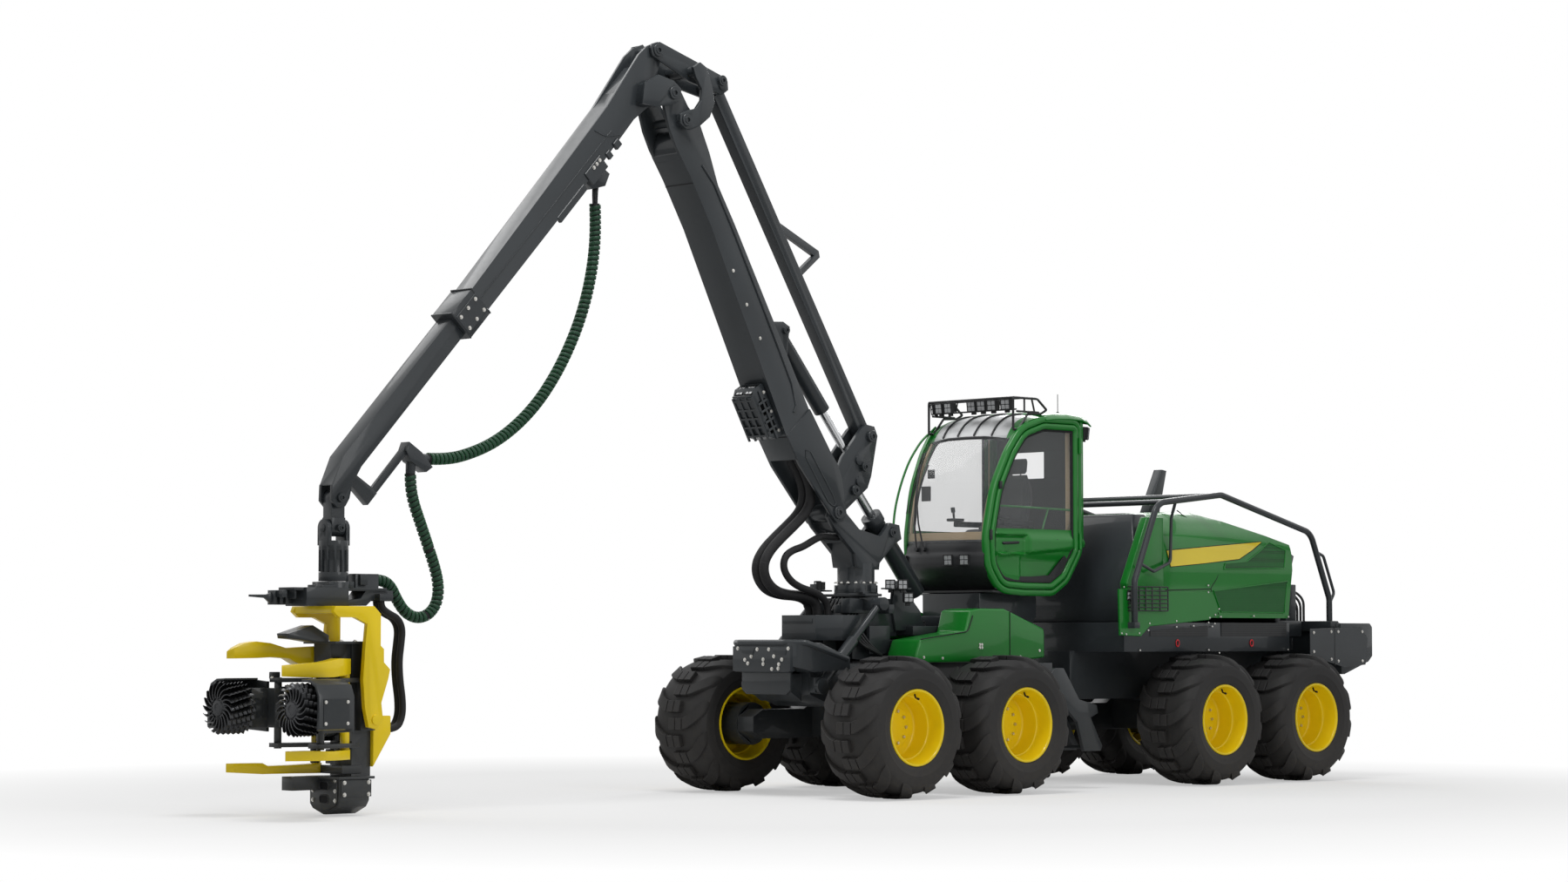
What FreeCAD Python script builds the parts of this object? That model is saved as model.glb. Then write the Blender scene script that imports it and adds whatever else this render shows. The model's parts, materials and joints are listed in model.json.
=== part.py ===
"""Eight-wheel forestry harvester: a parametric FreeCAD document, in millimetres.

X points forward, Y to the machine's left and Z up. Z is 0 on the ground. Every piece is drawn from
the front-most axle, and one cell of the sheet, front_axle_x, carries the whole machine along X.
"""

import FreeCAD
import Part
import Sketcher
import math
import os
import re

V = FreeCAD.Vector
doc = FreeCAD.newDocument("forestry_harvester")

# ---------------------------------------------------------------------------------------------
# The sheets: Sizes holds the driving dimensions, Fits holds what follows from them
# ---------------------------------------------------------------------------------------------
sheets = {}
size = {}
home = {}


def fill(sheet_name, values):
    """Adds cells with aliases to one sheet, and keeps the same numbers for this script's own arithmetic."""
    if sheet_name not in sheets:
        sheets[sheet_name] = [doc.addObject("Spreadsheet::Sheet", sheet_name), 0]
    sheet, row = sheets[sheet_name]
    for alias, value in values.items():
        row += 1
        sheet.set(f"A{row}", alias)
        sheet.set(f"B{row}", repr(float(value)))
        sheet.setAlias(f"B{row}", alias)
        size[alias] = float(value)
        home[alias] = sheet_name
    sheets[sheet_name][1] = row


def sizes(**values):
    fill("Sizes", values)


def fits(**values):
    fill("Fits", values)


def bound(text):
    """Turns bare aliases in a formula into references to their cells."""
    return re.sub(
        r"[a-z][a-z0-9_]*",
        lambda word: f"{home[word.group()]}.{word.group()}" if word.group() in home else word.group(),
        str(text),
    )


def bind(thing, **formulas):
    for name, text in formulas.items():
        thing.setExpression(name.replace("__", "."), bound(text))


def place(thing, x="0", y="0", z="0", axis=None, angle="0"):
    """Binds a Placement: its base to three formulas, and a turn about one axis to another."""
    for name, text in (("x", x), ("y", y), ("z", z)):
        thing.setExpression(f"Placement.Base.{name}", bound(text))
    if axis is not None:
        thing.Placement = FreeCAD.Placement(V(), FreeCAD.Rotation(V(*axis), 1))
        thing.setExpression("Placement.Rotation.Angle", bound(angle))
    return thing


# ---------------------------------------------------------------------------------------------
# Ways of making a piece
# ---------------------------------------------------------------------------------------------
def prism(name, plane, outline, thickness, middle="0"):
    """A closed outline on XZ, XY or YZ, padded evenly to both sides of a plane that lies at middle."""
    body = doc.addObject("PartDesign::Body", name)
    sketch = body.newObject("Sketcher::SketchObject", name + "_outline")
    ground = [f for f in body.Origin.OriginFeatures if f.Role == plane + "_Plane"][0]
    sketch.AttachmentSupport = [(ground, "")]
    sketch.MapMode = "FlatFace"
    count = len(outline)
    around = [V(100 * math.cos(2 * math.pi * k / count), 100 * math.sin(2 * math.pi * k / count), 0)
              for k in range(count)]
    sketch.addGeometry([Part.LineSegment(around[k], around[(k + 1) % count]) for k in range(count)], False)
    joins = [Sketcher.Constraint("Coincident", k, 2, (k + 1) % count, 1) for k in range(count)]
    for k in range(count):
        joins.append(Sketcher.Constraint("DistanceX", -1, 1, k, 1, around[k].x))
        joins.append(Sketcher.Constraint("DistanceY", -1, 1, k, 1, around[k].y))
    sketch.addConstraint(joins)
    for k, (across, up) in enumerate(outline):
        sketch.setExpression(f"Constraints[{count + 2 * k}]", bound(across))
        sketch.setExpression(f"Constraints[{count + 2 * k + 1}]", bound(up))
    pad = body.newObject("PartDesign::Pad", name + "_pad")
    pad.Profile = sketch
    pad.SideType = "Symmetric"
    pad.setExpression("Length", bound(thickness))
    normal = {"XZ": "y", "XY": "z", "YZ": "x"}[plane]
    place(body, **{normal: middle})
    return body


def plates(name, outline, inner, outer):
    """A pair of like plates on XZ, one each side of the centreline, between y = inner and y = outer."""
    pair = [prism(f"{name}_{side}", "XZ", outline, f"({outer}) - ({inner})",
                  f"{sign}(({outer}) + ({inner})) / 2")
            for side, sign in (("left", ""), ("right", "-"))]
    return pair


def box(name, x, y, z):
    """A Part::Box between pairs of formulas (low, high)."""
    thing = doc.addObject("Part::Box", name)
    for side, (low, high) in (("Length", x), ("Width", y), ("Height", z)):
        thing.setExpression(side, bound(f"({high}) - ({low})"))
    return place(thing, x[0], y[0], z[0])


def rod(name, radius, along, low, high, x="0", y="0", z="0"):
    """A Part::Cylinder along X, Y or Z from low to high. The two other coordinates place its axis."""
    thing = doc.addObject("Part::Cylinder", name)
    bind(thing, Radius=radius, Height=f"({high}) - ({low})")
    turn = {"X": (0, 1, 0), "Y": (-1, 0, 0), "Z": None}[along]
    at = {"x": x, "y": y, "z": z}
    at[along.lower()] = low
    if turn is None:
        return place(thing, at["x"], at["y"], at["z"])
    return place(thing, at["x"], at["y"], at["z"], turn, "90")


def pin(name, radius, half, x, z):
    """A pin across the machine, from y = -half to y = half."""
    return rod(name, radius, "Y", f"-({half})", half, x=x, z=z)


def fuse(name, things):
    thing = doc.addObject("Part::MultiFuse", name)
    thing.Shapes = things
    thing.Refine = True
    return thing


def group(name, things):
    """Solids of one sub-part that don't touch each other."""
    thing = doc.addObject("Part::Compound", name)
    thing.Links = things
    return thing


def cut(name, base, *tools):
    thing = doc.addObject("Part::Cut", name)
    thing.Base = base
    thing.Tool = tools[0] if len(tools) == 1 else fuse(name + "_tools", list(tools))
    thing.Refine = True
    return thing


def common(name, *things):
    thing = doc.addObject("Part::MultiCommon", name)
    thing.Shapes = list(things)
    thing.Refine = True
    return thing


def mirrored(name, source, normal=(0, 1, 0)):
    thing = doc.addObject("Part::Mirroring", name)
    thing.Source = source
    thing.Base = V()
    thing.Normal = V(*normal)
    return thing


def both_sides(name, source):
    return [source, mirrored(name + "_other", source)]


def shaped(name, shape):
    thing = doc.addObject("Part::Feature", name)
    thing.Shape = shape
    return thing


nodes = []


def node(name, thing, x="0", y="0", z="0", angle=None):
    """Marks a sub-part: its label, and its place from the front axle. angle raises +X towards +Z."""
    holder = thing
    if thing.TypeId not in ("Part::MultiFuse", "Part::Compound", "Part::Cut", "Part::MultiCommon"):
        holder = group(name + "_piece", [thing])
    holder.Label = name
    if angle is None:
        place(holder, f"front_axle_x + {x}", y, z)
    else:
        place(holder, f"front_axle_x + {x}", y, z, (0, -1, 0), angle)
    nodes.append(holder)
    return holder


def bent_path(points, bends):
    """One wire of straight runs and tangent arcs through the points, with the given bend radii."""
    edges = []
    last = points[0]
    for before, corner, after, radius in zip(points, points[1:], points[2:], bends):
        to_back = (before - corner).normalize()
        to_front = (after - corner).normalize()
        half = to_back.getAngle(to_front) / 2
        reach = radius / math.tan(half)
        start = corner + to_back * reach
        end = corner + to_front * reach
        bisector = (to_back + to_front).normalize()
        centre = corner + bisector * (radius / math.sin(half))
        middle = centre - bisector * radius
        if (start - last).Length > 1e-6:
            edges.append(Part.LineSegment(last, start).toShape())
        edges.append(Part.Arc(start, middle, end).toShape())
        last = end
    edges.append(Part.LineSegment(last, points[-1]).toShape())
    return Part.Wire(edges)


def tube(points, radius, bends):
    """A round bar along straight runs and tangent arcs."""
    path = bent_path(points, bends)
    start = points[0]
    ring = Part.Wire([Part.Circle(start, (points[1] - start).normalize(), radius).toShape()])
    solid = path.makePipeShell([ring], True, True)
    drawn = math.pi * radius ** 2 * path.Length
    if abs(solid.Volume - drawn) > 0.01 * drawn:
        raise ValueError(f"a tube's volume is {solid.Volume:.0f}, and its path asks for {drawn:.0f}")
    return solid


def hose_bends(name, points, diameter):
    """Each bend of a free hose is as large as its two runs allow."""
    bends = []
    for before, corner, after in zip(points, points[1:], points[2:]):
        back = before - corner
        front = after - corner
        turn = math.pi - back.getAngle(front)
        bends.append(0.45 * min(back.Length, front.Length) / math.tan(turn / 2))
    print(name, "bend radii in diameters:", [round(r / diameter, 1) for r in bends])
    return bends


def hose(name, points, diameter):
    """One free hose along its route."""
    path_points = [V(*point) for point in points]
    bends = hose_bends(name, path_points, diameter)
    print(name, "length", round(bent_path(path_points, bends).Length), "mm")
    return tube(path_points, diameter / 2, bends)


# ---------------------------------------------------------------------------------------------
# Overall sizes
# ---------------------------------------------------------------------------------------------
sizes(
    front_axle_x=457.3,
    bogie_base=1500,
    rear_bogie_x=-4470,
    axle_height=660,
    steer_pin_x=-2950,
    plate=30,
    gap=5,
    fit=0.3,
)

# ---------------------------------------------------------------------------------------------
# Wheels: faceted tyre with two rows of slanting lugs, on a dished rim
# ---------------------------------------------------------------------------------------------
sizes(
    tyre_width=710,
    tyre_radius=661,
    lug_height=42,
    lug_width=95,
    lug_slant=16,
    sidewall_radius=500,
    tread_half_width=270,
    rim_radius=340,
    rim_wall=18,
    rim_half_width=330,
    disc_plate=24,
    disc_out=20,
    hub_radius=120,
    wheel_y=1145,
)
FACETS = 24
LUGS_A_SIDE = 12


def ring_wire(radius, y, turn=0.0):
    """A regular polygon about the Y axis."""
    step = 2 * math.pi / FACETS
    points = [V(radius * math.cos(k * step + turn), y,
                radius * math.sin(k * step + turn)) for k in range(FACETS)]
    return Part.makePolygon(points + points[:1])


def faceted(stations):
    """A faceted drum through (radius, y) stations."""
    return Part.makeLoft([ring_wire(r, y) for r, y in stations], True, True)


def polar(radius, degrees, y):
    a = math.radians(degrees)
    return V(radius * math.cos(a), y, radius * math.sin(a))


def lug(start, side):
    """One lug: a straight slanting bar from near the tread's middle to the shoulder."""
    tip = size["tyre_radius"]
    root = tip - size["lug_height"] - 12
    half = math.degrees(size["lug_width"] / 2 / tip)
    slant = size["lug_slant"]
    inner_y = side * 12
    outer_y = side * (size["tyre_width"] / 2 - 4)
    shoulder = tip - 0.75 * size["lug_height"]
    deep = size["sidewall_radius"] + 50

    def quad(y, centre, low, high):
        return [polar(low, centre - half, y), polar(low, centre + half, y),
                polar(high, centre + half * 0.85, y), polar(high, centre - half * 0.85, y)]

    ends = [quad(inner_y, start, root, tip), quad(outer_y, start + slant, deep, shoulder)]
    wires = [Part.makePolygon(q + q[:1]) for q in ends]
    return Part.makeLoft(wires, True, True)


def make_tyre():
    tip = size["tyre_radius"]
    carcass = tip - size["lug_height"]
    half = size["tyre_width"] / 2
    tread = size["tread_half_width"]
    side = size["sidewall_radius"]
    bead = size["rim_radius"] + size["fit"]
    outer = faceted([(bead + 30, -half + 25), (side, -half), (carcass, -tread),
                     (carcass, tread), (side, half), (bead + 30, half - 25)])
    solid = outer.cut(faceted([(bead, -half), (bead, half)]))
    step = 360 / LUGS_A_SIDE
    bars = [lug(k * step, 1) for k in range(LUGS_A_SIDE)]
    bars += [lug((k + 0.5) * step, -1) for k in range(LUGS_A_SIDE)]
    return solid.fuse(bars)


def make_rim():
    """The rim's barrel, and the disc that the hub carries. The disc lies towards the outside."""
    outer = size["rim_radius"]
    inner = outer - size["rim_wall"]
    half = size["rim_half_width"]
    out = size["disc_out"]
    barrel = faceted([(outer, -half), (outer, half)]).cut(faceted([(inner, -half), (inner, half)]))
    disc = faceted([(inner + 5, out - size["disc_plate"]), (inner + 5, out)])
    hub = faceted([(size["hub_radius"], out - 1), (size["hub_radius"] * 0.85, out + 45)])
    return barrel.fuse([disc, hub])


wheel_shape = Part.makeCompound([make_tyre(), make_rim()])
other_wheel_shape = wheel_shape.mirror(V(), V(0, 1, 0))

for number, (base, offset) in enumerate((("0", "0"), ("0", "-bogie_base"),
                                         ("rear_bogie_x", "0"), ("rear_bogie_x", "-bogie_base"))):
    for side, sign, shape in (("left", "", wheel_shape), ("right", "-", other_wheel_shape)):
        tyre_and_rim = shaped(f"wheel_{number + 1}_{side}_shape", shape)
        node(f"wheel_{number + 1}_{side}", tyre_and_rim, f"{base} {offset if offset != '0' else ''}",
             f"{sign}wheel_y", "axle_height")

# ---------------------------------------------------------------------------------------------
# Bogies: a beam each side that carries two wheels, and the axle housing between the beams
# ---------------------------------------------------------------------------------------------
sizes(
    beam_inner=520,
    beam_outer=740,
    beam_low=520,
    beam_high=800,
    beam_end=190,
    hub_ball=165,
    hub_case=205,
    axle_half_depth=150,
    axle_half_height=170,
)


def bogie(name, front_x):
    """Beams, hub cases that reach into the rims, and the housing across."""
    middle = f"{front_x} - bogie_base / 2"
    back = f"{front_x} - bogie_base"
    pieces = []
    for side, sign in (("left", ""), ("right", "-")):
        outline = [
            (f"{front_x} + beam_end", "axle_height - 70"), (f"{front_x} + beam_end", "axle_height + 70"),
            (f"{front_x} + 60", "beam_high"), (f"{middle} + 260", "beam_high"),
            (f"{middle} + 160", "beam_high + 60"),
            (f"{middle} - 160", "beam_high + 60"), (f"{middle} - 260", "beam_high"),
            (f"{back} - 60", "beam_high"),
            (f"{back} - beam_end", "axle_height + 70"), (f"{back} - beam_end", "axle_height - 70"),
            (f"{back} - 60", "beam_low"), (f"{front_x} + 60", "beam_low")]
        pieces.append(prism(f"{name}_beam_{side}", "XZ", outline, "beam_outer - beam_inner",
                            f"{sign}(beam_outer + beam_inner) / 2"))
        for where, x in (("front", front_x), ("rear", back)):
            low = "beam_outer - 5"
            hub_end = "wheel_y + disc_out - disc_plate - fit"
            for part, radius, start, end in (("case", "hub_case", low, "wheel_y - 40"),
                                             ("ball", "hub_ball", low, hub_end)):
                edges = (start, end) if sign == "" else (f"-({end})", f"-({start})")
                pieces.append(rod(f"{name}_{part}_{where}_{side}", radius, "Y", *edges, x=x,
                                  z="axle_height"))
    pieces.append(box(f"{name}_housing", (f"{middle} - axle_half_depth", f"{middle} + axle_half_depth"),
                      ("-beam_inner - 5", "beam_inner + 5"),
                      ("axle_height - axle_half_height + 40", "axle_height + axle_half_height")))
    return fuse(name + "_whole", pieces)


node("front_bogie", bogie("front_bogie", "0"))
node("rear_bogie", bogie("rear_bogie", "rear_bogie_x"))

# ---------------------------------------------------------------------------------------------
# Front frame: a welded box that carries crane, cab and hood, with the steering fork at its rear
# ---------------------------------------------------------------------------------------------
sizes(
    frame_half_width=400,
    frame_low=835,
    frame_high=1240,
    frame_front=330,
    frame_rear=-2560,
    fork_half_width=300,
    fork_plate=70,
    steer_pin_radius=70,
    deck_high=1500,
    deck_rear=-2000,
    deck_front=-900,
    skid_half_width=280,
    nose_front=520,
    nose_low=760,
)


def front_frame():
    side = [
        ("frame_rear", "frame_low + 60"), ("frame_rear", "frame_high"), ("deck_rear", "frame_high"),
        ("deck_rear", "deck_high"), ("deck_front", "deck_high - 40"), ("deck_front + 60", "frame_high"),
        ("frame_front", "frame_high"), ("frame_front", "frame_low + 120"), ("0", "frame_low"),
        ("-bogie_base", "frame_low")]
    spine = prism("front_spine", "XZ", side, "2 * frame_half_width")
    nose = prism("front_nose", "XZ", [
        ("frame_front - 10", "nose_low + 130"), ("nose_front - 20", "nose_low + 240"),
        ("nose_front", "frame_high - 90"),
        ("frame_front - 10", "frame_high - 90")], "2 * skid_half_width")
    saddle = box("front_saddle", ("-bogie_base / 2 - 230", "-bogie_base / 2 + 230"),
                 ("-frame_half_width", "frame_half_width"),
                 ("axle_height + axle_half_height + fit", "frame_low + 5"))
    fork = []
    for name, low, high in (("upper", "frame_high - fork_plate", "frame_high"),
                            ("lower", "frame_low + 60", "frame_low + 60 + fork_plate")):
        fork.append(box(f"fork_{name}", ("steer_pin_x + 40", "frame_rear + 5"),
                        ("-fork_half_width", "fork_half_width"), (low, high)))
        fork.append(rod(f"fork_{name}_eye", "fork_half_width - 90", "Z", low, high, x="steer_pin_x"))
    pin_hole = rod("fork_hole", "steer_pin_radius", "Z", "frame_low", "frame_high + 1", x="steer_pin_x")
    return cut("front_frame_whole", fuse("front_frame_solid", [spine, nose, saddle] + fork), pin_hole)


node("front_frame", front_frame())

# Bumper: a folded plate box across the nose, under a rolled top edge with swept-back wings
sizes(
    bumper_front=575,
    bumper_low=1165,
    bumper_high=1440,
    bumper_half_width=370,
    bumper_wing_x=60,
    bumper_wing_y=660,
    bumper_wing_low=1190,
    bumper_edge_radius=28,
)


def bumper():
    plan = [("bumper_front", "-bumper_half_width"), ("bumper_front", "bumper_half_width"),
            ("bumper_front - 90", "bumper_half_width + 90"), ("bumper_wing_x", "bumper_wing_y"),
            ("bumper_wing_x", "bumper_wing_y - 60"), ("frame_front + fit", "frame_half_width + 15"),
            ("frame_front + fit", "-frame_half_width - 15"), ("bumper_wing_x", "60 - bumper_wing_y"),
            ("bumper_wing_x", "-bumper_wing_y"), ("bumper_front - 90", "-bumper_half_width - 90")]
    slab = prism("bumper_plan", "XY", plan, "bumper_high - bumper_low", "(bumper_high + bumper_low) / 2")
    profile = prism("bumper_profile", "XZ", [
        ("bumper_front - 200", "bumper_low"), ("bumper_front", "bumper_low + 60"),
        ("bumper_front", "bumper_high"), ("frame_front", "bumper_high"),
        ("bumper_wing_x", "bumper_wing_low + 110"),
        ("bumper_wing_x", "bumper_wing_low")], "4 * bumper_wing_y")
    high = size["bumper_high"]
    front = size["bumper_front"]
    half = size["bumper_half_width"]
    wing = V(size["bumper_wing_x"] + 15, size["bumper_wing_y"] - 15, size["bumper_wing_low"] + 95)
    left = [wing, V(front - 120, half + 110, high), V(front - 10, half - 60, high)]
    right = [V(p.x, -p.y, p.z) for p in reversed(left)]
    edge = shaped("bumper_edge", tube(left + right, size["bumper_edge_radius"], [90, 90, 90, 90]))
    return fuse("bumper_whole", [common("bumper_body", slab, profile), edge])


node("front_bumper", bumper())

# ---------------------------------------------------------------------------------------------
# Crane base: levelling base with its two cylinders, the hose box in front, and working lamps
# ---------------------------------------------------------------------------------------------
sizes(
    slew_x=-680,
    base_low=1245,
    base_high=1915,
    base_half_width=250,
    base_front=-380,
    base_rear=-980,
    hose_box_front=90,
    hose_box_rear=-360,
    hose_box_half=230,
    hose_box_flare=390,
    hose_box_low=1460,
    hose_box_high=1700,
    slew_radius=215,
    lamp=85,
)


def slew_base():
    side = [("base_rear - 350", "deck_high + 55"), ("base_rear - 300", "1740"),
            ("base_rear", "base_high + 120"),
            ("base_rear + 60", "base_high + 60"), ("base_rear + 90", "1760"),
            ("base_rear + 40", "deck_high + 55")]
    plate_pair = plates("base_rear_plate", side, "base_half_width - 10", "base_half_width + 35")
    block = prism("base_block", "XZ", [
        ("base_rear", "deck_high + fit"), ("base_rear", "1700"), ("slew_x - 240", "base_high - 130"),
        ("slew_x - 240", "base_high - 55"), ("slew_x + 240", "base_high - 55"), ("base_front", "1700"),
        ("base_front", "base_low + 40"), ("deck_front + 90", "base_low + fit"),
        ("deck_front + 90", "deck_high + fit")],
        "2 * base_half_width")
    ring = rod("base_ring", "slew_radius", "Z", "base_high - 60", "base_high", x="slew_x")
    plan = [("hose_box_front", "-hose_box_half"), ("hose_box_front", "hose_box_half"),
            ("hose_box_front - 200", "hose_box_flare"), ("hose_box_rear", "hose_box_flare"),
            ("hose_box_rear", "-hose_box_flare"), ("hose_box_front - 200", "-hose_box_flare")]
    hose_box = prism("hose_box", "XY", plan, "hose_box_high - hose_box_low",
                     "(hose_box_high + hose_box_low) / 2")
    neck = box("hose_box_neck", ("base_front - 60", "hose_box_rear + 60"), ("-200", "200"), ("1500", "1680"))
    stand = box("hose_box_stand", ("-250", "-80"), ("-160", "160"), ("frame_high + fit", "hose_box_low + 5"))
    lamps = []
    for number, (x, y, z) in enumerate((("slew_x + 250", "300", "1960"), ("slew_x + 130", "330", "1960"),
                                        ("slew_x + 250", "-300", "1960"), ("slew_x - 80", "360", "1760"))):
        lamps.append(box(f"base_lamp_{number}", (f"{x} - 35", f"{x} + 35"),
                         (f"{y} - lamp / 2", f"{y} + lamp / 2"),
                         (f"{z} - lamp / 2", f"{z} + lamp / 2")))
    rail = box("lamp_rail", ("slew_x + 20", "slew_x + 240"), ("-370", "370"), ("1880", "1905"))
    posts = [box("lamp_post_low", ("slew_x - 110", "slew_x - 50"), ("240", "365"), ("1715", "1800")),
             box("lamp_post_high", ("slew_x + 110", "slew_x + 250"), ("255", "345"), ("1900", "1925")),
             box("lamp_post_far", ("slew_x + 215", "slew_x + 250"), ("-345", "-255"), ("1900", "1925"))]
    return fuse("slew_base_whole", plate_pair + [block, ring, hose_box, neck, stand, rail] + lamps + posts)


node("slew_base", slew_base())

sizes(
    tilt_y=462,
    tilt_low_x=270,
    tilt_low_z=1035,
    tilt_high_x=-540,
    tilt_high_z=1808,
    tilt_barrel=56,
    tilt_rod=34,
)


def tilt_cylinders():
    """Two levelling cylinders, from the frame's nose up to lugs beside the crane base."""
    low = V(size["tilt_low_x"], size["tilt_y"], size["tilt_low_z"])
    high = V(size["tilt_high_x"], size["tilt_y"], size["tilt_high_z"])
    along = (high - low).normalize()
    length = (high - low).Length
    pieces = [
        Part.makeCylinder(size["tilt_barrel"], 0.5 * length, low + along * 60, along),
        Part.makeCylinder(size["tilt_rod"], length - 60, low + along * 60, along),
        Part.makeCylinder(75, size["tilt_y"] - size["frame_half_width"] + 60,
                          V(low.x, size["frame_half_width"] + size["fit"], low.z), V(0, 1, 0)),
        Part.makeCylinder(62, 120, high - V(0, 60, 0), V(0, 1, 0)),
        Part.makeBox(150, size["tilt_y"] - size["frame_half_width"] + 20, 140,
                     V(low.x - 75, size["frame_half_width"] + size["fit"], low.z - 60)),
        Part.makeBox(130, size["tilt_y"] - size["base_half_width"] - 35, 120,
                     V(high.x - 65, size["base_half_width"] + size["fit"], high.z - 60)),
    ]
    left = pieces[0].fuse(pieces[1:])
    return group("tilt_cylinders_pair", both_sides("tilt_cylinder", shaped("tilt_cylinder", left)))


node("tilt_cylinders", tilt_cylinders())

# ---------------------------------------------------------------------------------------------
# Crane pins. The boom, jib, crank and rods are drawn along +X from their own pins.
# ---------------------------------------------------------------------------------------------
sizes(
    boom_pin_x=-243,
    boom_pin_z=2676,
    boom_length=4351,
    boom_rise=60.6,
    tip_pin_u=5265,
    tip_pin_v=82,
    jib_rise=-47.2,
    rocker_bar_x=-526,
    rocker_bar_z=751,
    rocker_jib_x=-364,
    rocker_jib_z=519,
    rocker_lift_x=-369,
    rocker_lift_z=312,
    link_pin_u=4082,
    link_pin_v=-15,
    jib_cylinder_u=1800,
    jib_cylinder_v=290,
    crank_pin_u=-193,
    crank_pin_v=361,
    crank_middle=441,
    crank_offset=33,
    crank_length=834,
    link_length=500,
    trunnion_x=-1022,
    trunnion_z=2502,
    pin_radius=42,
    eye_radius=85,
)


def turned(u, v, degrees):
    a = math.radians(degrees)
    return V(u * math.cos(a) - v * math.sin(a), 0, u * math.sin(a) + v * math.cos(a))


def rise(start, end):
    return math.degrees(math.atan2(end.z - start.z, end.x - start.x))


def circles_meet(centre_a, radius_a, centre_b, radius_b):
    """The rear one of the two points at the given distances from two centres."""
    across = centre_b - centre_a
    gap_ab = across.Length
    along = (radius_a ** 2 - radius_b ** 2 + gap_ab ** 2) / (2 * gap_ab)
    off = math.sqrt(radius_a ** 2 - along ** 2)
    unit = across / gap_ab
    normal = V(-unit.z, 0, unit.x)
    both = [centre_a + unit * along + normal * (s * off) for s in (1, -1)]
    return min(both, key=lambda p: p.x)


boom_pin = V(size["boom_pin_x"], 0, size["boom_pin_z"])
jib_pin = boom_pin + turned(size["boom_length"], 0, size["boom_rise"])
tip_pin = jib_pin + turned(size["tip_pin_u"], size["tip_pin_v"], size["jib_rise"])
link_pin = boom_pin + turned(size["link_pin_u"], size["link_pin_v"], size["boom_rise"])
crank_pin = jib_pin + turned(size["crank_pin_u"], size["crank_pin_v"], size["jib_rise"])
middle_pin = circles_meet(link_pin, size["link_length"], crank_pin,
                          math.hypot(size["crank_middle"], size["crank_offset"]))
crank_rise = rise(crank_pin,
                  middle_pin) - math.degrees(math.atan2(size["crank_offset"], size["crank_middle"]))
bar_top = crank_pin + turned(size["crank_length"], 0, crank_rise)
bar_foot = boom_pin + V(size["rocker_bar_x"], 0, size["rocker_bar_z"])
jib_rod_eye = boom_pin + V(size["rocker_jib_x"], 0, size["rocker_jib_z"])
lift_rod_eye = boom_pin + V(size["rocker_lift_x"], 0, size["rocker_lift_z"])
jib_cylinder_pin = boom_pin + turned(size["jib_cylinder_u"], size["jib_cylinder_v"], size["boom_rise"])
trunnion = V(size["trunnion_x"], 0, size["trunnion_z"])
fits(
    jib_pin_x=jib_pin.x, jib_pin_z=jib_pin.z,
    tip_pin_x=tip_pin.x, tip_pin_z=tip_pin.z,
    link_pin_x=link_pin.x, link_pin_z=link_pin.z,
    crank_pin_x=crank_pin.x, crank_pin_z=crank_pin.z,
    crank_rise=crank_rise,
    link_rise=rise(link_pin, middle_pin),
    bar_foot_x=bar_foot.x, bar_foot_z=bar_foot.z,
    bar_length=(bar_top - bar_foot).Length,
    bar_rise=rise(bar_foot, bar_top),
    jib_cylinder_x=jib_cylinder_pin.x, jib_cylinder_z=jib_cylinder_pin.z,
    jib_cylinder_length=(jib_rod_eye - jib_cylinder_pin).Length,
    jib_cylinder_rise=rise(jib_cylinder_pin, jib_rod_eye),
    lift_length=(lift_rod_eye - trunnion).Length,
    lift_rise=rise(trunnion, lift_rod_eye),
)

# Layers across the crane, from the centreline outwards
sizes(
    eye_half=62,
    cylinder_lug_in=85,
    cylinder_lug_out=122,
    rocker_in=68,
    rocker_out=110,
    pillar_in=116,
    pillar_out=165,
    boom_foot_in=171,
    boom_foot_out=205,
    boom_half=190,
    boom_head_in=156,
    jib_half=117,
    crank_in=122,
    crank_out=151,
    jib_ear_in=195,
    jib_ear_out=225,
    link_in=232,
    link_out=268,
)

# Pillar: round column with two cheeks for the boom, which run back as arms to the lift cylinder
sizes(column_radius=180, column_high=2200, arm_low_x=-700, arm_low_z=2215)


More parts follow.
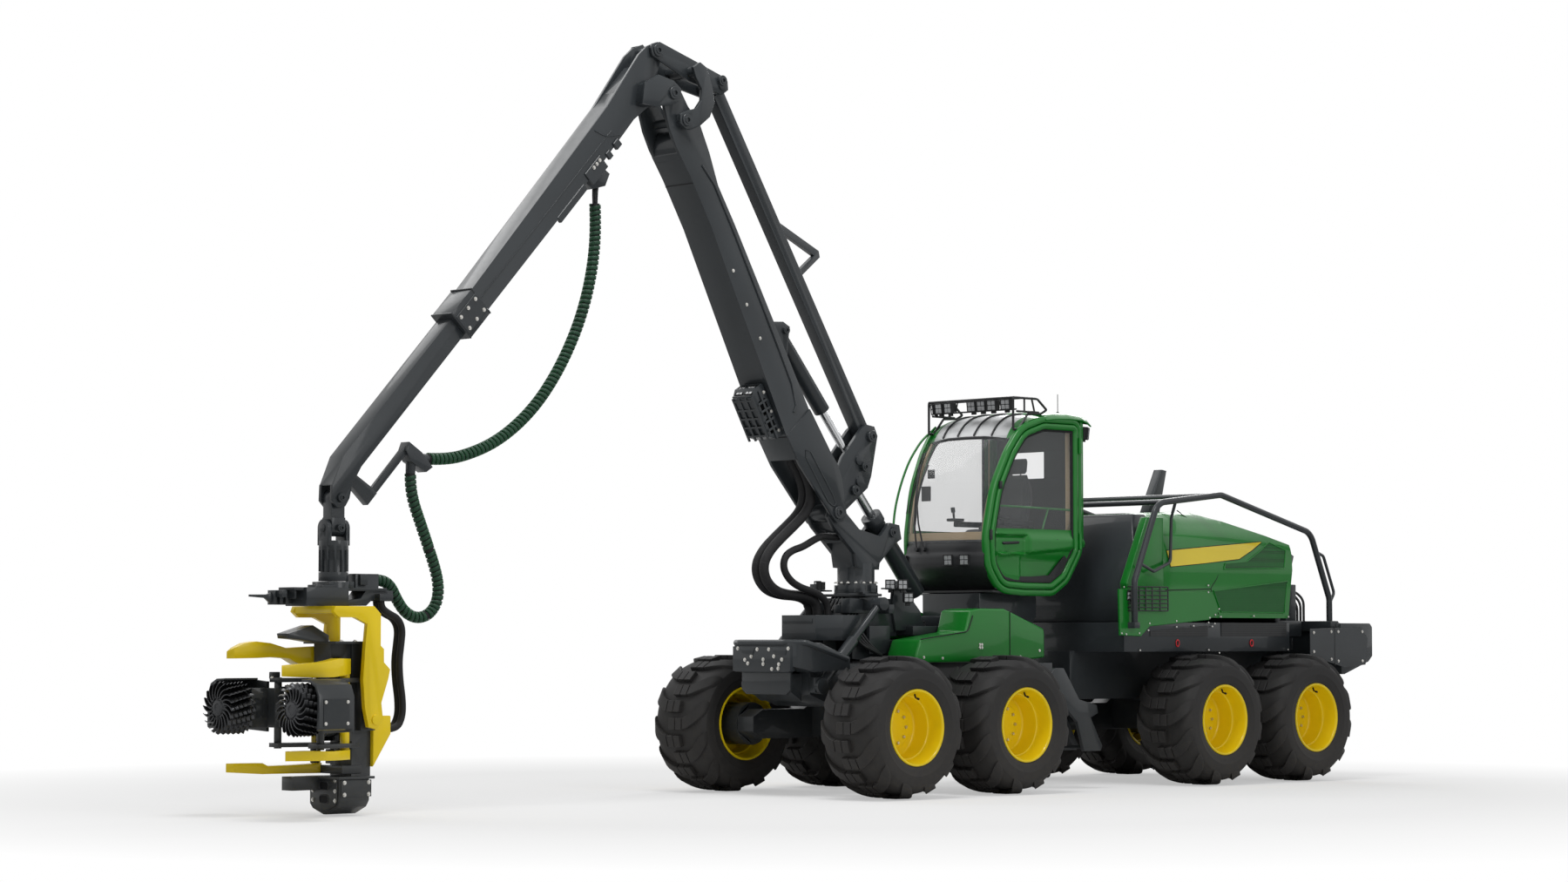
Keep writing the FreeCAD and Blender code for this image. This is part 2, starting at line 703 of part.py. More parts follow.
def pillar():
    column = rod("pillar_column", "column_radius", "Z", "base_high + fit", "column_high", x="slew_x")
    skirt = rod("pillar_skirt", "column_radius + 30", "Z", "base_high + fit", "base_high + 75", x="slew_x")
    side = [
        ("slew_x + 150", "column_high - 40"), ("slew_x + 175", "column_high + 90"),
        ("boom_pin_x + 20", "boom_pin_z - 135"),
        ("boom_pin_x + 95", "boom_pin_z - 40"), ("boom_pin_x + 70", "boom_pin_z + 60"),
        ("boom_pin_x", "boom_pin_z + 92"),
        ("boom_pin_x - 80", "boom_pin_z + 55"), ("boom_pin_x - 320", "boom_pin_z - 150"),
        ("trunnion_x + 170", "trunnion_z - 40"), ("trunnion_x + 40", "trunnion_z + 95"),
        ("trunnion_x - 90", "trunnion_z + 75"),
        ("trunnion_x - 120", "trunnion_z - 60"), ("trunnion_x - 20", "trunnion_z - 110"),
        ("arm_low_x - 140", "arm_low_z - 10"), ("slew_x - 150", "column_high - 60")]
    cheeks = plates("pillar_cheek", side, "pillar_in", "pillar_out")
    web = prism("pillar_web", "XZ", [
        ("slew_x - 170", "column_high - 40"), ("slew_x - 120", "column_high + 60"),
        ("slew_x + 120", "column_high + 130"),
        ("slew_x + 230", "boom_pin_z - 260"), ("slew_x + 175", "column_high - 40")], "2 * pillar_in + 10")
    hose_plate = box("pillar_hose_plate", ("-400", "-370"), ("-pillar_in - 5", "pillar_in + 5"),
                     ("2395", "2505"))
    bore = pin("pillar_bore", "pin_radius", "2 * pillar_out", "boom_pin_x", "boom_pin_z")
    trunnion_bore = pin("pillar_trunnion_bore", "pin_radius", "2 * pillar_out", "trunnion_x", "trunnion_z")
    return cut("pillar_whole", fuse("pillar_solid", [column, skirt, web, hose_plate] + cheeks), bore,
               trunnion_bore)


node("pillar", pillar())

# Lift cylinder: its barrel hangs in the pillar's arms on trunnions, and its rod pushes the rocker
sizes(lift_barrel_radius=92, lift_barrel_top=215, lift_barrel_low=760, lift_collar=104, lift_rod_radius=48)


def lift_barrel():
    tube_part = rod("lift_tube", "lift_barrel_radius", "X", "-lift_barrel_low", "lift_barrel_top")
    collar = rod("lift_collar_ring", "lift_collar", "X", "lift_barrel_top - 90", "lift_barrel_top")
    trunnions = pin("lift_trunnions", "pin_radius - fit", "pillar_out", "0", "0")
    bore = rod("lift_bore", "lift_rod_radius + fit", "X", "-lift_barrel_low + 60", "lift_barrel_top + 1")
    return cut("lift_barrel_whole", fuse("lift_barrel_solid", [tube_part, collar, trunnions]), bore)


node("lift_barrel", lift_barrel(), "trunnion_x", "0", "trunnion_z", "lift_rise")


def lift_rod():
    shaft = rod("lift_shaft", "lift_rod_radius", "X", "-lift_barrel_low + 320", "lift_length - 60")
    eye = pin("lift_eye", "eye_radius - 15", "eye_half", "lift_length", "0")
    return fuse("lift_rod_whole", [shaft, eye])


node("lift_rod", lift_rod(), "trunnion_x", "0", "trunnion_z", "lift_rise")


# Rocker: two plates on the boom's pin, with the pins of the bar and of both cylinders
def rocker():
    side = [
        ("-70", "-60"), ("85", "-30"), ("75", "70"), ("rocker_jib_x + 215", "rocker_jib_z + 20"),
        ("rocker_bar_x + 120", "rocker_bar_z + 70"), ("rocker_bar_x + 55", "rocker_bar_z + 115"),
        ("rocker_bar_x - 55", "rocker_bar_z + 100"), ("rocker_bar_x - 100", "rocker_bar_z + 10"),
        ("rocker_jib_x - 175", "rocker_jib_z - 150"), ("rocker_lift_x - 120", "rocker_lift_z - 60"),
        ("rocker_lift_x - 40", "rocker_lift_z - 120")]
    cheeks = plates("rocker_cheek", side, "rocker_in", "rocker_out")
    boss = pin("rocker_boss", "eye_radius", "rocker_out", "0", "0")
    main_pin = pin("rocker_main_pin", "pin_radius - fit", "boom_foot_out", "0", "0")
    caps = []
    for name, x, z in (("bar", "rocker_bar_x", "rocker_bar_z"), ("jib", "rocker_jib_x", "rocker_jib_z"),
                       ("lift", "rocker_lift_x", "rocker_lift_z")):
        for side_name, low, high in (("left", "rocker_out - 5", "rocker_out + 22"),
                                     ("right", "-rocker_out - 22", "5 - rocker_out")):
            caps.append(rod(f"rocker_cap_{name}_{side_name}", "48", "Y", low, high, x=x, z=z))
    foot_pin = pin("rocker_bar_pin", "pin_radius - fit", "rocker_out", "rocker_bar_x", "rocker_bar_z")
    return fuse("rocker_whole", cheeks + caps + [boss, main_pin, foot_pin])


node("rocker", rocker(), "boom_pin_x", "0", "boom_pin_z")

# Main boom: box girder, cheeks at its foot outside the pillar, cheeks at its head inside the jib
sizes(
    boom_wall=14,
    boom_box_start=690,
    boom_box_end=3900,
    boom_front_low=-244,
    boom_front_high=-150,
    boom_back=146,
    light_cage_u=960,
    light_cage_half=140,
)


def main_boom():
    girder_side = [
        ("boom_box_start", "-235"), ("936", "boom_front_low"), ("3080", "boom_front_high"),
        ("3592", "boom_front_high - 11"),
        ("3830", "boom_front_high - 32"), ("boom_box_end", "-130"), ("boom_box_end", "120"), ("3683", "165"),
        ("3370", "boom_back - 30"), ("2970", "boom_back - 15"), ("1032", "boom_back"),
        ("boom_box_start", "180")]
    girder = prism("boom_girder", "XZ", girder_side, "2 * boom_half")
    inside = prism("boom_inside", "XZ", [
        ("boom_box_start + 60", "-235 + 20"), ("936", "boom_front_low + boom_wall"),
        ("3080", "boom_front_high + boom_wall"),
        ("3592", "boom_front_high + boom_wall - 11"), ("3700", "boom_front_high"), ("3700", "80"),
        ("3370", "boom_back - 30 - boom_wall"), ("1032", "boom_back - boom_wall"),
        ("boom_box_start + 60", "150")],
        "2 * (boom_half - boom_wall)")
    foot = plates("boom_foot", [
        ("-75", "-65"), ("14", "-90"), ("632", "-227"), ("950", "boom_front_low"), ("1032", "boom_back"),
        ("550", "192"),
        ("403", "216"), ("262", "200"), ("-59", "90"), ("-100", "0")], "boom_foot_in", "boom_foot_out")
    head = plates("boom_head", [
        ("3600", "boom_front_high - 10"), ("3905", "-186"), ("4086", "-179"), ("4284", "-138"),
        ("boom_length + 60", "-90"),
        ("boom_length + 105", "0"), ("boom_length + 60", "90"), ("4300", "118"), ("4170", "128"),
        ("3977", "186"),
        ("3683", "165"), ("3500", "115")], "boom_head_in", "boom_half")
    lugs = plates("boom_cylinder_lug", [
        ("jib_cylinder_u - 330", "boom_back - 20"), ("jib_cylinder_u - 70", "jib_cylinder_v + 20"),
        ("jib_cylinder_u", "jib_cylinder_v + 75"), ("jib_cylinder_u + 80", "jib_cylinder_v + 20"),
        ("jib_cylinder_u + 170", "boom_back - 20")], "cylinder_lug_in", "cylinder_lug_out")
    jib_pin_bar = pin("boom_jib_pin", "pin_radius - fit", "jib_ear_out", "boom_length", "0")
    jib_boss = pin("boom_jib_boss", "eye_radius", "boom_head_in + 5", "boom_length", "0")
    link_bosses = pin("boom_link_pin", "pin_radius - fit", "link_out", "link_pin_u", "link_pin_v")
    spacers = [rod(f"boom_spacer_{side}", "pin_radius + 18", "Y", low, high, x="link_pin_u", z="link_pin_v")
               for side, low, high in (("left", "boom_half - 5", "link_in - fit"),
                                       ("right", "fit - link_in", "5 - boom_half"))]
    cylinder_pin = pin("boom_cylinder_pin", "pin_radius - fit", "cylinder_lug_out + 15", "jib_cylinder_u",
                       "jib_cylinder_v")
    foot_bore = pin("boom_foot_bore", "pin_radius", "2 * boom_half", "0", "0")
    cage = prism("boom_light_cage", "XZ", [
        ("light_cage_u", "boom_front_low + 6"), ("light_cage_u", "-330"), ("light_cage_u + 60", "-400"),
        ("light_cage_u + 470", "-415"), ("light_cage_u + 540", "-340"),
        ("light_cage_u + 540", "boom_front_low + 6")], "2 * light_cage_half")
    cage_core = prism("boom_cage_core", "XZ", [
        ("light_cage_u + 20", "boom_front_low - 6"), ("light_cage_u + 20", "-324"),
        ("light_cage_u + 70", "-380"), ("light_cage_u + 460", "-394"), ("light_cage_u + 541", "-310"),
        ("light_cage_u + 541", "boom_front_low - 6")], "2 * light_cage_half - 36")
    cage_windows = [box(f"boom_cage_window_{k}",
                        (f"light_cage_u + {70 + 190 * k}", f"light_cage_u + {220 + 190 * k}"),
                        ("-light_cage_half - 1", "light_cage_half + 1"), ("-365", "-275"))
                    for k in (0, 1)]
    body = cut("boom_body", girder, inside)
    open_cage = cut("boom_cage", cage, cage_core, *cage_windows)
    whole = fuse("main_boom_solid",
                 [body, jib_pin_bar, jib_boss, link_bosses, cylinder_pin, open_cage]
                 + foot + head + lugs + spacers)
    return cut("main_boom_whole", whole, foot_bore)


node("main_boom", main_boom(), "boom_pin_x", "0", "boom_pin_z", "boom_rise")

# Parallel bar: a long box bar from the rocker to the crank, with a triangular bracket on its back
sizes(bar_depth=130, bar_half=62, bar_bracket_u=1720, bar_bracket_rise=330, bar_bracket_length=620)


def parallel_bar():
    bar = box("bar_box", ("60", "bar_length - 70"), ("-bar_half", "bar_half"),
              ("-bar_depth / 2", "bar_depth / 2"))
    foot = pin("bar_foot_eye", "eye_radius", "eye_half", "0", "0")
    top = pin("bar_top_eye", "eye_radius - 5", "crank_in - gap", "bar_length", "0")
    bore = pin("bar_foot_bore", "pin_radius", "2 * bar_half", "0", "0")
    start = "bar_bracket_u"
    outer = prism("bar_bracket_outer", "XZ", [
        (start, "bar_depth / 2 - 5"), (f"{start} + 40", "bar_depth / 2 + bar_bracket_rise"),
        (f"{start} + 100", "bar_depth / 2 + bar_bracket_rise + 20"),
        (f"{start} + bar_bracket_length", "bar_depth / 2 - 5")], "50")
    inner = prism("bar_bracket_inner", "XZ", [
        (f"{start} + 60", "bar_depth / 2"), (f"{start} + 90", "bar_depth / 2 + bar_bracket_rise - 60"),
        (f"{start} + bar_bracket_length - 130", "bar_depth / 2")], "60")
    frame = cut("bar_bracket", outer, inner)
    return cut("parallel_bar_whole", fuse("parallel_bar_solid", [bar, foot, top, frame]), bore)


node("parallel_bar", parallel_bar(), "bar_foot_x", "0", "bar_foot_z", "bar_rise")

# Jib cylinder: barrel on the boom's lugs, rod to the rocker
sizes(jib_barrel_radius=78, jib_barrel_length=950, jib_rod_radius=40)


def jib_cylinder_barrel():
    tube_part = rod("jib_tube", "jib_barrel_radius", "X", "40", "jib_barrel_length")
    eye = pin("jib_barrel_eye", "eye_radius - 10", "cylinder_lug_in - gap", "0", "0")
    bore = pin("jib_barrel_pin_bore", "pin_radius", "2 * eye_half", "0", "0")
    rod_bore = rod("jib_barrel_bore", "jib_rod_radius + fit", "X", "180", "jib_barrel_length + 1")
    return cut("jib_barrel_whole", fuse("jib_barrel_solid", [tube_part, eye]), bore, rod_bore)


node("jib_cylinder_barrel", jib_cylinder_barrel(), "jib_cylinder_x", "0", "jib_cylinder_z",
     "jib_cylinder_rise")


def jib_cylinder_rod():
    shaft = rod("jib_shaft", "jib_rod_radius", "X", "420", "jib_cylinder_length - 50")
    eye = pin("jib_rod_eye", "eye_radius - 20", "eye_half", "jib_cylinder_length", "0")
    return fuse("jib_rod_whole", [shaft, eye])


node("jib_cylinder_rod", jib_cylinder_rod(), "jib_cylinder_x", "0", "jib_cylinder_z", "jib_cylinder_rise")

# Jib: hollow box girder above its pin, flared ears outside the boom, open at its front for the extension
sizes(
    jib_box_start=420,
    jib_box_end=3310,
    jib_low=85,
    jib_high=350,
    jib_high_end=325,
    jib_wall=14,
    extension_clear=8,
    jib_collar_length=330,
    jib_collar_wall=24,
)


def jib_arm():
    girder = prism("jib_girder", "XZ", [
        ("jib_box_start", "jib_low + 20"), ("1000", "jib_low"), ("jib_box_end", "jib_low"),
        ("jib_box_end", "jib_high_end"),
        ("jib_box_start", "jib_high + 50")], "2 * jib_half")
    inside = box("jib_inside", ("jib_box_start + 200", "jib_box_end + 1"),
                 ("-jib_half + jib_wall", "jib_half - jib_wall"),
                 ("jib_low + jib_wall", "jib_high_end - jib_wall"))
    collar = box("jib_collar", ("jib_box_end - jib_collar_length", "jib_box_end"),
                 ("-jib_half - jib_collar_wall", "jib_half + jib_collar_wall"),
                 ("jib_low - jib_collar_wall", "jib_high_end + jib_collar_wall"))
    cheek = [
        ("jib_box_start + 500", "jib_high + 10"), ("-20", "jib_high + 120"), ("-150", "crank_pin_v + 95"),
        ("crank_pin_u - 80", "crank_pin_v + 40"), ("crank_pin_u - 85", "crank_pin_v - 50"),
        ("crank_pin_u + 60", "crank_pin_v - 120"), ("60", "150"), ("200", "60"),
        ("jib_box_start + 60", "jib_low + 20"),
        ("jib_box_start + 350", "jib_low + 10")]
    cheeks = plates("jib_cheek", cheek, "jib_half - 30", "jib_half")
    ear = [("-95", "-30"), ("-30", "-95"), ("60", "-80"), ("260", "60"), ("360", "190"), ("200", "300"),
           ("20", "240"),
           ("-80", "80")]
    ears = plates("jib_ear", ear, "jib_ear_in", "jib_ear_out")
    rib = [("150", "130"), ("250", "75"), ("350", "185"), ("200", "290"), ("120", "250")]
    ribs = plates("jib_rib", rib, "jib_half - 5", "jib_ear_in + 5")
    crank_bar = pin("jib_crank_pin", "pin_radius - fit", "crank_out", "crank_pin_u", "crank_pin_v")
    back = box("jib_back_plate", ("60", "jib_box_start + 10"), ("-jib_half + 20", "jib_half - 20"),
               ("jib_high + 20", "jib_high + 50"))
    shelf = prism("jib_hose_bracket", "XZ", [
        ("1040", "jib_low + 5"), ("1010", "-70"), ("1130", "-110"), ("1260", "-30"),
        ("1290", "jib_low + 5")], "120")
    ear_bore = pin("jib_ear_bore", "pin_radius", "2 * jib_ear_out", "0", "0")
    whole = fuse("jib_solid", [girder, collar, crank_bar, back, shelf] + cheeks + ears + ribs)
    hollowed = cut("jib_hollowed", whole, inside, ear_bore)
    pad_along = ("jib_box_end - jib_collar_length", "jib_box_end - 10")
    pad_inner = "jib_half - jib_wall - extension_clear + fit"
    pad_outer = "jib_half - jib_wall + 2"
    side_z = ("jib_low + jib_wall + 30", "jib_high_end - jib_wall - 30")
    flat_y = ("-jib_half + jib_wall + 30", "jib_half - jib_wall - 30")
    pads = [
        box("wear_pad_left", pad_along, (pad_inner, pad_outer), side_z),
        box("wear_pad_right", pad_along, (f"-({pad_outer})", f"-({pad_inner})"), side_z),
        box("wear_pad_low", pad_along, flat_y,
            ("jib_low + jib_wall - 2", "jib_low + jib_wall + extension_clear - fit")),
        box("wear_pad_high", pad_along, flat_y,
            ("jib_high_end - jib_wall - extension_clear + fit", "jib_high_end - jib_wall + 2"))]
    return fuse("jib_arm_whole", [hollowed] + pads)


node("jib_arm", jib_arm(), "jib_pin_x", "0", "jib_pin_z", "jib_rise")


# Bell crank: two plates from the jib's upper pin to the bar, with the curved link's pin between
def bell_crank():
    side = [("-75", "-40"), ("0", "-85"), ("crank_middle", "crank_offset - 120"),
            ("crank_length - 40", "-85"),
            ("crank_length + 55", "-65"), ("crank_length + 85", "10"), ("crank_length + 30", "80"),
            ("crank_middle + 120", "crank_offset + 80"), ("crank_middle", "crank_offset + 90"), ("60", "85"),
            ("-50", "70"), ("-85", "10")]
    cheeks = plates("crank_cheek", side, "crank_in", "crank_out")
    tie = box("crank_tie", ("crank_middle - 80", "crank_middle + 40"), ("-crank_in - 5", "crank_in + 5"),
              ("0", "60"))
    middle = pin("crank_middle_pin", "pin_radius + 12", "link_in - fit", "crank_middle", "crank_offset")
    bore = pin("crank_bore", "pin_radius", "2 * crank_out", "0", "0")
    caps = [rod(f"crank_bar_cap_{side_name}", "48", "Y", low, high, x="crank_length", z="0")
            for side_name, low, high in (("left", "crank_out - 5", "crank_out + 20"),
                                         ("right", "-crank_out - 20", "5 - crank_out"))]
    return cut("bell_crank_whole", fuse("bell_crank_solid", cheeks + caps + [tie, middle]), bore)


node("bell_crank", bell_crank(), "crank_pin_x", "0", "crank_pin_z", "crank_rise")


# Curved link: a crescent plate each side, hinged on the boom's head
def curved_link():
    side = [
        ("-80", "20"), ("-60", "-60"), ("20", "-90"), ("90", "-20"), ("150", "70"), ("250", "105"),
        ("350", "80"),
        ("link_length - 70", "-30"), ("link_length", "-85"), ("link_length + 80", "-20"),
        ("link_length + 65", "70"),
        ("430", "190"), ("300", "265"), ("150", "255"), ("20", "170"), ("-60", "80")]
    cheeks = plates("link_cheek", side, "link_in", "link_out")
    bore = pin("link_bore", "pin_radius", "2 * link_out", "0", "0")
    return cut("curved_link_whole", group("curved_link_pair", cheeks), bore)


node("curved_link", curved_link(), "link_pin_x", "0", "link_pin_z", "link_rise")

# Extension: a telescoping box in the jib, its fork at the tip, and the hose arm beside the fork
sizes(
    extension_start=1750,
    fork_start=4930,
    tip_fork_half=95,
    tip_fork_plate=32,
    hose_arm_u=4420,
    hose_arm_v=-165,
)


def hose_fitting(name, x, z, dx, dz, length):
    """A round fitting on the hose manifold, placed and pointed in machine X and Z, drawn in the jib's axes."""
    away = V(x, 0, z) - jib_pin
    start = turned(away.x, away.z, -size["jib_rise"])
    return shaped(name, Part.makeCylinder(42, length, V(start.x, 0, start.z),
                                          V(*turned(dx, dz, -size["jib_rise"]))))


def extension():
    low = "jib_low + jib_wall + extension_clear"
    high = "jib_high_end - jib_wall - extension_clear"
    inner_half = "jib_half - jib_wall - extension_clear"
    girder = box("extension_box", ("extension_start", "fork_start"),
                 (f"-{inner_half.replace('-', '+')}", inner_half), (low, high))
    hollow = box("extension_hollow", ("extension_start - 1", "fork_start - 30"),
                 ("-jib_half + jib_wall + extension_clear + 14",
                  "jib_half - jib_wall - extension_clear - 14"),
                 (f"{low} + 14", f"{high} - 14"))
    knuckle = prism("extension_knuckle", "XZ", [
        ("fork_start - 5", low), ("fork_start - 5", high), ("fork_start + 60", high),
        ("tip_pin_u - 20", "tip_pin_v + 130"),
        ("tip_pin_u - 110", "tip_pin_v + 20"), ("fork_start + 100", "jib_low")], "2 * tip_fork_half")
    fork = plates("tip_fork", [
        ("fork_start + 110", "jib_low + 20"), ("fork_start + 120", "tip_pin_v + 145"),
        ("tip_pin_u - 20", "tip_pin_v + 135"),
        ("tip_pin_u + 80", "tip_pin_v + 50"), ("tip_pin_u + 85", "tip_pin_v - 30"),
        ("tip_pin_u + 20", "tip_pin_v - 85"),
        ("tip_pin_u - 60", "tip_pin_v - 70")], "tip_fork_half - tip_fork_plate", "tip_fork_half")
    arm = box("hose_arm", ("hose_arm_u", "fork_start + 150"), ("-28", "28"),
              ("hose_arm_v - 28", "hose_arm_v + 28"))
    arm_foot = prism("hose_arm_foot", "XZ", [
        ("fork_start + 10", "hose_arm_v - 30"), ("fork_start + 10", "hose_arm_v + 40"),
        ("fork_start + 60", "jib_low + 40"),
        ("fork_start + 150", "jib_low + 40"), ("fork_start + 150", "hose_arm_v - 30")], "70")
    manifold = prism("hose_manifold", "XZ", [
        ("hose_arm_u - 30", "hose_arm_v + 40"), ("hose_arm_u + 50", "hose_arm_v + 10"),
        ("hose_arm_u + 80", "hose_arm_v - 90"),
        ("hose_arm_u + 30", "hose_arm_v - 270"), ("hose_arm_u - 50", "hose_arm_v - 290"),
        ("hose_arm_u - 60", "hose_arm_v - 120")],
        "120")
    fittings = [hose_fitting("head_fitting", 4725, 2990, 0, -1, 100),
                hose_fitting("jib_fitting", 4640, 3025, -1, 0, 94.7)]
    solid = cut("extension_girder", girder, hollow)
    bore = pin("extension_tip_bore", "pin_radius - 8", "2 * tip_fork_half", "tip_pin_u", "tip_pin_v")
    return cut("extension_whole",
               fuse("extension_solid", [solid, knuckle, arm, arm_foot, manifold] + fork + fittings), bore)


node("extension", extension(), "jib_pin_x", "0", "jib_pin_z", "jib_rise")

# Hanging link, rotator and yoke, each drawn from the extension's tip pin
sizes(
    hang_drop=255,
    swing_half=58,
    rotator_top=330,
    rotator_low=700,
    rotator_radius=125,
    rotator_plate=150,
)


def tip_link():
    top = pin("tip_link_top", "70", "swing_half", "0", "0")
    body = box("tip_link_body", ("-70", "70"), ("-swing_half", "swing_half"), ("-hang_drop + 50", "0"))
    low = rod("tip_link_low", "70", "X", "-70", "70", z="-hang_drop")
    across = box("tip_link_pad", ("-70", "70"), ("-70", "70"), ("-hang_drop", "-hang_drop + 90"))
    top_pin = pin("tip_link_pin", "pin_radius - 8 - fit", "tip_fork_half + 12", "0", "0")
    bore = rod("tip_link_bore", "pin_radius - 8", "X", "-200", "200", z="-hang_drop")
    return cut("tip_link_whole", fuse("tip_link_solid", [top, body, low, across, top_pin]), bore)


node("tip_link", tip_link(), "tip_pin_x", "0", "tip_pin_z")


ROTATOR_RIBS = 12


def rotator():
    ears = [box(f"rotator_ear_{name}", (low, high), ("-75", "75"), ("-rotator_top - 70", "-hang_drop"))
            for name, low, high in (("front", "76", "112"), ("rear", "-112", "-76"))]
    rounds = [rod(f"rotator_round_{name}", "75", "X", low, high, z="-hang_drop")
              for name, low, high in (("front", "76", "112"), ("rear", "-112", "-76"))]
    swing_pin = rod("rotator_swing_pin", "pin_radius - 8 - fit", "X", "-122", "122", z="-hang_drop")
    top = rod("rotator_top_plate", "rotator_radius", "Z", "-rotator_top - 110", "-rotator_top - 30")
    motor = rod("rotator_motor", "rotator_radius - 15", "Z", "-rotator_low + 60", "-rotator_top - 100")
    collar = rod("rotator_collar", "rotator_radius", "Z", "-rotator_low", "-rotator_low + 75")
    ribs = []
    for k in range(ROTATOR_RIBS):
        turn = k * 360 / ROTATOR_RIBS
        rib = box(f"rotator_rib_{k}", ("0", "rotator_radius"), ("-9", "9"),
                  ("-rotator_top - 290", "-rotator_top - 100"))
        rib.Placement = FreeCAD.Placement(V(), FreeCAD.Rotation(V(0, 0, 1), turn))
        rib.setExpression("Placement.Base.x", bound(f"9 * sin({turn})"))
        rib.setExpression("Placement.Base.y", bound(f"-9 * cos({turn})"))
        rib.setExpression("Placement.Base.z", bound("-rotator_top - 290"))
        ribs.append(rib)
    return fuse("rotator_whole", ears + rounds + ribs + [swing_pin, top, motor, collar])


node("rotator", rotator(), "tip_pin_x", "0", "tip_pin_z")

# Head's top frame: flange, block and hose plates under the rotator
sizes(
    top_frame_z=-705,
    top_frame_depth=205,
    top_frame_front=420,
    top_frame_rear=-330,
    hose_block_rear=-420,
)


def head_top():
    flange = rod("top_flange", "rotator_plate", "Z", "top_frame_z - 55", "top_frame_z - fit")
    block = box("top_block", ("top_frame_rear + 280", "top_frame_front - 40"), ("-150", "150"),
                ("top_frame_z - top_frame_depth + fit", "top_frame_z - 50"))
    sheet = box("top_sheet", ("top_frame_rear - 150", "top_frame_front + 60"), ("-110", "110"),
                ("top_frame_z - 75", "top_frame_z - 50"))
    bracket = prism("top_bracket", "XZ", [
        ("top_frame_rear + 290", "top_frame_z - 160"),
        ("top_frame_rear + 290", "top_frame_z - top_frame_depth + 5"),
        ("top_frame_rear + 60", "top_frame_z - top_frame_depth + 5"),
        ("top_frame_rear", "top_frame_z - 150"),
        ("top_frame_rear - 220", "top_frame_z - 160"), ("top_frame_rear - 220", "top_frame_z - 70"),
        ("top_frame_rear + 60", "top_frame_z - 70"), ("top_frame_rear + 120", "top_frame_z - 140")], "200")
    hose_block = box("top_hose_block", ("hose_block_rear", "hose_block_rear + 240"), ("-70", "70"),
                     ("top_frame_z - 55", "top_frame_z + 70"))
    ledge = box("top_hose_ledge", ("top_frame_rear - 170", "top_frame_rear - 30"), ("0", "170"),
                ("top_frame_z - 160", "top_frame_z - 100"))
    lever = prism("top_lever", "XZ", [
        ("top_frame_front - 60", "top_frame_z - 100"), ("top_frame_front + 150", "top_frame_z - 85"),
        ("top_frame_front + 210", "top_frame_z - 110"), ("top_frame_front + 380", "top_frame_z - 112"),
        ("top_frame_front + 380", "top_frame_z - 130"), ("top_frame_front + 230", "top_frame_z - 140"),
        ("top_frame_front + 180", "top_frame_z - 180"), ("top_frame_front - 60", "top_frame_z - 185")], "26",
        "-70")
    hooks = [box(f"top_hook_{k}", (x, f"{x} + 34"), ("-110", "-20"),
                 ("top_frame_z - 195", "top_frame_z - 75"))
             for k, x in enumerate(("top_frame_front + 15", "top_frame_front + 75",
                                    "top_frame_front + 135"))]
    return fuse("head_top_whole", [flange, block, sheet, bracket, hose_block, ledge, lever] + hooks)


node("head_top", head_top(), "tip_pin_x", "0", "tip_pin_z")

# Tilt frame: a yellow arch whose legs run down behind the head to its tilt pins
sizes(
    leg_in=260,
    leg_out=305,
    tilt_pin_x=-220,
    tilt_pin_z=800,
    head_half=220,
)


fits(arch_top=tip_pin.z + size["top_frame_z"] - size["top_frame_depth"])


def tilt_frame():
    side = [
        ("220", "arch_top - 45"), ("200", "arch_top"), ("-200", "arch_top"), ("-270", "arch_top - 65"),
        ("-270", "1420"),
        ("-305", "1390"), ("-305", "1280"), ("-370", "1220"), ("-350", "1140"), ("-280", "940"),
        ("tilt_pin_x - 80", "tilt_pin_z"),
        ("tilt_pin_x - 20", "tilt_pin_z - 80"), ("tilt_pin_x + 70", "tilt_pin_z - 60"), ("-110", "900"),
        ("-90", "1140"),
        ("-110", "1400"), ("-130", "1600"), ("0", "1655"), ("160", "1655")]
    legs = plates("tilt_leg", side, "leg_in", "leg_out")
    top = box("tilt_top", ("-205", "205"), ("-leg_in - 5", "leg_in + 5"), ("arch_top - 60", "arch_top"))
    back = box("tilt_back", ("-360", "-310"), ("-leg_in - 5", "leg_in + 5"), ("1130", "1225"))
    strip = box("tilt_strip", ("-330", "-305"), ("-leg_in - 5", "leg_in + 5"), ("1220", "1385"))
    pins = [rod(f"tilt_pin_{side_name}", "pin_radius - fit", "Y", low, high, x="tilt_pin_x", z="tilt_pin_z")
            for side_name, low, high in (("left", "head_half - 60", "leg_out + 15"),
                                         ("right", "-leg_out - 15", "60 - head_half"))]
    return fuse("tilt_frame_whole", legs + pins + [top, back, strip])


node("tilt_frame", tilt_frame(), "tip_pin_x")

# ---------------------------------------------------------------------------------------------
# Harvester head: drawn from the ground under the tip pin, its open side to +X
# ---------------------------------------------------------------------------------------------
sizes(
    spine_rear=-285,
    spine_front=-90,
    spine_high=1440,
    chest_half=115,
    knife_pin_x=20,
    knife_pin_y=200,
    knife_pin_radius=40,
    knife_height=400,
    fork_low=590,
    fork_high=1132,
    arm_pin_x=340,
    arm_pin_y=300,
    arm_pin_radius=32,
    arm_z=900,
    arm_height=330,
    arm_plate=36,
    roller_x=680,
    roller_y=520,
    roller_radius=225,
    roller_width=250,
    roller_fin=38,
    roller_bore=60,
    saw_front=70,
    saw_rear=-230,
    saw_half=210,
    saw_top=330,
    saw_low=12,
)


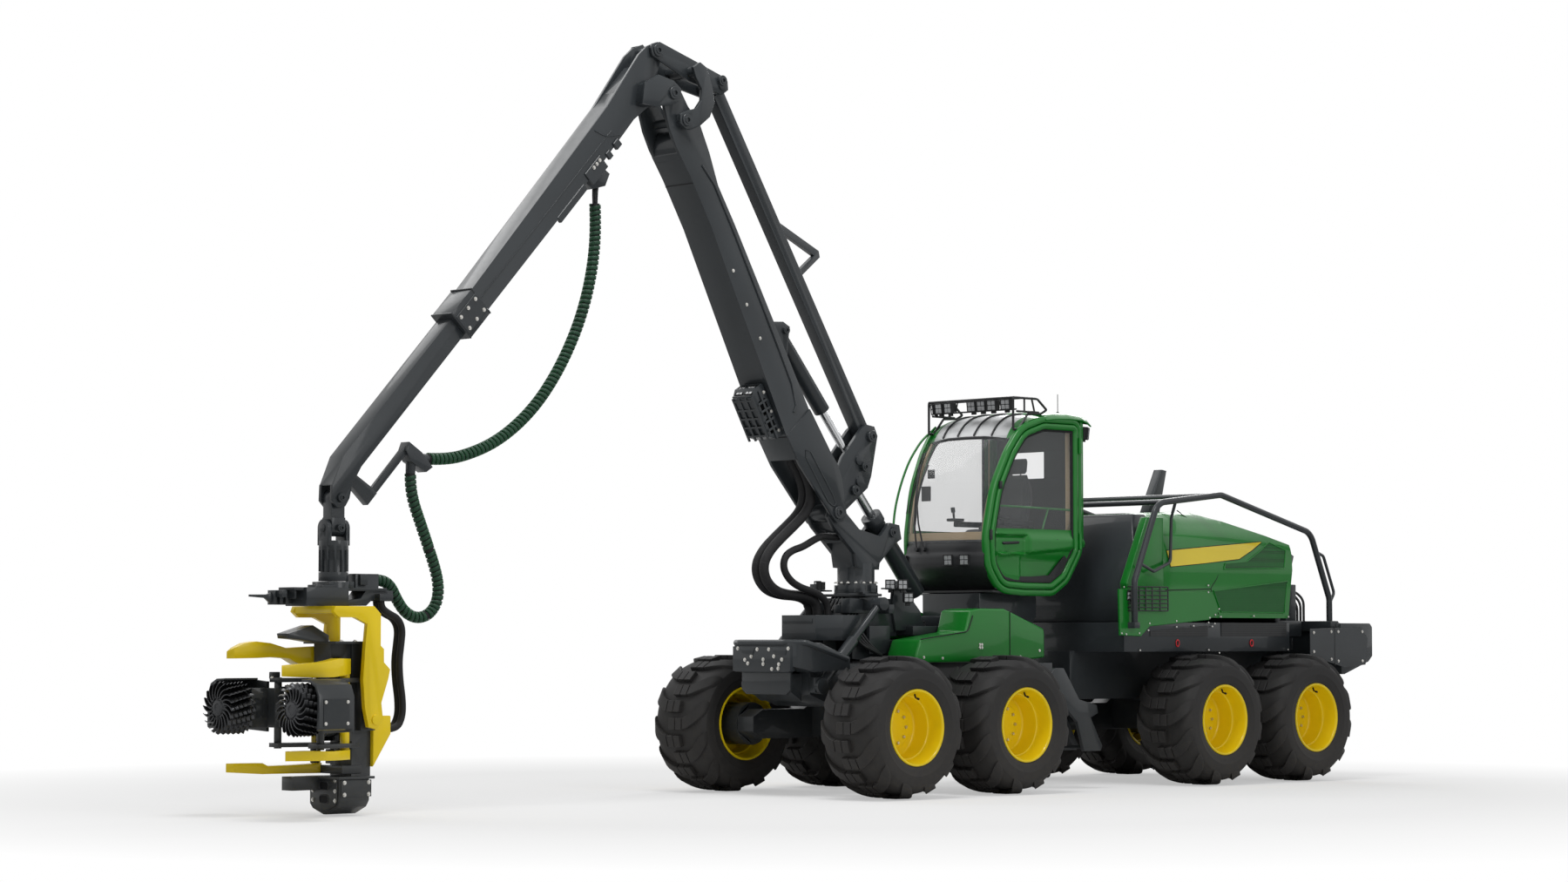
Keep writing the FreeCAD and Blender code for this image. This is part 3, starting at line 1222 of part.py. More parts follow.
def head_frame():
    """Spine between the tilt frame's legs, forks for knives and arms, the lid's wedge, and the saw box."""
    spine = box("head_spine", ("spine_rear", "spine_front"), ("-150", "150"), ("saw_top - 10", "spine_high"))
    hips = box("head_hips", ("tilt_pin_x - 60", "tilt_pin_x + 90"), ("-head_half", "head_half"),
               ("tilt_pin_z - 90", "tilt_pin_z + 330"))
    lid = box("head_lid", ("spine_rear - 10", "140"), ("-225", "225"), ("spine_high - 5", "spine_high + 15"))
    chest = box("head_chest", ("spine_front - 5", "110"), ("-chest_half", "chest_half"),
                ("fork_high + arm_plate / 2 - 5", "spine_high"))
    chest_window = prism("head_chest_window", "XZ", [
        ("0", "1215"), ("80", "1215"), ("95", "1235"), ("95", "1300"), ("80", "1320"), ("0", "1320"),
        ("-15", "1300"),
        ("-15", "1235")], "4 * chest_half")
    wedge = prism("head_wedge", "XZ", [
        ("60", "spine_high + 10"), ("60", "1505"), ("224", "1590"), ("469", "1520"), ("460", "1480"),
        ("341", "1470"),
        ("200", "spine_high + 10")], "170", "-60")
    outline = [("spine_front - 20", "-230"), ("spine_front - 20", "230"),
               ("arm_pin_x - 60", "arm_pin_y + 50"),
               ("arm_pin_x + 60", "arm_pin_y + 40"), ("arm_pin_x + 60", "arm_pin_y - 90"),
               ("150", "chest_half"),
               ("150", "-chest_half"), ("arm_pin_x + 60", "90 - arm_pin_y"),
               ("arm_pin_x + 60", "-arm_pin_y - 40"),
               ("arm_pin_x - 60", "-arm_pin_y - 50")]
    forks = [prism(f"head_fork_{name}", "XY", outline, "arm_plate", middle)
             for name, middle in (("low", "fork_low"), ("high", "fork_high"))]
    saw = prism("saw_column", "YZ", [
        ("saw_half", "saw_top"), ("saw_half", "130"), ("saw_half - 40", "75"), ("20", "saw_low"),
        ("-20", "saw_low"),
        ("40 - saw_half", "60"), ("-saw_half", "100"), ("-saw_half", "saw_top")], "saw_front - saw_rear",
        "(saw_front + saw_rear) / 2")
    saw_room = box("saw_room", ("saw_rear + 90", "saw_front + 1"), ("30 - saw_half", "saw_half - 30"),
                   ("155", "205"))
    brim = box("saw_brim", ("saw_rear - 40", "saw_front + 30"), ("-saw_half - 25", "saw_half + 25"),
               ("saw_top - 22", "saw_top"))
    bar_box = box("saw_bar_box", ("saw_front - 5", "saw_front + 290"), ("-saw_half", "-60"),
                  ("215", "saw_top"))
    bores = [pin("head_tilt_bore", "pin_radius", "2 * head_half", "tilt_pin_x", "tilt_pin_z")]
    for side_name, sign in (("left", ""), ("right", "-")):
        bores.append(rod(f"head_knife_bore_{side_name}", "knife_pin_radius + fit", "Z", "saw_top + 1",
                         "spine_high - 10",
                         x="knife_pin_x", y=f"{sign}knife_pin_y"))
        bores.append(rod(f"head_arm_bore_{side_name}", "arm_pin_radius + fit", "Z", "saw_top + 1",
                         "spine_high - 10",
                         x="arm_pin_x", y=f"{sign}arm_pin_y"))
    chest_cut = cut("head_chest_open", chest, chest_window)
    saw_cut = cut("saw_column_open", saw, saw_room)
    whole = fuse("head_frame_solid", [spine, hips, lid, chest_cut, wedge, saw_cut, brim, bar_box] + forks)
    return cut("head_frame_whole", whole, *bores)


node("head_frame", head_frame(), "tip_pin_x")

# Yellow foot of the head's back, where the hoses from the top frame arrive
sizes(foot_rear=-470, foot_half=190)
node("head_foot", prism("head_foot_form", "XZ", [
    ("spine_rear - fit", "830"), ("foot_rear", "830"), ("foot_rear", "675"), ("spine_rear - fit", "400")],
    "2 * foot_half"),
     "tip_pin_x")


def knife(name, sign, profile, length, reach):
    """A curved blade that sweeps forward round the stem from its upright hinge. profile is its side view."""
    def side(y):
        return f"{sign}({y})"
    outline = [("knife_pin_x - 55", side("knife_pin_y - 10")),
               ("knife_pin_x - 10", side("knife_pin_y - 55")),
               ("knife_pin_x + 70", side("knife_pin_y - 30")),
               ("knife_pin_x + 200", side("knife_pin_y + 45")),
               (f"{length} * 0.55", side(f"{reach} - 110")), (f"{length} * 0.8", side(f"{reach} - 95")),
               (f"{length}", side(f"{reach} - 70")), (f"{length} + 40", side(f"{reach} - 20")),
               (f"{length} * 0.8", side(f"{reach} + 10")), (f"{length} * 0.6", side(f"{reach} + 15")),
               ("knife_pin_x + 130", side(f"{reach} - 60")), ("knife_pin_x - 20", side("knife_pin_y + 52"))]
    heights = [z for _, z in profile]
    plan = prism(name + "_plan", "XY", outline, "knife_height", f"({max(heights)} + {min(heights)}) / 2")
    view = prism(name + "_view", "XZ", [(f"{px}", f"{pz}") for px, pz in profile], "1000")
    return common(name, plan, view)


UPPER_KNIFE_LEFT = [(-60, 1190), (-60, 1310), (200, 1315), (290, 1298), (384, 1286), (800, 1259),
                    (840, 1215), (800, 1171),
                    (533, 1160), (264, 1160)]
UPPER_KNIFE_RIGHT = [(-60, 1250), (-60, 1420), (146, 1408), (283, 1399), (419, 1441), (554, 1455),
                     (660, 1440),
                     (760, 1400), (860, 1325), (840, 1312), (553, 1316), (384, 1323), (260, 1312),
                     (180, 1264), (120, 1250)]
LOWER_KNIFE_LEFT = [(-60, 474), (-60, 555), (270, 549), (500, 560), (764, 560), (790, 520), (764, 480),
                    (269, 474)]
LOWER_KNIFE_RIGHT = [(-60, 350), (-60, 438), (200, 420), (440, 415), (493, 442), (893, 445), (920, 410),
                     (893, 376),
                     (493, 350)]


def knives(side_name, sign, upper_profile, lower_profile, upper_length, lower_length):
    upper = knife(f"knife_upper_{side_name}", sign, upper_profile, upper_length, "410")
    lower = knife(f"knife_lower_{side_name}", sign, lower_profile, lower_length, "400")
    shaft = rod(f"knife_shaft_{side_name}", "knife_pin_radius", "Z", f"{lower_profile[0][1]} + 10",
                f"{upper_profile[1][1]} - 10", x="knife_pin_x", y=f"{sign}knife_pin_y")
    return fuse(f"knives_{side_name}_whole", [upper, lower, shaft])


node("knives_left", knives("left", "", UPPER_KNIFE_LEFT, LOWER_KNIFE_LEFT, "760", "710"), "tip_pin_x")
node("knives_right", knives("right", "-", UPPER_KNIFE_RIGHT, LOWER_KNIFE_RIGHT, "760", "764"), "tip_pin_x")


def roller_arm(side_name, sign):
    """An arm from its upright pin out to the roller's motor, with the spindle that carries the roller."""
    def side(y):
        return f"{sign}({y})"
    end = "roller_x - roller_width / 2 - 12"
    outline = [("arm_pin_x - 30", side("arm_pin_y - 45")), ("arm_pin_x + 60", side("arm_pin_y - 40")),
               (f"{end} - 150", side("roller_y - 130")), (end, side("roller_y - 130")),
               (end, side("roller_y + 130")),
               (f"{end} - 190", side("roller_y + 130")), ("arm_pin_x - 40", side("arm_pin_y + 60"))]
    plate = prism(f"roller_arm_plate_{side_name}", "XY", outline, "arm_height", "arm_z")
    motor = rod(f"roller_motor_{side_name}", "140", "X", f"{end} - 190", end, y=side("roller_y"), z="arm_z")
    spindle = rod(f"roller_spindle_{side_name}", "roller_bore - fit", "X", f"{end} - 20",
                  "roller_x + roller_width / 2 - 20",
                  y=side("roller_y"), z="arm_z")
    shaft = rod(f"roller_arm_pin_{side_name}", "arm_pin_radius", "Z", "fork_low - arm_plate / 2 - 12",
                "fork_high + arm_plate / 2 + 4", x="arm_pin_x", y=side("arm_pin_y"))
    return fuse(f"roller_arm_{side_name}_whole", [plate, motor, spindle, shaft])


ROLLER_FINS = 18


def feed_roller(side_name):
    """A steel roller with radial fins, its axis along X."""
    drum = rod(f"roller_drum_{side_name}", "roller_radius - roller_fin", "X", "-roller_width / 2",
               "roller_width / 2")
    fins = []
    for k in range(ROLLER_FINS):
        turn = k * 360 / ROLLER_FINS
        fin = box(f"roller_fin_{side_name}_{k}", ("-roller_width / 2", "roller_width / 2"), ("-7", "7"),
                  ("80", "roller_radius"))
        fin.Placement = FreeCAD.Placement(V(), FreeCAD.Rotation(V(1, 0, 0), turn))
        fin.setExpression("Placement.Base.x", bound("-roller_width / 2"))
        fin.setExpression("Placement.Base.y", bound(f"-7 * cos({turn}) - 80 * sin({turn})"))
        fin.setExpression("Placement.Base.z", bound(f"-7 * sin({turn}) + 80 * cos({turn})"))
        fins.append(fin)
    bore = rod(f"roller_bore_{side_name}", "roller_bore", "X", "-roller_width / 2 - 1",
               "roller_width / 2 - 19")
    return cut(f"feed_roller_{side_name}_whole", fuse(f"feed_roller_{side_name}_solid", [drum] + fins), bore)


for side_name, sign in (("left", ""), ("right", "-")):
    node(f"roller_arm_{side_name}", roller_arm(side_name, sign), "tip_pin_x")
    node(f"feed_roller_{side_name}", feed_roller(side_name), "tip_pin_x + roller_x", f"{sign}roller_y",
         "arm_z")

# ---------------------------------------------------------------------------------------------
# Front hood: green covers each side of the cab's mount
# ---------------------------------------------------------------------------------------------
sizes(
    cover_front=-700,
    cover_low=1250,
    cover_top=1768,
    cover_rear=-2520,
    cover_outer=790,
)
fits(cover_inner=size["frame_half_width"] + size["fit"])


def front_hood():
    side = [("cover_front", "cover_low"), ("cover_front", "1330"), ("cover_front - 60", "1465"),
            ("-1380", "1540"),
            ("-1442", "cover_top - 20"), ("-1565", "cover_top"), ("-1938", "cover_top"),
            ("cover_rear + 10", "1575"),
            ("cover_rear", "1530"), ("cover_rear", "cover_low + 40"), ("-2011", "cover_low")]
    cover = prism("front_cover", "XZ", side, "cover_outer - cover_inner", "(cover_outer + cover_inner) / 2")
    return group("front_hood_pair", both_sides("front_cover", cover))


node("front_hood", front_hood())

# Cab mount: a pedestal on the front frame
sizes(mount_front=-2010, mount_rear=-2840, mount_half=390, cab_floor=1925)
fits(mount_high=size["cab_floor"] - size["fit"])


def cab_mount():
    return prism("mount_legs", "XZ", [
        ("mount_rear + 300", "frame_high + fit"), ("mount_rear", "mount_high - 220"),
        ("mount_rear", "mount_high"),
        ("mount_front", "mount_high"), ("mount_front", "frame_high + fit")], "2 * mount_half")


node("cab_mount", cab_mount())

# ---------------------------------------------------------------------------------------------
# Cab: a hollow shell, with windows cut through and a door in its left side
# ---------------------------------------------------------------------------------------------
sizes(
    cab_wall=45,
    cab_half=620,
    cab_front_half=545,
    cab_nose=-1880,
    cab_rear=-3320,
    cab_roof=3760,
    cab_corner_x=-2350,
    door_gap=6,
    pane=10,
)


def cab_solid(name, inset):
    """The cab's outer form, moved in by inset all round."""
    side = [
        (f"cab_nose - 90 - {inset}", f"2050 + {inset} * 0.6"), (f"cab_nose - {inset}", f"2420"),
        (f"-2290 - {inset}", f"3520"), (f"-2350 - {inset} * 0.6", f"3670 - {inset}"),
        (f"-3100", f"cab_roof - 30 - {inset}"), (f"cab_rear + 60 + {inset}", f"cab_roof - {inset}"),
        (f"cab_rear + {inset}", f"cab_roof - 70 - {inset}"),
        (f"cab_rear + {inset}", f"2480 + {inset} * 0.4"),
        (f"cab_rear + 190 + {inset}", f"2240 + {inset} * 0.4"),
        (f"-2790 + {inset} * 0.5", f"cab_floor + {inset}"),
        (f"-2270 - {inset} * 0.5", f"cab_floor + {inset}")]
    plan = [
        (f"cab_nose + 5 - {inset}", f"-cab_front_half + {inset}"),
        (f"cab_nose + 5 - {inset}", f"cab_front_half - {inset}"),
        (f"cab_corner_x", f"cab_half - {inset}"), (f"cab_rear + {inset}", f"cab_half - {inset}"),
        (f"cab_rear + {inset}", f"-cab_half + {inset}"), (f"cab_corner_x", f"-cab_half + {inset}")]
    return common(name, prism(name + "_side", "XZ", side, "2 * cab_half"),
                  prism(name + "_plan", "XY", plan, "2200", "2900"))


def door_outline(inset):
    """The D of the door, in side view: an upright rear edge and a round front and foot."""
    return [
        (f"-3215 + {inset}", f"2330"), (f"-3215 + {inset}", f"3560 - {inset}"),
        (f"-3150 + {inset}", f"3625 - {inset}"),
        (f"-2660", f"3610 - {inset}"), (f"-2420 - {inset} * 0.5", f"3540 - {inset}"),
        (f"-2230 - {inset}", f"3310"),
        (f"-2060 - {inset}", f"2960"), (f"-1965 - {inset}", f"2480"), (f"-2000 - {inset}", f"2180"),
        (f"-2120 - {inset} * 0.6", f"2010 + {inset} * 0.6"), (f"-2330", f"1965 + {inset}"),
        (f"-2790", f"1965 + {inset}"),
        (f"-2990 + {inset} * 0.5", f"2060 + {inset} * 0.6")]


def side_window(inset):
    return [
        (f"-3150 + {inset}", f"2560 + {inset}"), (f"-3150 + {inset}", f"3500 - {inset}"),
        (f"-2650", f"3540 - {inset}"),
        (f"-2430 - {inset} * 0.6", f"3470 - {inset}"), (f"-2280 - {inset}", f"3280"),
        (f"-2130 - {inset}", f"2950"),
        (f"-2050 - {inset}", f"2560 + {inset}")]


def front_window(inset):
    return [(f"-490 + {inset}", f"2470 + {inset}"), (f"490 - {inset}", f"2470 + {inset}"),
            (f"490 - {inset}", f"3480 - {inset}"),
            (f"-490 + {inset}", f"3480 - {inset}")]


def cab_shell():
    hollow = cut("cab_hollow", cab_solid("cab_outer", "0"), cab_solid("cab_inner", "cab_wall"))
    door_hole = prism("cab_door_hole", "XZ", door_outline("0"), "200", "cab_half")
    right_hole = prism("cab_right_window", "XZ", side_window("0"), "200", "-cab_half")
    front_hole = prism("cab_front_window", "YZ", front_window("0"), "700", "-2100")
    rear_hole = prism("cab_rear_window", "YZ", front_window("20"), "200", "cab_rear")
    roof_hole = box("cab_roof_window", ("-2960", "-2450"), ("-430", "430"), ("3600", "3800"))
    rack = box("roof_rack", ("-2760", "-2300"), ("-570", "570"), ("3740", "3870"))
    rack_room = box("roof_rack_room", ("-2761", "-2340"), ("-530", "530"), ("3700", "3900"))
    rack_open = cut("roof_rack_open", rack, rack_room)
    legs = [box(f"rack_leg_{k}", ("-2740", "-2690"), (y, f"{y} + 40"), ("3690", "3760"))
            for k, y in enumerate(("-560", "520"))]
    front_legs = [box(f"rack_front_leg_{k}", ("-2420", "-2310"), (y, f"{y} + 40"), ("3600", "3760"))
                  for k, y in enumerate(("-560", "520"))]
    lamps = [box(f"rack_lamp_{k}", ("-2345", "-2270"), (f"{-480 + 190 * k}", f"{-480 + 190 * k + 120}"),
                 ("3755", "3860"))
             for k in range(6)]
    knuckles = [rod(f"cab_knuckle_{k}", "18", "Z", low, high, x="-3225", y="cab_half + 22")
                for k, (low, high) in enumerate((("2370", "2420 - fit"), ("3330", "3380 - fit")))]
    knuckle_pads = [box(f"cab_knuckle_pad_{k}", ("-3243", "-3216"), ("cab_half - 10", "cab_half + 22"),
                        (low, high))
                    for k, (low, high) in enumerate((("2370", "2420 - fit"), ("3330", "3380 - fit")))]
    shell = cut("cab_cut", hollow, door_hole, right_hole, front_hole, rear_hole, roof_hole)
    return fuse("cab_shell_whole", [shell, rack_open] + legs + front_legs + lamps + knuckles + knuckle_pads)


node("cab_shell", cab_shell())


def door():
    """The left wall within the door's outline, less its window."""
    hollow = cut("door_wall", cab_solid("door_outer", "0"), cab_solid("door_inner", "cab_wall"))
    outline = prism("door_form", "XZ", door_outline("door_gap"), "180", "cab_half")
    window = prism("door_window", "XZ", side_window("0"), "400", "cab_half")
    hinges = [rod(f"door_hinge_{k}", "18", "Z", z, f"{z} + 110", x="-3225", y="cab_half + 22")
              for k, z in enumerate(("2420", "3380"))]
    straps = [box(f"door_strap_{k}", ("-3225", "-3140"), ("cab_half + 3", "cab_half + 30"),
                  (f"{z} + 20", f"{z} + 90"))
              for k, z in enumerate(("2420", "3380"))]
    pads = [box(f"door_pad_{k}", ("-3200", "-3140"), ("cab_half - 10", "cab_half + 5"),
                (f"{z} + 20", f"{z} + 90"))
            for k, z in enumerate(("2420", "3380"))]
    return cut("door_whole",
               fuse("door_solid", [common("door_panel", hollow, outline)] + hinges + straps + pads), window)


node("door", door())


def pane_ring(name, start):
    """A thin skin inside the cab's wall, start millimetres in from its outer face."""
    return cut(name, cab_solid(name + "_a", start), cab_solid(name + "_b", f"({start} + pane)"))


def door_glass():
    return common("door_glass_whole", pane_ring("door_pane_ring", "15"),
                  prism("door_pane_form", "XZ", side_window("fit"), "160", "cab_half"))


node("door_glass", door_glass())


def cab_glass():
    right = common("right_pane", pane_ring("right_pane_ring", "15"),
                   prism("right_pane_form", "XZ", side_window("fit"), "160", "-cab_half"))
    front = common("front_pane", pane_ring("front_pane_ring", "15"),
                   prism("front_pane_form", "YZ", front_window("fit"), "700", "-2100"))
    rear = common("rear_pane", pane_ring("rear_pane_ring", "15"),
                  prism("rear_pane_form", "YZ", front_window("(20 + fit)"), "180", "cab_rear"))
    roof = common("roof_pane", pane_ring("roof_pane_ring", "15"),
                  box("roof_pane_form", ("-2960 + fit", "-2450 - fit"), ("-430 + fit", "430 - fit"),
                      ("3600", "3800")))
    return group("cab_glass_whole", [right, front, rear, roof])


node("cab_glass", cab_glass())


def seat():
    cushion = box("seat_cushion", ("-2900", "-2400"), ("-260", "260"), ("2420", "2540"))
    back = prism("seat_back", "XZ",
                 [("-2930", "2500"), ("-2820", "2500"), ("-2900", "3130"), ("-3010", "3130")], "480")
    head = prism("seat_head", "XZ",
                 [("-2990", "3120"), ("-2910", "3120"), ("-2935", "3300"), ("-3010", "3300")], "280")
    base = box("seat_base", ("-2720", "-2480"), ("-150", "150"), ("cab_floor + cab_wall + fit", "2430"))
    arms = [box(f"seat_arm_{k}", ("-2860", "-2430"), (y, f"{y} + 80"), ("2600", "2660")) for k,
            y in enumerate(("-340", "260"))]
    arm_posts = [box(f"seat_arm_post_{k}", ("-2860", "-2790"), (y, f"{y} + 110"), ("2440", "2610"))
                 for k, y in enumerate(("-340", "230"))]
    return fuse("seat_whole", [cushion, back, head, base] + arms + arm_posts)


node("seat", seat())

# ---------------------------------------------------------------------------------------------
# Rear frame, with the steering tongue, and the sheet-metal skirt
# ---------------------------------------------------------------------------------------------
sizes(
    rear_frame_front=-3330,
    rear_frame_end=-6700,
    tongue_half=230,
    skirt_low=1345,
    skirt_high=1640,
    skirt_half=1060,
    skirt_front=-3400,
    skirt_rear=-6060,
    rear_deck=1640,
    rail_y=1130,
    tow_reach=230,
    tow_low=900,
    tow_plate=50,
    tow_bore_radius=26,
)


def rear_frame():
    spine = box("rear_spine", ("rear_frame_end", "rear_frame_front"),
                ("-frame_half_width", "frame_half_width"),
                ("frame_low + 30", "skirt_low + 10"))
    saddle = box("rear_saddle",
                 ("rear_bogie_x - bogie_base / 2 - 230", "rear_bogie_x - bogie_base / 2 + 230"),
                 ("-frame_half_width", "frame_half_width"),
                 ("axle_height + axle_half_height + fit", "frame_low + 35"))
    tongue_low = "frame_low + 60 + fork_plate + 2"
    tongue_high = "frame_high - fork_plate - 2"
    tongue = box("rear_tongue", ("rear_frame_front - 5", "steer_pin_x"),
                 ("-tongue_half + 60", "tongue_half - 60"),
                 (tongue_low, tongue_high))
    tongue_eye = rod("rear_tongue_eye", "tongue_half - 40", "Z", tongue_low, tongue_high, x="steer_pin_x")
    steer_pin = rod("steer_pin", "steer_pin_radius - fit", "Z", "frame_low + 62", "frame_high + 25",
                    x="steer_pin_x")
    deck = box("rear_deck_box", ("skirt_rear", "skirt_front"), ("-skirt_half", "skirt_half"),
               ("skirt_low", "skirt_high"))
    feet = [box(f"rail_foot_{side}", ("-3520", "-3440"), (low, high), ("skirt_high - 60", "rear_deck"))
            for side, low, high in (("left", "skirt_half - 10", "rail_y + 35"),
                                    ("right", "-rail_y - 35", "10 - skirt_half"))]
    tow = box("tow_lug", ("rear_frame_end - tow_reach", "rear_frame_end + 5"), ("-110", "110"),
              ("tow_low", "tow_low + tow_plate"))
    tow_bore = rod("tow_bore", "tow_bore_radius", "Z", "tow_low - 1", "tow_low + tow_plate + 1",
                   x="rear_frame_end - tow_reach + 90")
    return cut("rear_frame_whole", fuse("rear_frame_solid", [spine, saddle, tongue, tongue_eye, steer_pin,
                                                             deck, tow] + feet), tow_bore)


node("rear_frame", rear_frame())

# Shroud: the dark front wall of the engine bay, leaning back behind the cab
sizes(
    shroud_low_x=-3500,
    shroud_high_x=-3840,
    shroud_high=2740,
    shroud_half=940,
    shroud_top_half=800,
    hood_wall=30,
)


def shroud():
    side = prism("shroud_side", "XZ", [
        ("shroud_low_x", "rear_deck + fit"), ("shroud_low_x", "2030"),
        ("shroud_high_x + 30", "shroud_high - 40"),
        ("shroud_high_x - 10", "shroud_high"), ("shroud_high_x - 200", "shroud_high"),
        ("shroud_high_x - 200", "rear_deck + fit")],
        "2 * shroud_half")
    front = prism("shroud_front", "YZ", [
        ("-shroud_half", "1600"), ("shroud_half", "1600"), ("shroud_half", "2450"),
        ("shroud_top_half", "shroud_high"),
        ("-shroud_top_half", "shroud_high"), ("-shroud_half", "2450")], "2000", "-3800")
    room = box("shroud_room", ("shroud_high_x - 201", "shroud_low_x - 120"),
               ("-shroud_half + hood_wall", "shroud_half - hood_wall"),
               ("rear_deck - 1", "2000"))
    return cut("shroud_whole", common("shroud_form", side, front), room)


node("shroud", shroud())

# Rear hood: faceted green sheet metal over the engine
sizes(
    hood_front=-4045,
    hood_rear=-6050,
    hood_low=1700,
    hood_half=1050,
    hood_top_half=640,
    hood_crest=2790,
)


def hood():
    side = [
        ("hood_front", "hood_low"), ("hood_front", "2752"), ("-4900", "hood_crest"),
        ("hood_rear - 100", "2470"),
        ("hood_rear", "hood_low"), ("-5400", "hood_low - 20")]
    section = [
        ("-hood_half", "1600"), ("hood_half", "1600"), ("hood_half", "2230"), ("hood_half - 50", "2430"),
        ("hood_top_half + 140", "hood_crest - 110"), ("hood_top_half", "hood_crest"),
        ("-hood_top_half", "hood_crest"),
        ("-hood_top_half - 140", "hood_crest - 110"), ("50 - hood_half", "2430"), ("-hood_half", "2230")]
    outer = common("hood_form", prism("hood_side", "XZ", side, "2 * hood_half"),
                   prism("hood_section", "YZ", section, "3000", "-5000"))
    room = box("hood_room", ("hood_rear + 60", "hood_front + 1"),
               ("-hood_half + hood_wall", "hood_half - hood_wall"),
               ("hood_low - 30", "2200"))
    room_top = box("hood_room_top", ("-5200", "hood_front + 1"), ("-hood_top_half", "hood_top_half"),
                   ("2190", "2640"))
    return cut("hood_whole", outer, room, room_top)


node("hood", hood())


def hood_bezels():
    """Green corner strips beside the shroud, from the deck up to the hood's front edge."""
    side = [("shroud_low_x - 60", "rear_deck + fit"), ("shroud_low_x + 30", "2030"),
            ("shroud_high_x + 50", "2700"),
            ("hood_front + fit", "2700"), ("hood_front + fit", "rear_deck + fit")]
    strip = prism("bezel_side", "XZ", side, "100", "shroud_half + 50 + fit")
    return group("hood_bezel_pair", both_sides("bezel_side", strip))


node("hood_bezels", hood_bezels())

# Rear end cover: the dark wall behind the hood
sizes(end_rear=-6380, end_half=880)


def end_cover():
    side = prism("end_side", "XZ", [
        ("hood_rear - fit", "rear_deck + 20"), ("hood_rear - 100 - fit", "2465"), ("end_rear", "2350"),
        ("end_rear + 250", "rear_deck + 20")],
        "2 * end_half")
    foot = box("end_foot", ("-6500", "skirt_rear - fit"), ("-end_half", "end_half"),
               ("1500", "rear_deck + 25"))
    return fuse("end_cover_whole", [side, foot])


node("end_cover", end_cover())

# Engine: one block behind the shroud, on the rear frame's deck
sizes(engine_front=-4200, engine_rear=-5500, engine_half=380, engine_high=2150)
node("engine", box("engine_block", ("engine_rear", "engine_front"), ("-engine_half", "engine_half"),
                   ("rear_deck + fit", "engine_high")))

# Exhaust fin on the hood
sizes(stack_x=-5050, stack_high=3260, stack_half=55)


def stack():
    blade = prism("stack_blade", "XZ", [
        ("stack_x - 90", "hood_crest - 60"), ("stack_x - 230", "stack_high - 10"),
        ("stack_x - 150", "stack_high"),
        ("stack_x + 120", "hood_crest - 60")], "2 * stack_half")
    form = prism("stack_hood_cut", "XZ", [
        ("-4900", "hood_crest + fit"), ("hood_rear - 100", "2470 + fit"), ("hood_rear - 100", "2000"),
        ("hood_front", "2000"),
        ("hood_front", "2752 + fit")], "400")
    return cut("stack_whole", blade, form)


node("stack", stack())

# Guard rails round the hood: bent tubes each side and a tube across the front
sizes(rail_radius=32, tail_pad_high=1664)


def guard_rails():
    y = size["rail_y"]
    deck = size["rear_deck"] + size["fit"]
    main = [V(-3480, y, deck), V(-3480, y, 2050), V(-3840, y, 2840), V(-4850, y, 2950), V(-6340, y, 2590),
            V(-6655, y, 1900), V(-6655, y, size["tail_pad_high"] + size["fit"])]
    side = tube(main, size["rail_radius"], [120, 200, 200, 200, 120])
    bow = tube([V(-4130, y, 2870), V(-4130, y - 60, 2700), V(-4110, y - 60, 2250), V(-3790, y - 10, 2150),
                V(-3560, y, 2230)],
               16, [60, 60, 60])
    grip = tube([V(-6430, y, 2395), V(-6560, y, 2350), V(-6740, y, 1960), V(-6655, y, 1840)], 16, [60, 60])
    across = Part.makeCylinder(size["rail_radius"] - 4, 2 * y, V(-3960, -y, 2853), V(0, 1, 0))
    brace = Part.makeCylinder(size["rail_radius"] - 4, 2 * y, V(-4780, -y, 2943), V(0, 1, 0))
    left = side.fuse([bow, grip])
    right = left.mirror(V(), V(0, 1, 0))
    return shaped("guard_rails_tubes", left.fuse([right, across, brace]))


node("guard_rails", guard_rails())

# Tail box across the rear
sizes(tail_front=-6705, tail_rear=-7250, tail_half=1250, tail_low=1100, tail_high=1640)


def tail_box():
    side = [("tail_front", "tail_low"), ("tail_front", "tail_high"), ("tail_rear + 40", "tail_high"),
            ("tail_rear", "tail_high - 40"),
            ("tail_rear", "tail_low + 190"), ("tail_rear + 70", "tail_low + 130"),
            ("tail_front - 60", "tail_low")]
    whole = prism("tail_form", "XZ", side, "2 * tail_half")
    shelf = box("tail_shelf", ("tail_front - 5", "-6090"),
                ("-frame_half_width - 200", "frame_half_width + 200"),
                ("skirt_low + 10 + fit", "1490"))
    pad = box("tail_rail_pad", ("-6740", "-6610"), ("-tail_half + 60", "tail_half - 60"),
              ("1560", "tail_pad_high"))
    return fuse("tail_box_whole", [whole, shelf, pad])


node("tail_box", tail_box())

# Steps: the step box beside the cab, its rail, and the ladder below
sizes(step_rear=-2550, step_in=400, step_out=860, step_top=1240, step_low=1040)


def steps():
    plate_box = box("step_box", ("step_rear", "-2240"), ("step_in + fit", "step_out"),
                    ("step_low", "step_top"))
    ladder_side = [("-2330", "1060"), ("-2430", "1190"), ("-2560", "1190"), ("-2790", "880"),
                   ("-3050", "820"), ("-3070", "740"),
                   ("-2960", "700"), ("-3130", "420"), ("-3110", "370"), ("-2860", "370"), ("-2760", "660"),
                   ("-2640", "760")]
    outer = prism("ladder_outer", "XZ", ladder_side, "40", "step_out + 120")
    inner = prism("ladder_inner", "XZ", ladder_side, "40", "step_out - 200")
    treads = [box(f"ladder_tread_{k}", (x, f"{x} + 160"), ("step_out - 190", "step_out + 110"),
                  (z, f"{z} + 30"))
              for k, (x, z) in enumerate((("-3040", "390"), ("-2900", "740"), ("-2560", "1080")))]
    bridge = box("ladder_bridge", ("-2540", "-2350"), ("step_out - 215", "step_out + 135"), ("1070", "1180"))
    return fuse("steps_whole", [plate_box, outer, inner, bridge] + treads)


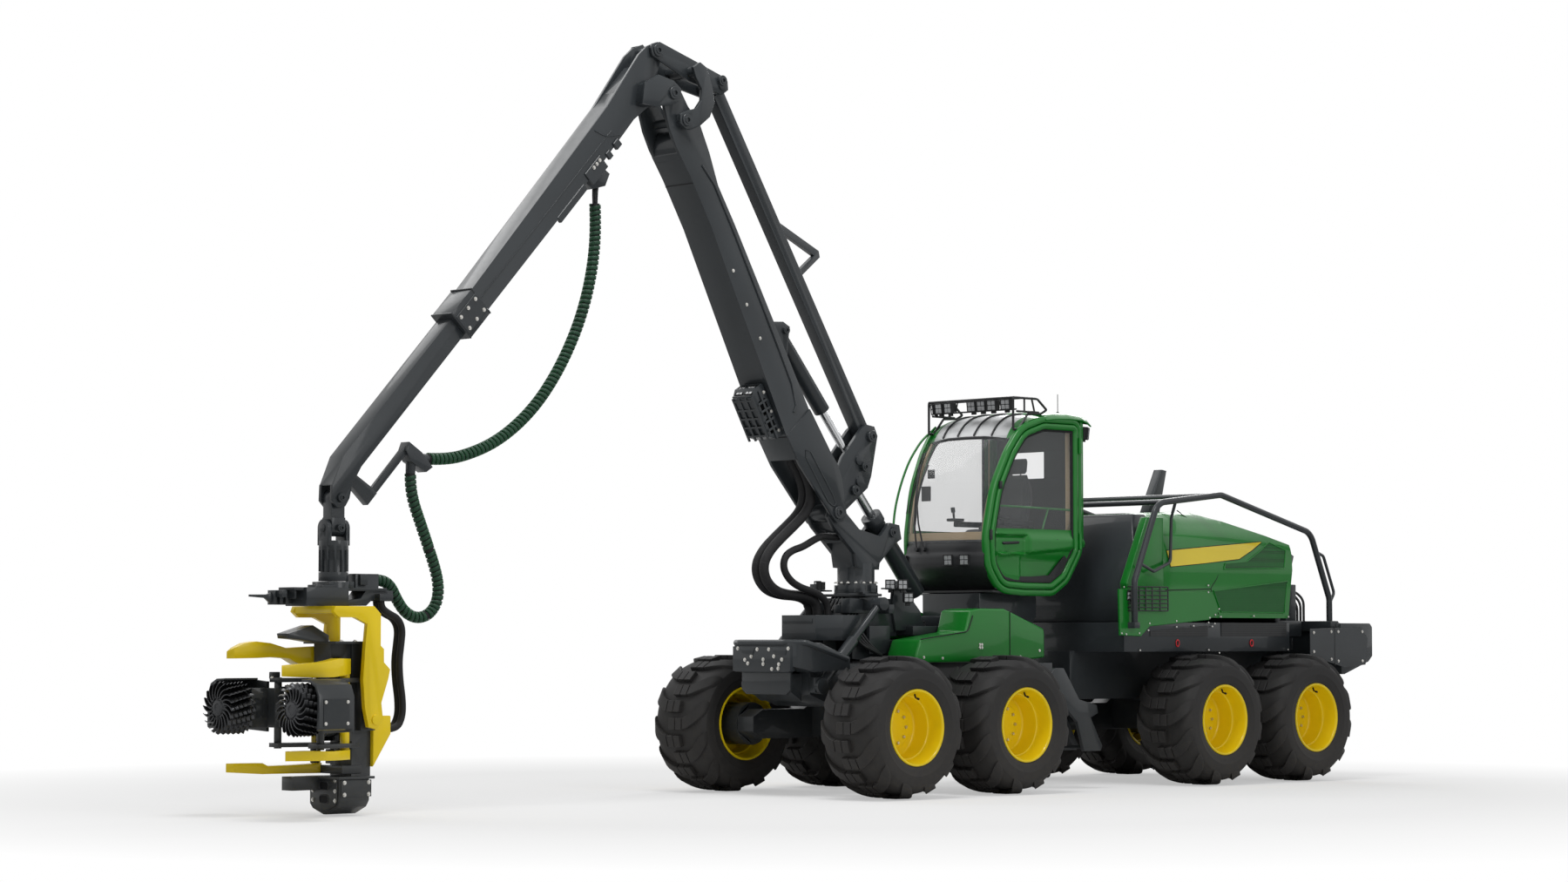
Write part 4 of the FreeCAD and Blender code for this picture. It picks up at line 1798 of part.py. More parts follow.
left_steps = steps()
node("steps", left_steps)

# ---------------------------------------------------------------------------------------------
# Hoses
# ---------------------------------------------------------------------------------------------
JIB_HOSE = 105
HEAD_HOSE = 100
BASE_HOSE = 95
SIDE_HOSE = 60

jib_hose_route = [(2650, 0, 5400), (2640, 0, 5180), (2665, 0, 4890), (2730, 0, 4600), (2830, 0, 4320),
                  (2960, 0, 4060),
                  (3110, 0, 3820), (3300, 0, 3580), (3530, 0, 3370), (3790, 0, 3200), (4060, 0, 3090),
                  (4330, 0, 3025),
                  (4545, 0, 3025)]
head_hose_route = [(4725, 0, 2890), (4725, 0, 2790), (4690, 0, 2640), (4610, 0, 2460), (4525, 0, 2260),
                   (4450, 0, 2080),
                   (4410, 0, 1920), (4430, 0, 1780), (4520, 0, 1680), (4650, 0, 1650), (4775, 0, 1700),
                   (4865, 0, 1810),
                   (4925, 0, 1920), (5010, 0, 1975), (5110, 0, 1975)]
wide_loop_route = [(-110, 0, 1700.3), (-110, 0, 1780), (-50, 0, 1850), (90, 0, 1885), (280, 0, 1890),
                   (460, 0, 1930),
                   (580, 0, 2040), (600, 0, 2180), (510, 0, 2310), (360, 0, 2430), (200, 0, 2545),
                   (45, 0, 2665),
                   (-25, 0, 2790), (-15, 0, 2925), (50, 0, 3050), (130, 0, 3154.5), (174, 0, 3232.4)]
small_loop_route = [(-190, 110, 1700.3), (-190, 110, 1790), (-120, 115, 1870), (20, 120, 1925),
                    (190, 120, 1960), (330, 120, 2030),
                    (410, 120, 2140), (385, 118, 2250), (280, 112, 2310), (130, 100, 2345), (-20, 85, 2410),
                    (-150, 70, 2455),
                    (-260, 60, 2450), (-369, 60, 2450)]
side_hose_route = [(5130, 0, tip_pin.z + size["top_frame_z"] - 160), (5130, 0, 1740), (5050, 0, 1690),
                   (4950, 0, 1650), (4900, 0, 1560), (4915, 0, 1430),
                   (4935, 0, 1290), (4925, 0, 1130), (4895, 0, 960), (4895, 0, 820), (4955, 0, 715),
                   (tip_pin.x + size["foot_rear"], 0, 715)]


def shifted(route, y):
    return [(px, py + y, pz) for px, py, pz in route]


node("jib_hose", shaped("jib_hose_tube", hose("jib_hose", jib_hose_route, JIB_HOSE)))
node("head_hose", shaped("head_hose_tube", hose("head_hose", head_hose_route, HEAD_HOSE)))
node("crane_hoses", group("crane_hoses_group", [
    shaped("wide_loop_left", hose("wide_loop_left", shifted(wide_loop_route, 50), BASE_HOSE)),
    shaped("wide_loop_right", hose("wide_loop_right", shifted(wide_loop_route, -50), BASE_HOSE)),
    shaped("small_loop", hose("small_loop", small_loop_route, 70))]))
node("head_side_hoses", group("head_side_hoses_group", [
    shaped(f"side_hose_{k}", hose(f"side_hose_{k}", shifted(side_hose_route, y), SIDE_HOSE)) for k,
    y in enumerate((66, 132))]))

# ---------------------------------------------------------------------------------------------
# Build, check and write
# ---------------------------------------------------------------------------------------------
doc.recompute()

faults = []
for thing in doc.Objects:
    if "Invalid" in thing.State or "Error" in thing.State:
        faults.append(f"{thing.Name}: {thing.State}")
for thing in nodes:
    if thing.Shape.isNull() or not thing.Shape.isValid() or not thing.Shape.Solids:
        faults.append(f"{thing.Label}: shape")
if faults:
    raise RuntimeError("; ".join(faults))

os.makedirs("parts", exist_ok=True)
for thing in nodes:
    thing.Shape.exportStep(os.path.join("parts", thing.Label + ".step"))
print(len(nodes), "sub-parts written")
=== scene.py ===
# An eight-wheel forestry harvester: two chassis halves on bogies, a cab, a rear engine body, a folding
# parallel crane with a telescope, and a felling head that hangs from a rotator.
import json
import math

import bmesh
import bpy
from mathutils import Matrix, Vector


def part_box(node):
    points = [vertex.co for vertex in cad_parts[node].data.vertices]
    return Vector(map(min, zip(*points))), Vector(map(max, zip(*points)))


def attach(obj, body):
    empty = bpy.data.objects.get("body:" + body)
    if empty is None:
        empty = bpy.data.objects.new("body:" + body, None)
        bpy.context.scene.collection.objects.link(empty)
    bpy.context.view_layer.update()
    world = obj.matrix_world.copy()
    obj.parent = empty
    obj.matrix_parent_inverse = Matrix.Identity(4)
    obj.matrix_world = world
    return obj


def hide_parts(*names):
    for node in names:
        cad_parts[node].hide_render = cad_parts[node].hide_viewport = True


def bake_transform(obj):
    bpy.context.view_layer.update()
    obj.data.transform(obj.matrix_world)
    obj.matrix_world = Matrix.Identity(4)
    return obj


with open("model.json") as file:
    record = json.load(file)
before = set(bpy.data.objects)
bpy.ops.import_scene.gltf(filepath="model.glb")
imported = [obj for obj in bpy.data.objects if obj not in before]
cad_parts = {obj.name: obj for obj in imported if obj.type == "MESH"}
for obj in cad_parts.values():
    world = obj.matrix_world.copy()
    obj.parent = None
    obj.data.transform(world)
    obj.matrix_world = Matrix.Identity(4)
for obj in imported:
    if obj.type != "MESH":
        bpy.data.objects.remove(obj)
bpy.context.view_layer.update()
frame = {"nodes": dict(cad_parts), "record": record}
carrier = {node: body for body, nodes in frame["record"]["behaviour"]["bodies"].items() for node in nodes}

# ------------------------------------------------------------------------------------------------------
# Chassis and crane plates: welded steel, sprayed in a satin charcoal. Edges of plates are broken by a
# few millimetres, and road dust lies low down.
# ------------------------------------------------------------------------------------------------------
SIDES = ((1, "left"), (-1, "right"))
CHARCOAL = (0.028, 0.033, 0.037)
DUST = (0.20, 0.17, 0.13)
AHEAD, LEFT, UP = Vector((1, 0, 0)), Vector((0, 1, 0)), Vector((0, 0, 1))


def added(tree, kind, inputs=None, **settings):
    """A new node with its settings. Each input takes a value, or a wire from another node's output."""
    made = tree.nodes.new(kind)
    for label, value in settings.items():
        setattr(made, label, value)
    for socket, value in (inputs or {}).items():
        if isinstance(value, bpy.types.NodeSocket):
            tree.links.new(value, made.inputs[socket])
        else:
            made.inputs[socket].default_value = value
    return made


def new_finish(name):
    """A material, its node tree, its shader, and the place on the piece that patterns go by."""
    finish = bpy.data.materials.new(name)
    finish.use_nodes = True
    tree = finish.node_tree
    return finish, tree, tree.nodes["Principled BSDF"], added(tree, "ShaderNodeTexCoord").outputs["Object"]


def painted(name, colour, roughness, coat=0.0, metallic=0.0, dust=0.12, peel=0.02, grain=260.0, shift=0.12):
    """Sprayed or moulded finish: colour drift, uneven gloss, fine grain, dust towards the ground."""
    finish, tree, shader, place = new_finish(name)
    drift = added(tree, "ShaderNodeTexNoise", {"Scale": 1.7, "Detail": 6.0, "Vector": place})
    tone = added(tree, "ShaderNodeValToRGB", {"Fac": drift.outputs["Fac"]})
    for stop, position, change in zip(tone.color_ramp.elements, (0.3, 0.7), (1 - shift, 1 + shift)):
        stop.position = position
        stop.color = [min(1.0, c * change) for c in colour] + [1]
    height = added(tree, "ShaderNodeSeparateXYZ", {"Vector": place})
    low = added(tree, "ShaderNodeMapRange",
                {"Value": height.outputs["Z"], "From Min": 1.5, "From Max": 0.1, "To Max": dust})
    specks = added(tree, "ShaderNodeTexNoise", {"Scale": 14.0, "Detail": 8.0, "Vector": place})
    cover = added(tree, "ShaderNodeMath", {0: low.outputs["Result"], 1: specks.outputs["Fac"]},
                  operation="MULTIPLY")
    dusty = added(tree, "ShaderNodeMix", data_type="RGBA")
    dusty.inputs["B"].default_value = DUST + (1,)
    tree.links.new(cover.outputs["Value"], dusty.inputs["Factor"])
    tree.links.new(tone.outputs["Color"], dusty.inputs["A"])
    tree.links.new(dusty.outputs["Result"], shader.inputs["Base Color"])
    sheen = added(tree, "ShaderNodeMapRange",
                  {"Value": specks.outputs["Fac"], "To Min": roughness - 0.06, "To Max": roughness + 0.08})
    tree.links.new(sheen.outputs["Result"], shader.inputs["Roughness"])
    fine = added(tree, "ShaderNodeTexNoise", {"Scale": grain, "Vector": place})
    bump = added(tree, "ShaderNodeBump", {"Strength": peel * 6, "Distance": 0.001,
                                          "Height": fine.outputs["Fac"]})
    tree.links.new(bump.outputs["Normal"], shader.inputs["Normal"])
    shader.inputs["Metallic"].default_value = metallic
    shader.inputs["Specular IOR Level"].default_value = 0.5 if metallic else 0.25
    shader.inputs["Coat Weight"].default_value = coat
    shader.inputs["Coat Roughness"].default_value = 0.06
    return finish


charcoal = painted("charcoal_satin", CHARCOAL, 0.38, coat=0.25)
STEEL = ("graphite_paint", charcoal)


def shown(name, mesh, node_or_body, slot, *materials):
    """Puts a finished mesh in the scene, at the origin, on the body that carries it."""
    mesh.name = name
    piece = linked(name, mesh)
    mesh.materials.clear()
    for material in materials:
        mesh.materials.append(material)
    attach(piece, carrier.get(node_or_body, node_or_body))
    return piece


def linked(name, data):
    """A new object in the scene."""
    piece = bpy.data.objects.new(name, data)
    bpy.context.scene.collection.objects.link(piece)
    return piece


def worked_out(holder):
    """The mesh that an object's curve or modifiers come to."""
    bpy.context.view_layer.update()
    return bpy.data.meshes.new_from_object(holder.evaluated_get(bpy.context.evaluated_depsgraph_get()))


def creased(mesh, crease):
    """Smooth shading, but for edges sharper than the crease in degrees."""
    mesh.shade_smooth()
    mesh.set_sharp_from_angle(angle=math.radians(crease))
    return mesh


def finished(form, crease=None, outward=True):
    """The mesh of a form. Its edges are smooth up to the crease, in degrees, or all flat without one."""
    if outward:
        bmesh.ops.recalc_face_normals(form, faces=form.faces)
    mesh = bpy.data.meshes.new("form")
    form.to_mesh(mesh)
    form.free()
    return mesh if crease is None else creased(mesh, crease)


def circle(form, centre, across, over, radius, count):
    """Vertices on a circle that two square directions span."""
    turns = [2 * math.pi * k / count for k in range(count)]
    return [form.verts.new(centre + (across * math.cos(a) + over * math.sin(a)) * radius) for a in turns]


def skinned(form, rings, round_again=False, capped=True):
    """Joins closed rings of vertices, each to the next, and closes the first and the last."""
    for near, far in list(zip(rings, rings[1:])) + ([(rings[-1], rings[0])] if round_again else []):
        for k in range(len(near)):
            after = (k + 1) % len(near)
            form.faces.new((near[k], near[after], far[after], far[k]))
    if capped:
        form.faces.new(rings[0])
        form.faces.new(rings[-1])


def eased(node, slot, *materials, width=0.006, angle=28, segments=2):
    """The node's own solid with its sharp edges rounded, as cut and welded plate has them."""
    mesh = frame["nodes"][node].data.copy()
    mesh.name = node + "_eased"
    form = bmesh.new()
    form.from_mesh(mesh)
    bmesh.ops.remove_doubles(form, verts=form.verts, dist=0.0002)
    bmesh.ops.dissolve_limit(form, angle_limit=math.radians(0.6), verts=form.verts, edges=form.edges)
    form.to_mesh(mesh)
    form.free()
    piece = shown(node + "_skin", mesh, node, slot, *materials)
    edge = piece.modifiers.new("edge", "BEVEL")
    edge.width = width
    edge.segments = segments
    edge.limit_method = "ANGLE"
    edge.angle_limit = math.radians(angle)
    edge.use_clamp_overlap = True
    edge.harden_normals = False
    done = worked_out(piece)
    piece.modifiers.clear()
    piece.data = creased(done, angle + 4)
    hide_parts(node)
    return piece


for node, edge in (("front_frame", 0.008), ("rear_frame", 0.008), ("front_bogie", 0.014),
                   ("rear_bogie", 0.014), ("slew_base", 0.010), ("cab_mount", 0.008), ("shroud", 0.020),
                   ("end_cover", 0.015), ("tail_box", 0.014), ("steps", 0.005), ("engine", 0.01),
                   ("stack", 0.004), ("guard_rails", 0.001), ("front_bumper", 0.006),
                   ("tilt_cylinders", 0.004)):
    eased(node, *STEEL, width=edge)
for node, edge in (("pillar", 0.008), ("rocker", 0.006), ("main_boom", 0.008), ("parallel_bar", 0.006),
                   ("lift_barrel", 0.004), ("jib_cylinder_barrel", 0.004), ("jib_arm", 0.006),
                   ("bell_crank", 0.006), ("curved_link", 0.006), ("extension", 0.005), ("tip_link", 0.004),
                   ("rotator", 0.004), ("head_top", 0.004), ("head_frame", 0.004),
                   ("roller_arm_left", 0.004), ("roller_arm_right", 0.004)):
    eased(node, *STEEL, width=edge)

# ------------------------------------------------------------------------------------------------------
# Hoses: bundles in black woven sleeves. Each hangs in its own curve between two fittings. A bundle
# that crosses more than one joint is built length by length.
# ------------------------------------------------------------------------------------------------------
sleeve_black = painted("hose_sleeve", (0.014, 0.014, 0.015), 0.62, dust=0.03, peel=0.12, grain=420.0)
WIDE_LOOP_RADIUS, SMALL_LOOP_RADIUS = 0.0475, 0.035
JIB_HOSE_RADIUS, HEAD_HOSE_RADIUS, SIDE_HOSE_RADIUS = 0.043, 0.041, 0.030
# Each guard: outer radius, distance between turns, width and thickness of the strip.
JIB_HOSE_GUARD = (0.0525, 0.046, 0.033, 0.004)
HEAD_HOSE_GUARD = (0.050, 0.044, 0.032, 0.004)


def hanging_line(name, route, shift=(0.0, 0.0)):
    """The smooth line that a hose takes through its route's points, in metres in the part's frame."""
    curve = bpy.data.curves.new(name + "_line", "CURVE")
    curve.dimensions = "3D"
    spline = curve.splines.new("NURBS")
    spline.points.add(len(route) - 1)
    for point, (x, y, z) in zip(spline.points, route):
        point.co = (x + shift[0], y + shift[1], z, 1)
    spline.order_u = 3
    spline.use_endpoint_u = True
    spline.resolution_u = 12
    carrier_curve = linked(name + "_line", curve)
    line = worked_out(carrier_curve)
    points = [v.co.copy() for v in line.vertices]
    bpy.data.objects.remove(carrier_curve)
    bpy.data.curves.remove(curve)
    bpy.data.meshes.remove(line)
    return points


def measured(points):
    return sum((b - a).length for a, b in zip(points, points[1:]))


def along(points, start, end):
    """The stretch of a line between two distances from its beginning."""
    out, gone = [], 0.0
    for a, b in zip(points, points[1:]):
        step = (b - a).length
        if gone + step > start and not out:
            out.append(a.lerp(b, max(0.0, (start - gone) / step)))
        if out and gone + step >= end:
            out.append(a.lerp(b, (end - gone) / step))
            return out
        if out:
            out.append(b.copy())
        gone += step
    return out


def carried_frames(points):
    """At each point of a line: its direction and two square directions, turned as little as possible."""
    ways = [(points[min(k + 1, len(points) - 1)] - points[max(k - 1, 0)]).normalized()
            for k in range(len(points))]
    side = ways[0].orthogonal() if abs(ways[0].y) > 0.9 else ways[0].cross(Vector((0, 1, 0)))
    side = side.normalized()
    frames = []
    for way in ways:
        side = (side - way * side.dot(way)).normalized()
        frames.append((way, side, way.cross(side)))
    return frames


def tube_mesh(points, radius, sides=14):
    """A closed round tube along a line, flat at its ends."""
    form = bmesh.new()
    frames = carried_frames(points)
    skinned(form, [circle(form, p, one, two, radius, sides) for p, (_, one, two) in zip(points, frames)])
    mesh = finished(form)
    for face in mesh.polygons:
        face.use_smooth = len(face.vertices) == 4
    return mesh


def band_mesh(points, radius, pitch, width, thickness, steps=18):
    """A flat strip wound round a line: edges on the second material."""
    total = measured(points)
    frames = carried_frames(points)
    marks = [0.0]
    for a, b in zip(points, points[1:]):
        marks.append(marks[-1] + (b - a).length)

    def at(distance):
        distance = min(max(distance, 0.0), total - 1e-6)
        k = max(i for i, m in enumerate(marks) if m <= distance)
        k = min(k, len(points) - 2)
        part = (distance - marks[k]) / (marks[k + 1] - marks[k])
        way = frames[k][0].lerp(frames[k + 1][0], part).normalized()
        side = frames[k][1].lerp(frames[k + 1][1], part)
        side = (side - way * side.dot(way)).normalized()
        return points[k].lerp(points[k + 1], part), side, way.cross(side)

    form, rings = bmesh.new(), []
    count = int(total / pitch * steps)
    corners = [(-width / 2, radius - thickness), (-width / 2, radius), (width / 2, radius),
               (width / 2, radius - thickness)]
    for n in range(count + 1):
        turn = 2 * math.pi * n / steps
        ring = []
        for offset, r in corners:
            p, one, two = at(total * n / count + offset)
            ring.append(form.verts.new(p + one * (r * math.cos(turn)) + two * (r * math.sin(turn))))
        rings.append(ring)
    skinned(form, rings)
    mesh = finished(form)
    for k, face in enumerate(mesh.polygons):
        face.use_smooth = k % 4 == 1
        face.material_index = 0 if k % 4 == 1 or k >= 4 * count else 1
    return mesh


def bending_length(name, points, radius, node, start=0.25, end=0.75,
                   band=None):
    """One length of hose, with or without a spiral guard."""
    piece = linked(name, tube_mesh(points, radius))
    piece.data.materials.append(sleeve_black)
    total = measured(points)
    low, high = along(points, 0, total * start)[-1], along(points, 0, total * end)[-1]
    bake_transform(piece)
    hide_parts(node)
    if band:
        guard = linked(name + "_guard", band_mesh(points, *band))
        guard.data.materials.append(guard_face)
        guard.data.materials.append(guard_edge)
        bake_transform(guard)
    return piece


WIDE_LOOP = [(0.3473, 0, 1.7003), (0.3473, 0, 1.780), (0.4073, 0, 1.850), (0.5473, 0, 1.885),
             (0.7373, 0, 1.890), (0.9173, 0, 1.930), (1.0373, 0, 2.040), (1.0573, 0, 2.180),
             (0.9673, 0, 2.310), (0.8173, 0, 2.430), (0.6573, 0, 2.545), (0.5023, 0, 2.665),
             (0.4323, 0, 2.790), (0.4423, 0, 2.925), (0.5073, 0, 3.050), (0.5873, 0, 3.1545),
             (0.6313, 0, 3.2324)]
SMALL_LOOP = [(0.2673, 0.110, 1.7003), (0.2673, 0.110, 1.790), (0.3373, 0.115, 1.870), (0.4773, 0.120, 1.925),
              (0.6473, 0.120, 1.960), (0.7873, 0.120, 2.030), (0.8673, 0.120, 2.140), (0.8423, 0.118, 2.250),
              (0.7373, 0.112, 2.310), (0.5873, 0.100, 2.345), (0.4373, 0.085, 2.410), (0.3073, 0.070, 2.455),
              (0.1973, 0.060, 2.450), (0.0883, 0.060, 2.450)]
for side, y in (("left", 0.05), ("right", -0.05)):
    line = hanging_line("wide_loop", WIDE_LOOP, (0.0, y))
    length = measured(line)
    cuts = (0.0, 0.42 * length, 0.70 * length, length)
    for k in range(3):
        stretch = along(line, cuts[k], cuts[k + 1])
        bending_length(f"base_loop_{side}_{k + 1}", stretch, WIDE_LOOP_RADIUS,
                       "crane_hoses", start=0.05, end=0.95)
line = hanging_line("small_loop", SMALL_LOOP)
bending_length("base_loop_small", line, SMALL_LOOP_RADIUS,
               "crane_hoses", start=0.05, end=0.8)

# ------------------------------------------------------------------------------------------------------
# Guarded hoses: the bundles of the jib and the head wear a flat green plastic spiral against chafing
# ------------------------------------------------------------------------------------------------------
guard_face = painted("guard_strip", (0.018, 0.060, 0.032), 0.5, dust=0.02, peel=0.06)
guard_edge = painted("guard_strip_edge", (0.03, 0.33, 0.09), 0.4, dust=0.02)

JIB_ROUTE = [(3.1073, 0, 5.400), (3.0973, 0, 5.180), (3.1223, 0, 4.890), (3.1873, 0, 4.600),
             (3.2873, 0, 4.320), (3.4173, 0, 4.060), (3.5673, 0, 3.820), (3.7573, 0, 3.580),
             (3.9873, 0, 3.370), (4.2473, 0, 3.200), (4.5173, 0, 3.090), (4.7873, 0, 3.025),
             (5.0023, 0, 3.025)]
HEAD_ROUTE = [(5.1823, 0, 2.890), (5.1823, 0, 2.790), (5.1473, 0, 2.640), (5.0673, 0, 2.460),
              (4.9823, 0, 2.260), (4.9073, 0, 2.080), (4.8673, 0, 1.920), (4.8873, 0, 1.780),
              (4.9773, 0, 1.680), (5.1073, 0, 1.650), (5.2323, 0, 1.700), (5.3223, 0, 1.810),
              (5.3823, 0, 1.920), (5.4673, 0, 1.975), (5.5673, 0, 1.975)]
line = hanging_line("jib_hose", JIB_ROUTE)
bending_length("jib_hose_bundle", line, JIB_HOSE_RADIUS, "jib_hose",
               start=0.03, end=0.97, band=JIB_HOSE_GUARD)
line = hanging_line("head_hose", HEAD_ROUTE)
length = measured(line)
cuts = (0.0, 0.34 * length, 0.66 * length, length)
for k in range(3):
    stretch = along(line, cuts[k], cuts[k + 1])
    bending_length(f"head_hose_{k + 1}", stretch, HEAD_HOSE_RADIUS,
                   "head_hose", start=0.05, end=0.95, band=HEAD_HOSE_GUARD)

# ------------------------------------------------------------------------------------------------------
# Side hoses of the head: two sleeved bundles from the top frame to the yellow foot
# ------------------------------------------------------------------------------------------------------
SIDE_ROUTE = [(5.5873, 0, 1.7942), (5.5873, 0, 1.740), (5.5073, 0, 1.690), (5.4073, 0, 1.650),
              (5.3573, 0, 1.560), (5.3723, 0, 1.430), (5.3923, 0, 1.290), (5.3823, 0, 1.130),
              (5.3523, 0, 0.960), (5.3523, 0, 0.820), (5.4123, 0, 0.715), (5.5177, 0, 0.715)]
for k, y in enumerate((0.066, 0.132)):
    line = hanging_line("side_hose", SIDE_ROUTE, (0.0, y))
    bending_length(f"side_hose_{k + 1}", line, SIDE_HOSE_RADIUS,
                   "head_side_hoses", start=0.1, end=0.9)

# ------------------------------------------------------------------------------------------------------
# Tyres: wide forestry tyres in black rubber. Pairs of blocks stand on the crown, and from every second
# row a bar sweeps back over the shoulder and dies out on the sidewall, above a smooth round flank.
# ------------------------------------------------------------------------------------------------------
TIP_RADIUS = 0.661
CROWN_RADIUS = 0.619
BARS_A_SIDE = 12
AROUND = 96
BLOCKS_MIDDLE = 0.022
BEAD_SEAT = [(0.338, -0.29), (0.338, 0.29)]
FLANK = [(0.345, 0.305), (0.352, 0.322), (0.372, 0.337), (0.405, 0.347), (0.440, 0.352), (0.446, 0.355),
         (0.454, 0.3545), (0.500, 0.3548), (0.530, 0.353), (0.543, 0.349), (0.552, 0.341), (0.575, 0.322),
         (0.594, 0.296), (0.608, 0.255), (0.615, 0.19), (0.618, 0.10)]
rubber = painted("tyre_rubber_black", (0.021, 0.021, 0.022), 0.62, dust=0.16, peel=0.10, grain=150.0,
                 shift=0.10)


def turned(form, profile, around, centre, close=False):
    """Turns an outline of (radius, y) points about a wheel's axle."""
    rings = [circle(form, centre + Vector((0, y, 0)), AHEAD, UP, radius, around) for radius, y in profile]
    skinned(form, rings, round_again=close, capped=False)


def swept_bar(form, stations, centre, side):
    """A tread bar through stations of (y, turn, half width, root radius, top radius), angles in degrees."""
    rings = []
    for y, turn, half, root, top in stations:
        ring = []
        for radius, share in ((root, -1.0), (top - 0.006, -0.93), (top, -0.86), (top, 0.86),
                              (top - 0.006, 0.93), (root, 1.0)):
            angle = math.radians(turn + share * half)
            ring.append(form.verts.new((centre.x + radius * math.cos(angle), centre.y + side * y,
                                        centre.z + radius * math.sin(angle))))
        rings.append(ring)
    skinned(form, rings)


def tyre_mesh(centre):
    form = bmesh.new()
    outline = FLANK + [(CROWN_RADIUS, 0.0)] + [(r, -y) for r, y in reversed(FLANK)]
    turned(form, outline + BEAD_SEAT, AROUND, centre, close=True)
    pitch = 360.0 / BARS_A_SIDE
    for row in range(2 * BARS_A_SIDE):
        side = 1 if row % 2 == 0 else -1
        turn = row * pitch / 2
        for near, far in ((BLOCKS_MIDDLE - 0.088, BLOCKS_MIDDLE - 0.004),
                          (BLOCKS_MIDDLE + 0.004, BLOCKS_MIDDLE + 0.088)):
            swept_bar(form, [(near, turn, 5.3, 0.60, TIP_RADIUS - 0.003),
                             (near + 0.006, turn, 5.4, 0.60, TIP_RADIUS),
                             (far - 0.006, turn, 5.4, 0.60, TIP_RADIUS),
                             (far, turn, 5.3, 0.60, TIP_RADIUS - 0.003)], centre, side)
        swept_bar(form, [(BLOCKS_MIDDLE + 0.098, turn + 0.2, 5.3, 0.60, TIP_RADIUS - 0.004),
                         (BLOCKS_MIDDLE + 0.104, turn + 0.3, 5.4, 0.60, TIP_RADIUS - 0.001),
                         (0.175, turn + 1.8, 5.6, 0.59, 0.657), (0.225, turn + 4.6, 6.2, 0.58, 0.650),
                         (0.268, turn + 7.8, 7.0, 0.57, 0.640), (0.300, turn + 10.8, 7.4, 0.55, 0.624),
                         (0.324, turn + 13.6, 7.2, 0.54, 0.604), (0.342, turn + 16.2, 6.2, 0.53, 0.580),
                         (0.350, turn + 18.4, 4.4, 0.53, 0.560), (0.3515, turn + 19.8, 2.0, 0.53, 0.546)],
                  centre, side)
    return finished(form, 24)


# ------------------------------------------------------------------------------------------------------
# Rims: rolled and welded steel, a deep barrel with a rounded lip, a step where the bead seat ends and
# a flat disc bolted to the hub, all sprayed glossy yellow, with a rubber tyre valve near the lip.
# ------------------------------------------------------------------------------------------------------
YELLOW = (0.93, 0.68, 0.004)
yellow_gloss = painted("yellow_gloss", YELLOW, 0.36, coat=0.3, dust=0.05, shift=0.05)
YELLOW_STEEL = ("yellow_paint", yellow_gloss)
valve_black = painted("valve_rubber", (0.012, 0.012, 0.012), 0.5)
bolt_zinc = painted("bolt_zinc", (0.62, 0.61, 0.58), 0.32, metallic=1.0, dust=0.0)
ZINC = ("chrome_rod", bolt_zinc)
RIM_LIP = [(0.332, 0.306), (0.341, 0.306), (0.353, 0.318), (0.356, 0.326), (0.353, 0.333), (0.345, 0.336),
           (0.336, 0.334), (0.330, 0.327), (0.326, 0.31)]
RIM_BARREL = [(0.318, 0.27), (0.309, 0.235), (0.306, 0.20), (0.297, 0.185), (0.287, 0.180), (0.283, 0.17)]
DISC_BOLTS = 10


def rim_mesh(centre, outward, disc_y):
    """The rim's barrel with both lips, and its disc. outward is the way of the wheel's outer face along Y."""
    form = bmesh.new()
    near = RIM_LIP + RIM_BARREL + [(0.280, disc_y + 0.030), (0.272, disc_y + 0.016), (0.262, disc_y + 0.010),
                                   (0.205, disc_y + 0.010), (0.195, disc_y + 0.016), (0.0, disc_y + 0.016)]
    rear = [(0.0, disc_y - 0.016), (0.255, disc_y - 0.016), (0.280, disc_y - 0.022)]
    rear += [(r, -y) for r, y in reversed(RIM_BARREL)] + [(r, -y) for r, y in reversed(RIM_LIP)]
    outline = [(max(r, 0.0005), outward * y) for r, y in near + rear]
    turned(form, outline, 64, centre, close=True)
    bmesh.ops.remove_doubles(form, verts=form.verts, dist=0.0006)
    return finished(form, 30)


def headed_bolt(form, place, way, radius, height, sides=6):
    """A hexagon head with a chamfered crown, standing on a surface."""
    way = way.normalized()
    across = way.orthogonal().normalized()
    rings = [circle(form, place + way * lift, across, way.cross(across), size, sides)
             for lift, size in ((-0.002, radius), (height * 0.75, radius), (height, radius * 0.82))]
    skinned(form, rings, capped=False)
    form.faces.new(rings[-1])


def wheel_fittings(centre, outward, disc_y):
    form = bmesh.new()
    for k in range(DISC_BOLTS):
        turn = 2 * math.pi * k / DISC_BOLTS
        place = Vector((0.155 * math.cos(turn), outward * (disc_y + 0.016), 0.155 * math.sin(turn)))
        headed_bolt(form, centre + place, Vector((0, outward, 0)), 0.016, 0.018)
    return finished(form, outward=False)


def valve_mesh(centre, outward):
    """A bent valve stem that comes through the barrel near the lip, with its cap."""
    foot = centre + Vector((-0.05, outward * 0.245, 0.305))
    knee = centre + Vector((-0.047, outward * 0.262, 0.272))
    tip = centre + Vector((-0.044, outward * 0.305, 0.262))
    form = bmesh.new()
    for near, far, radius in ((foot, knee, 0.009), (knee, tip, 0.007), (knee.lerp(tip, 0.55), tip, 0.011)):
        way = (far - near).normalized()
        across = way.orthogonal().normalized()
        skinned(form, [circle(form, p, across, way.cross(across), radius, 8) for p in (near, far)])
    return finished(form)


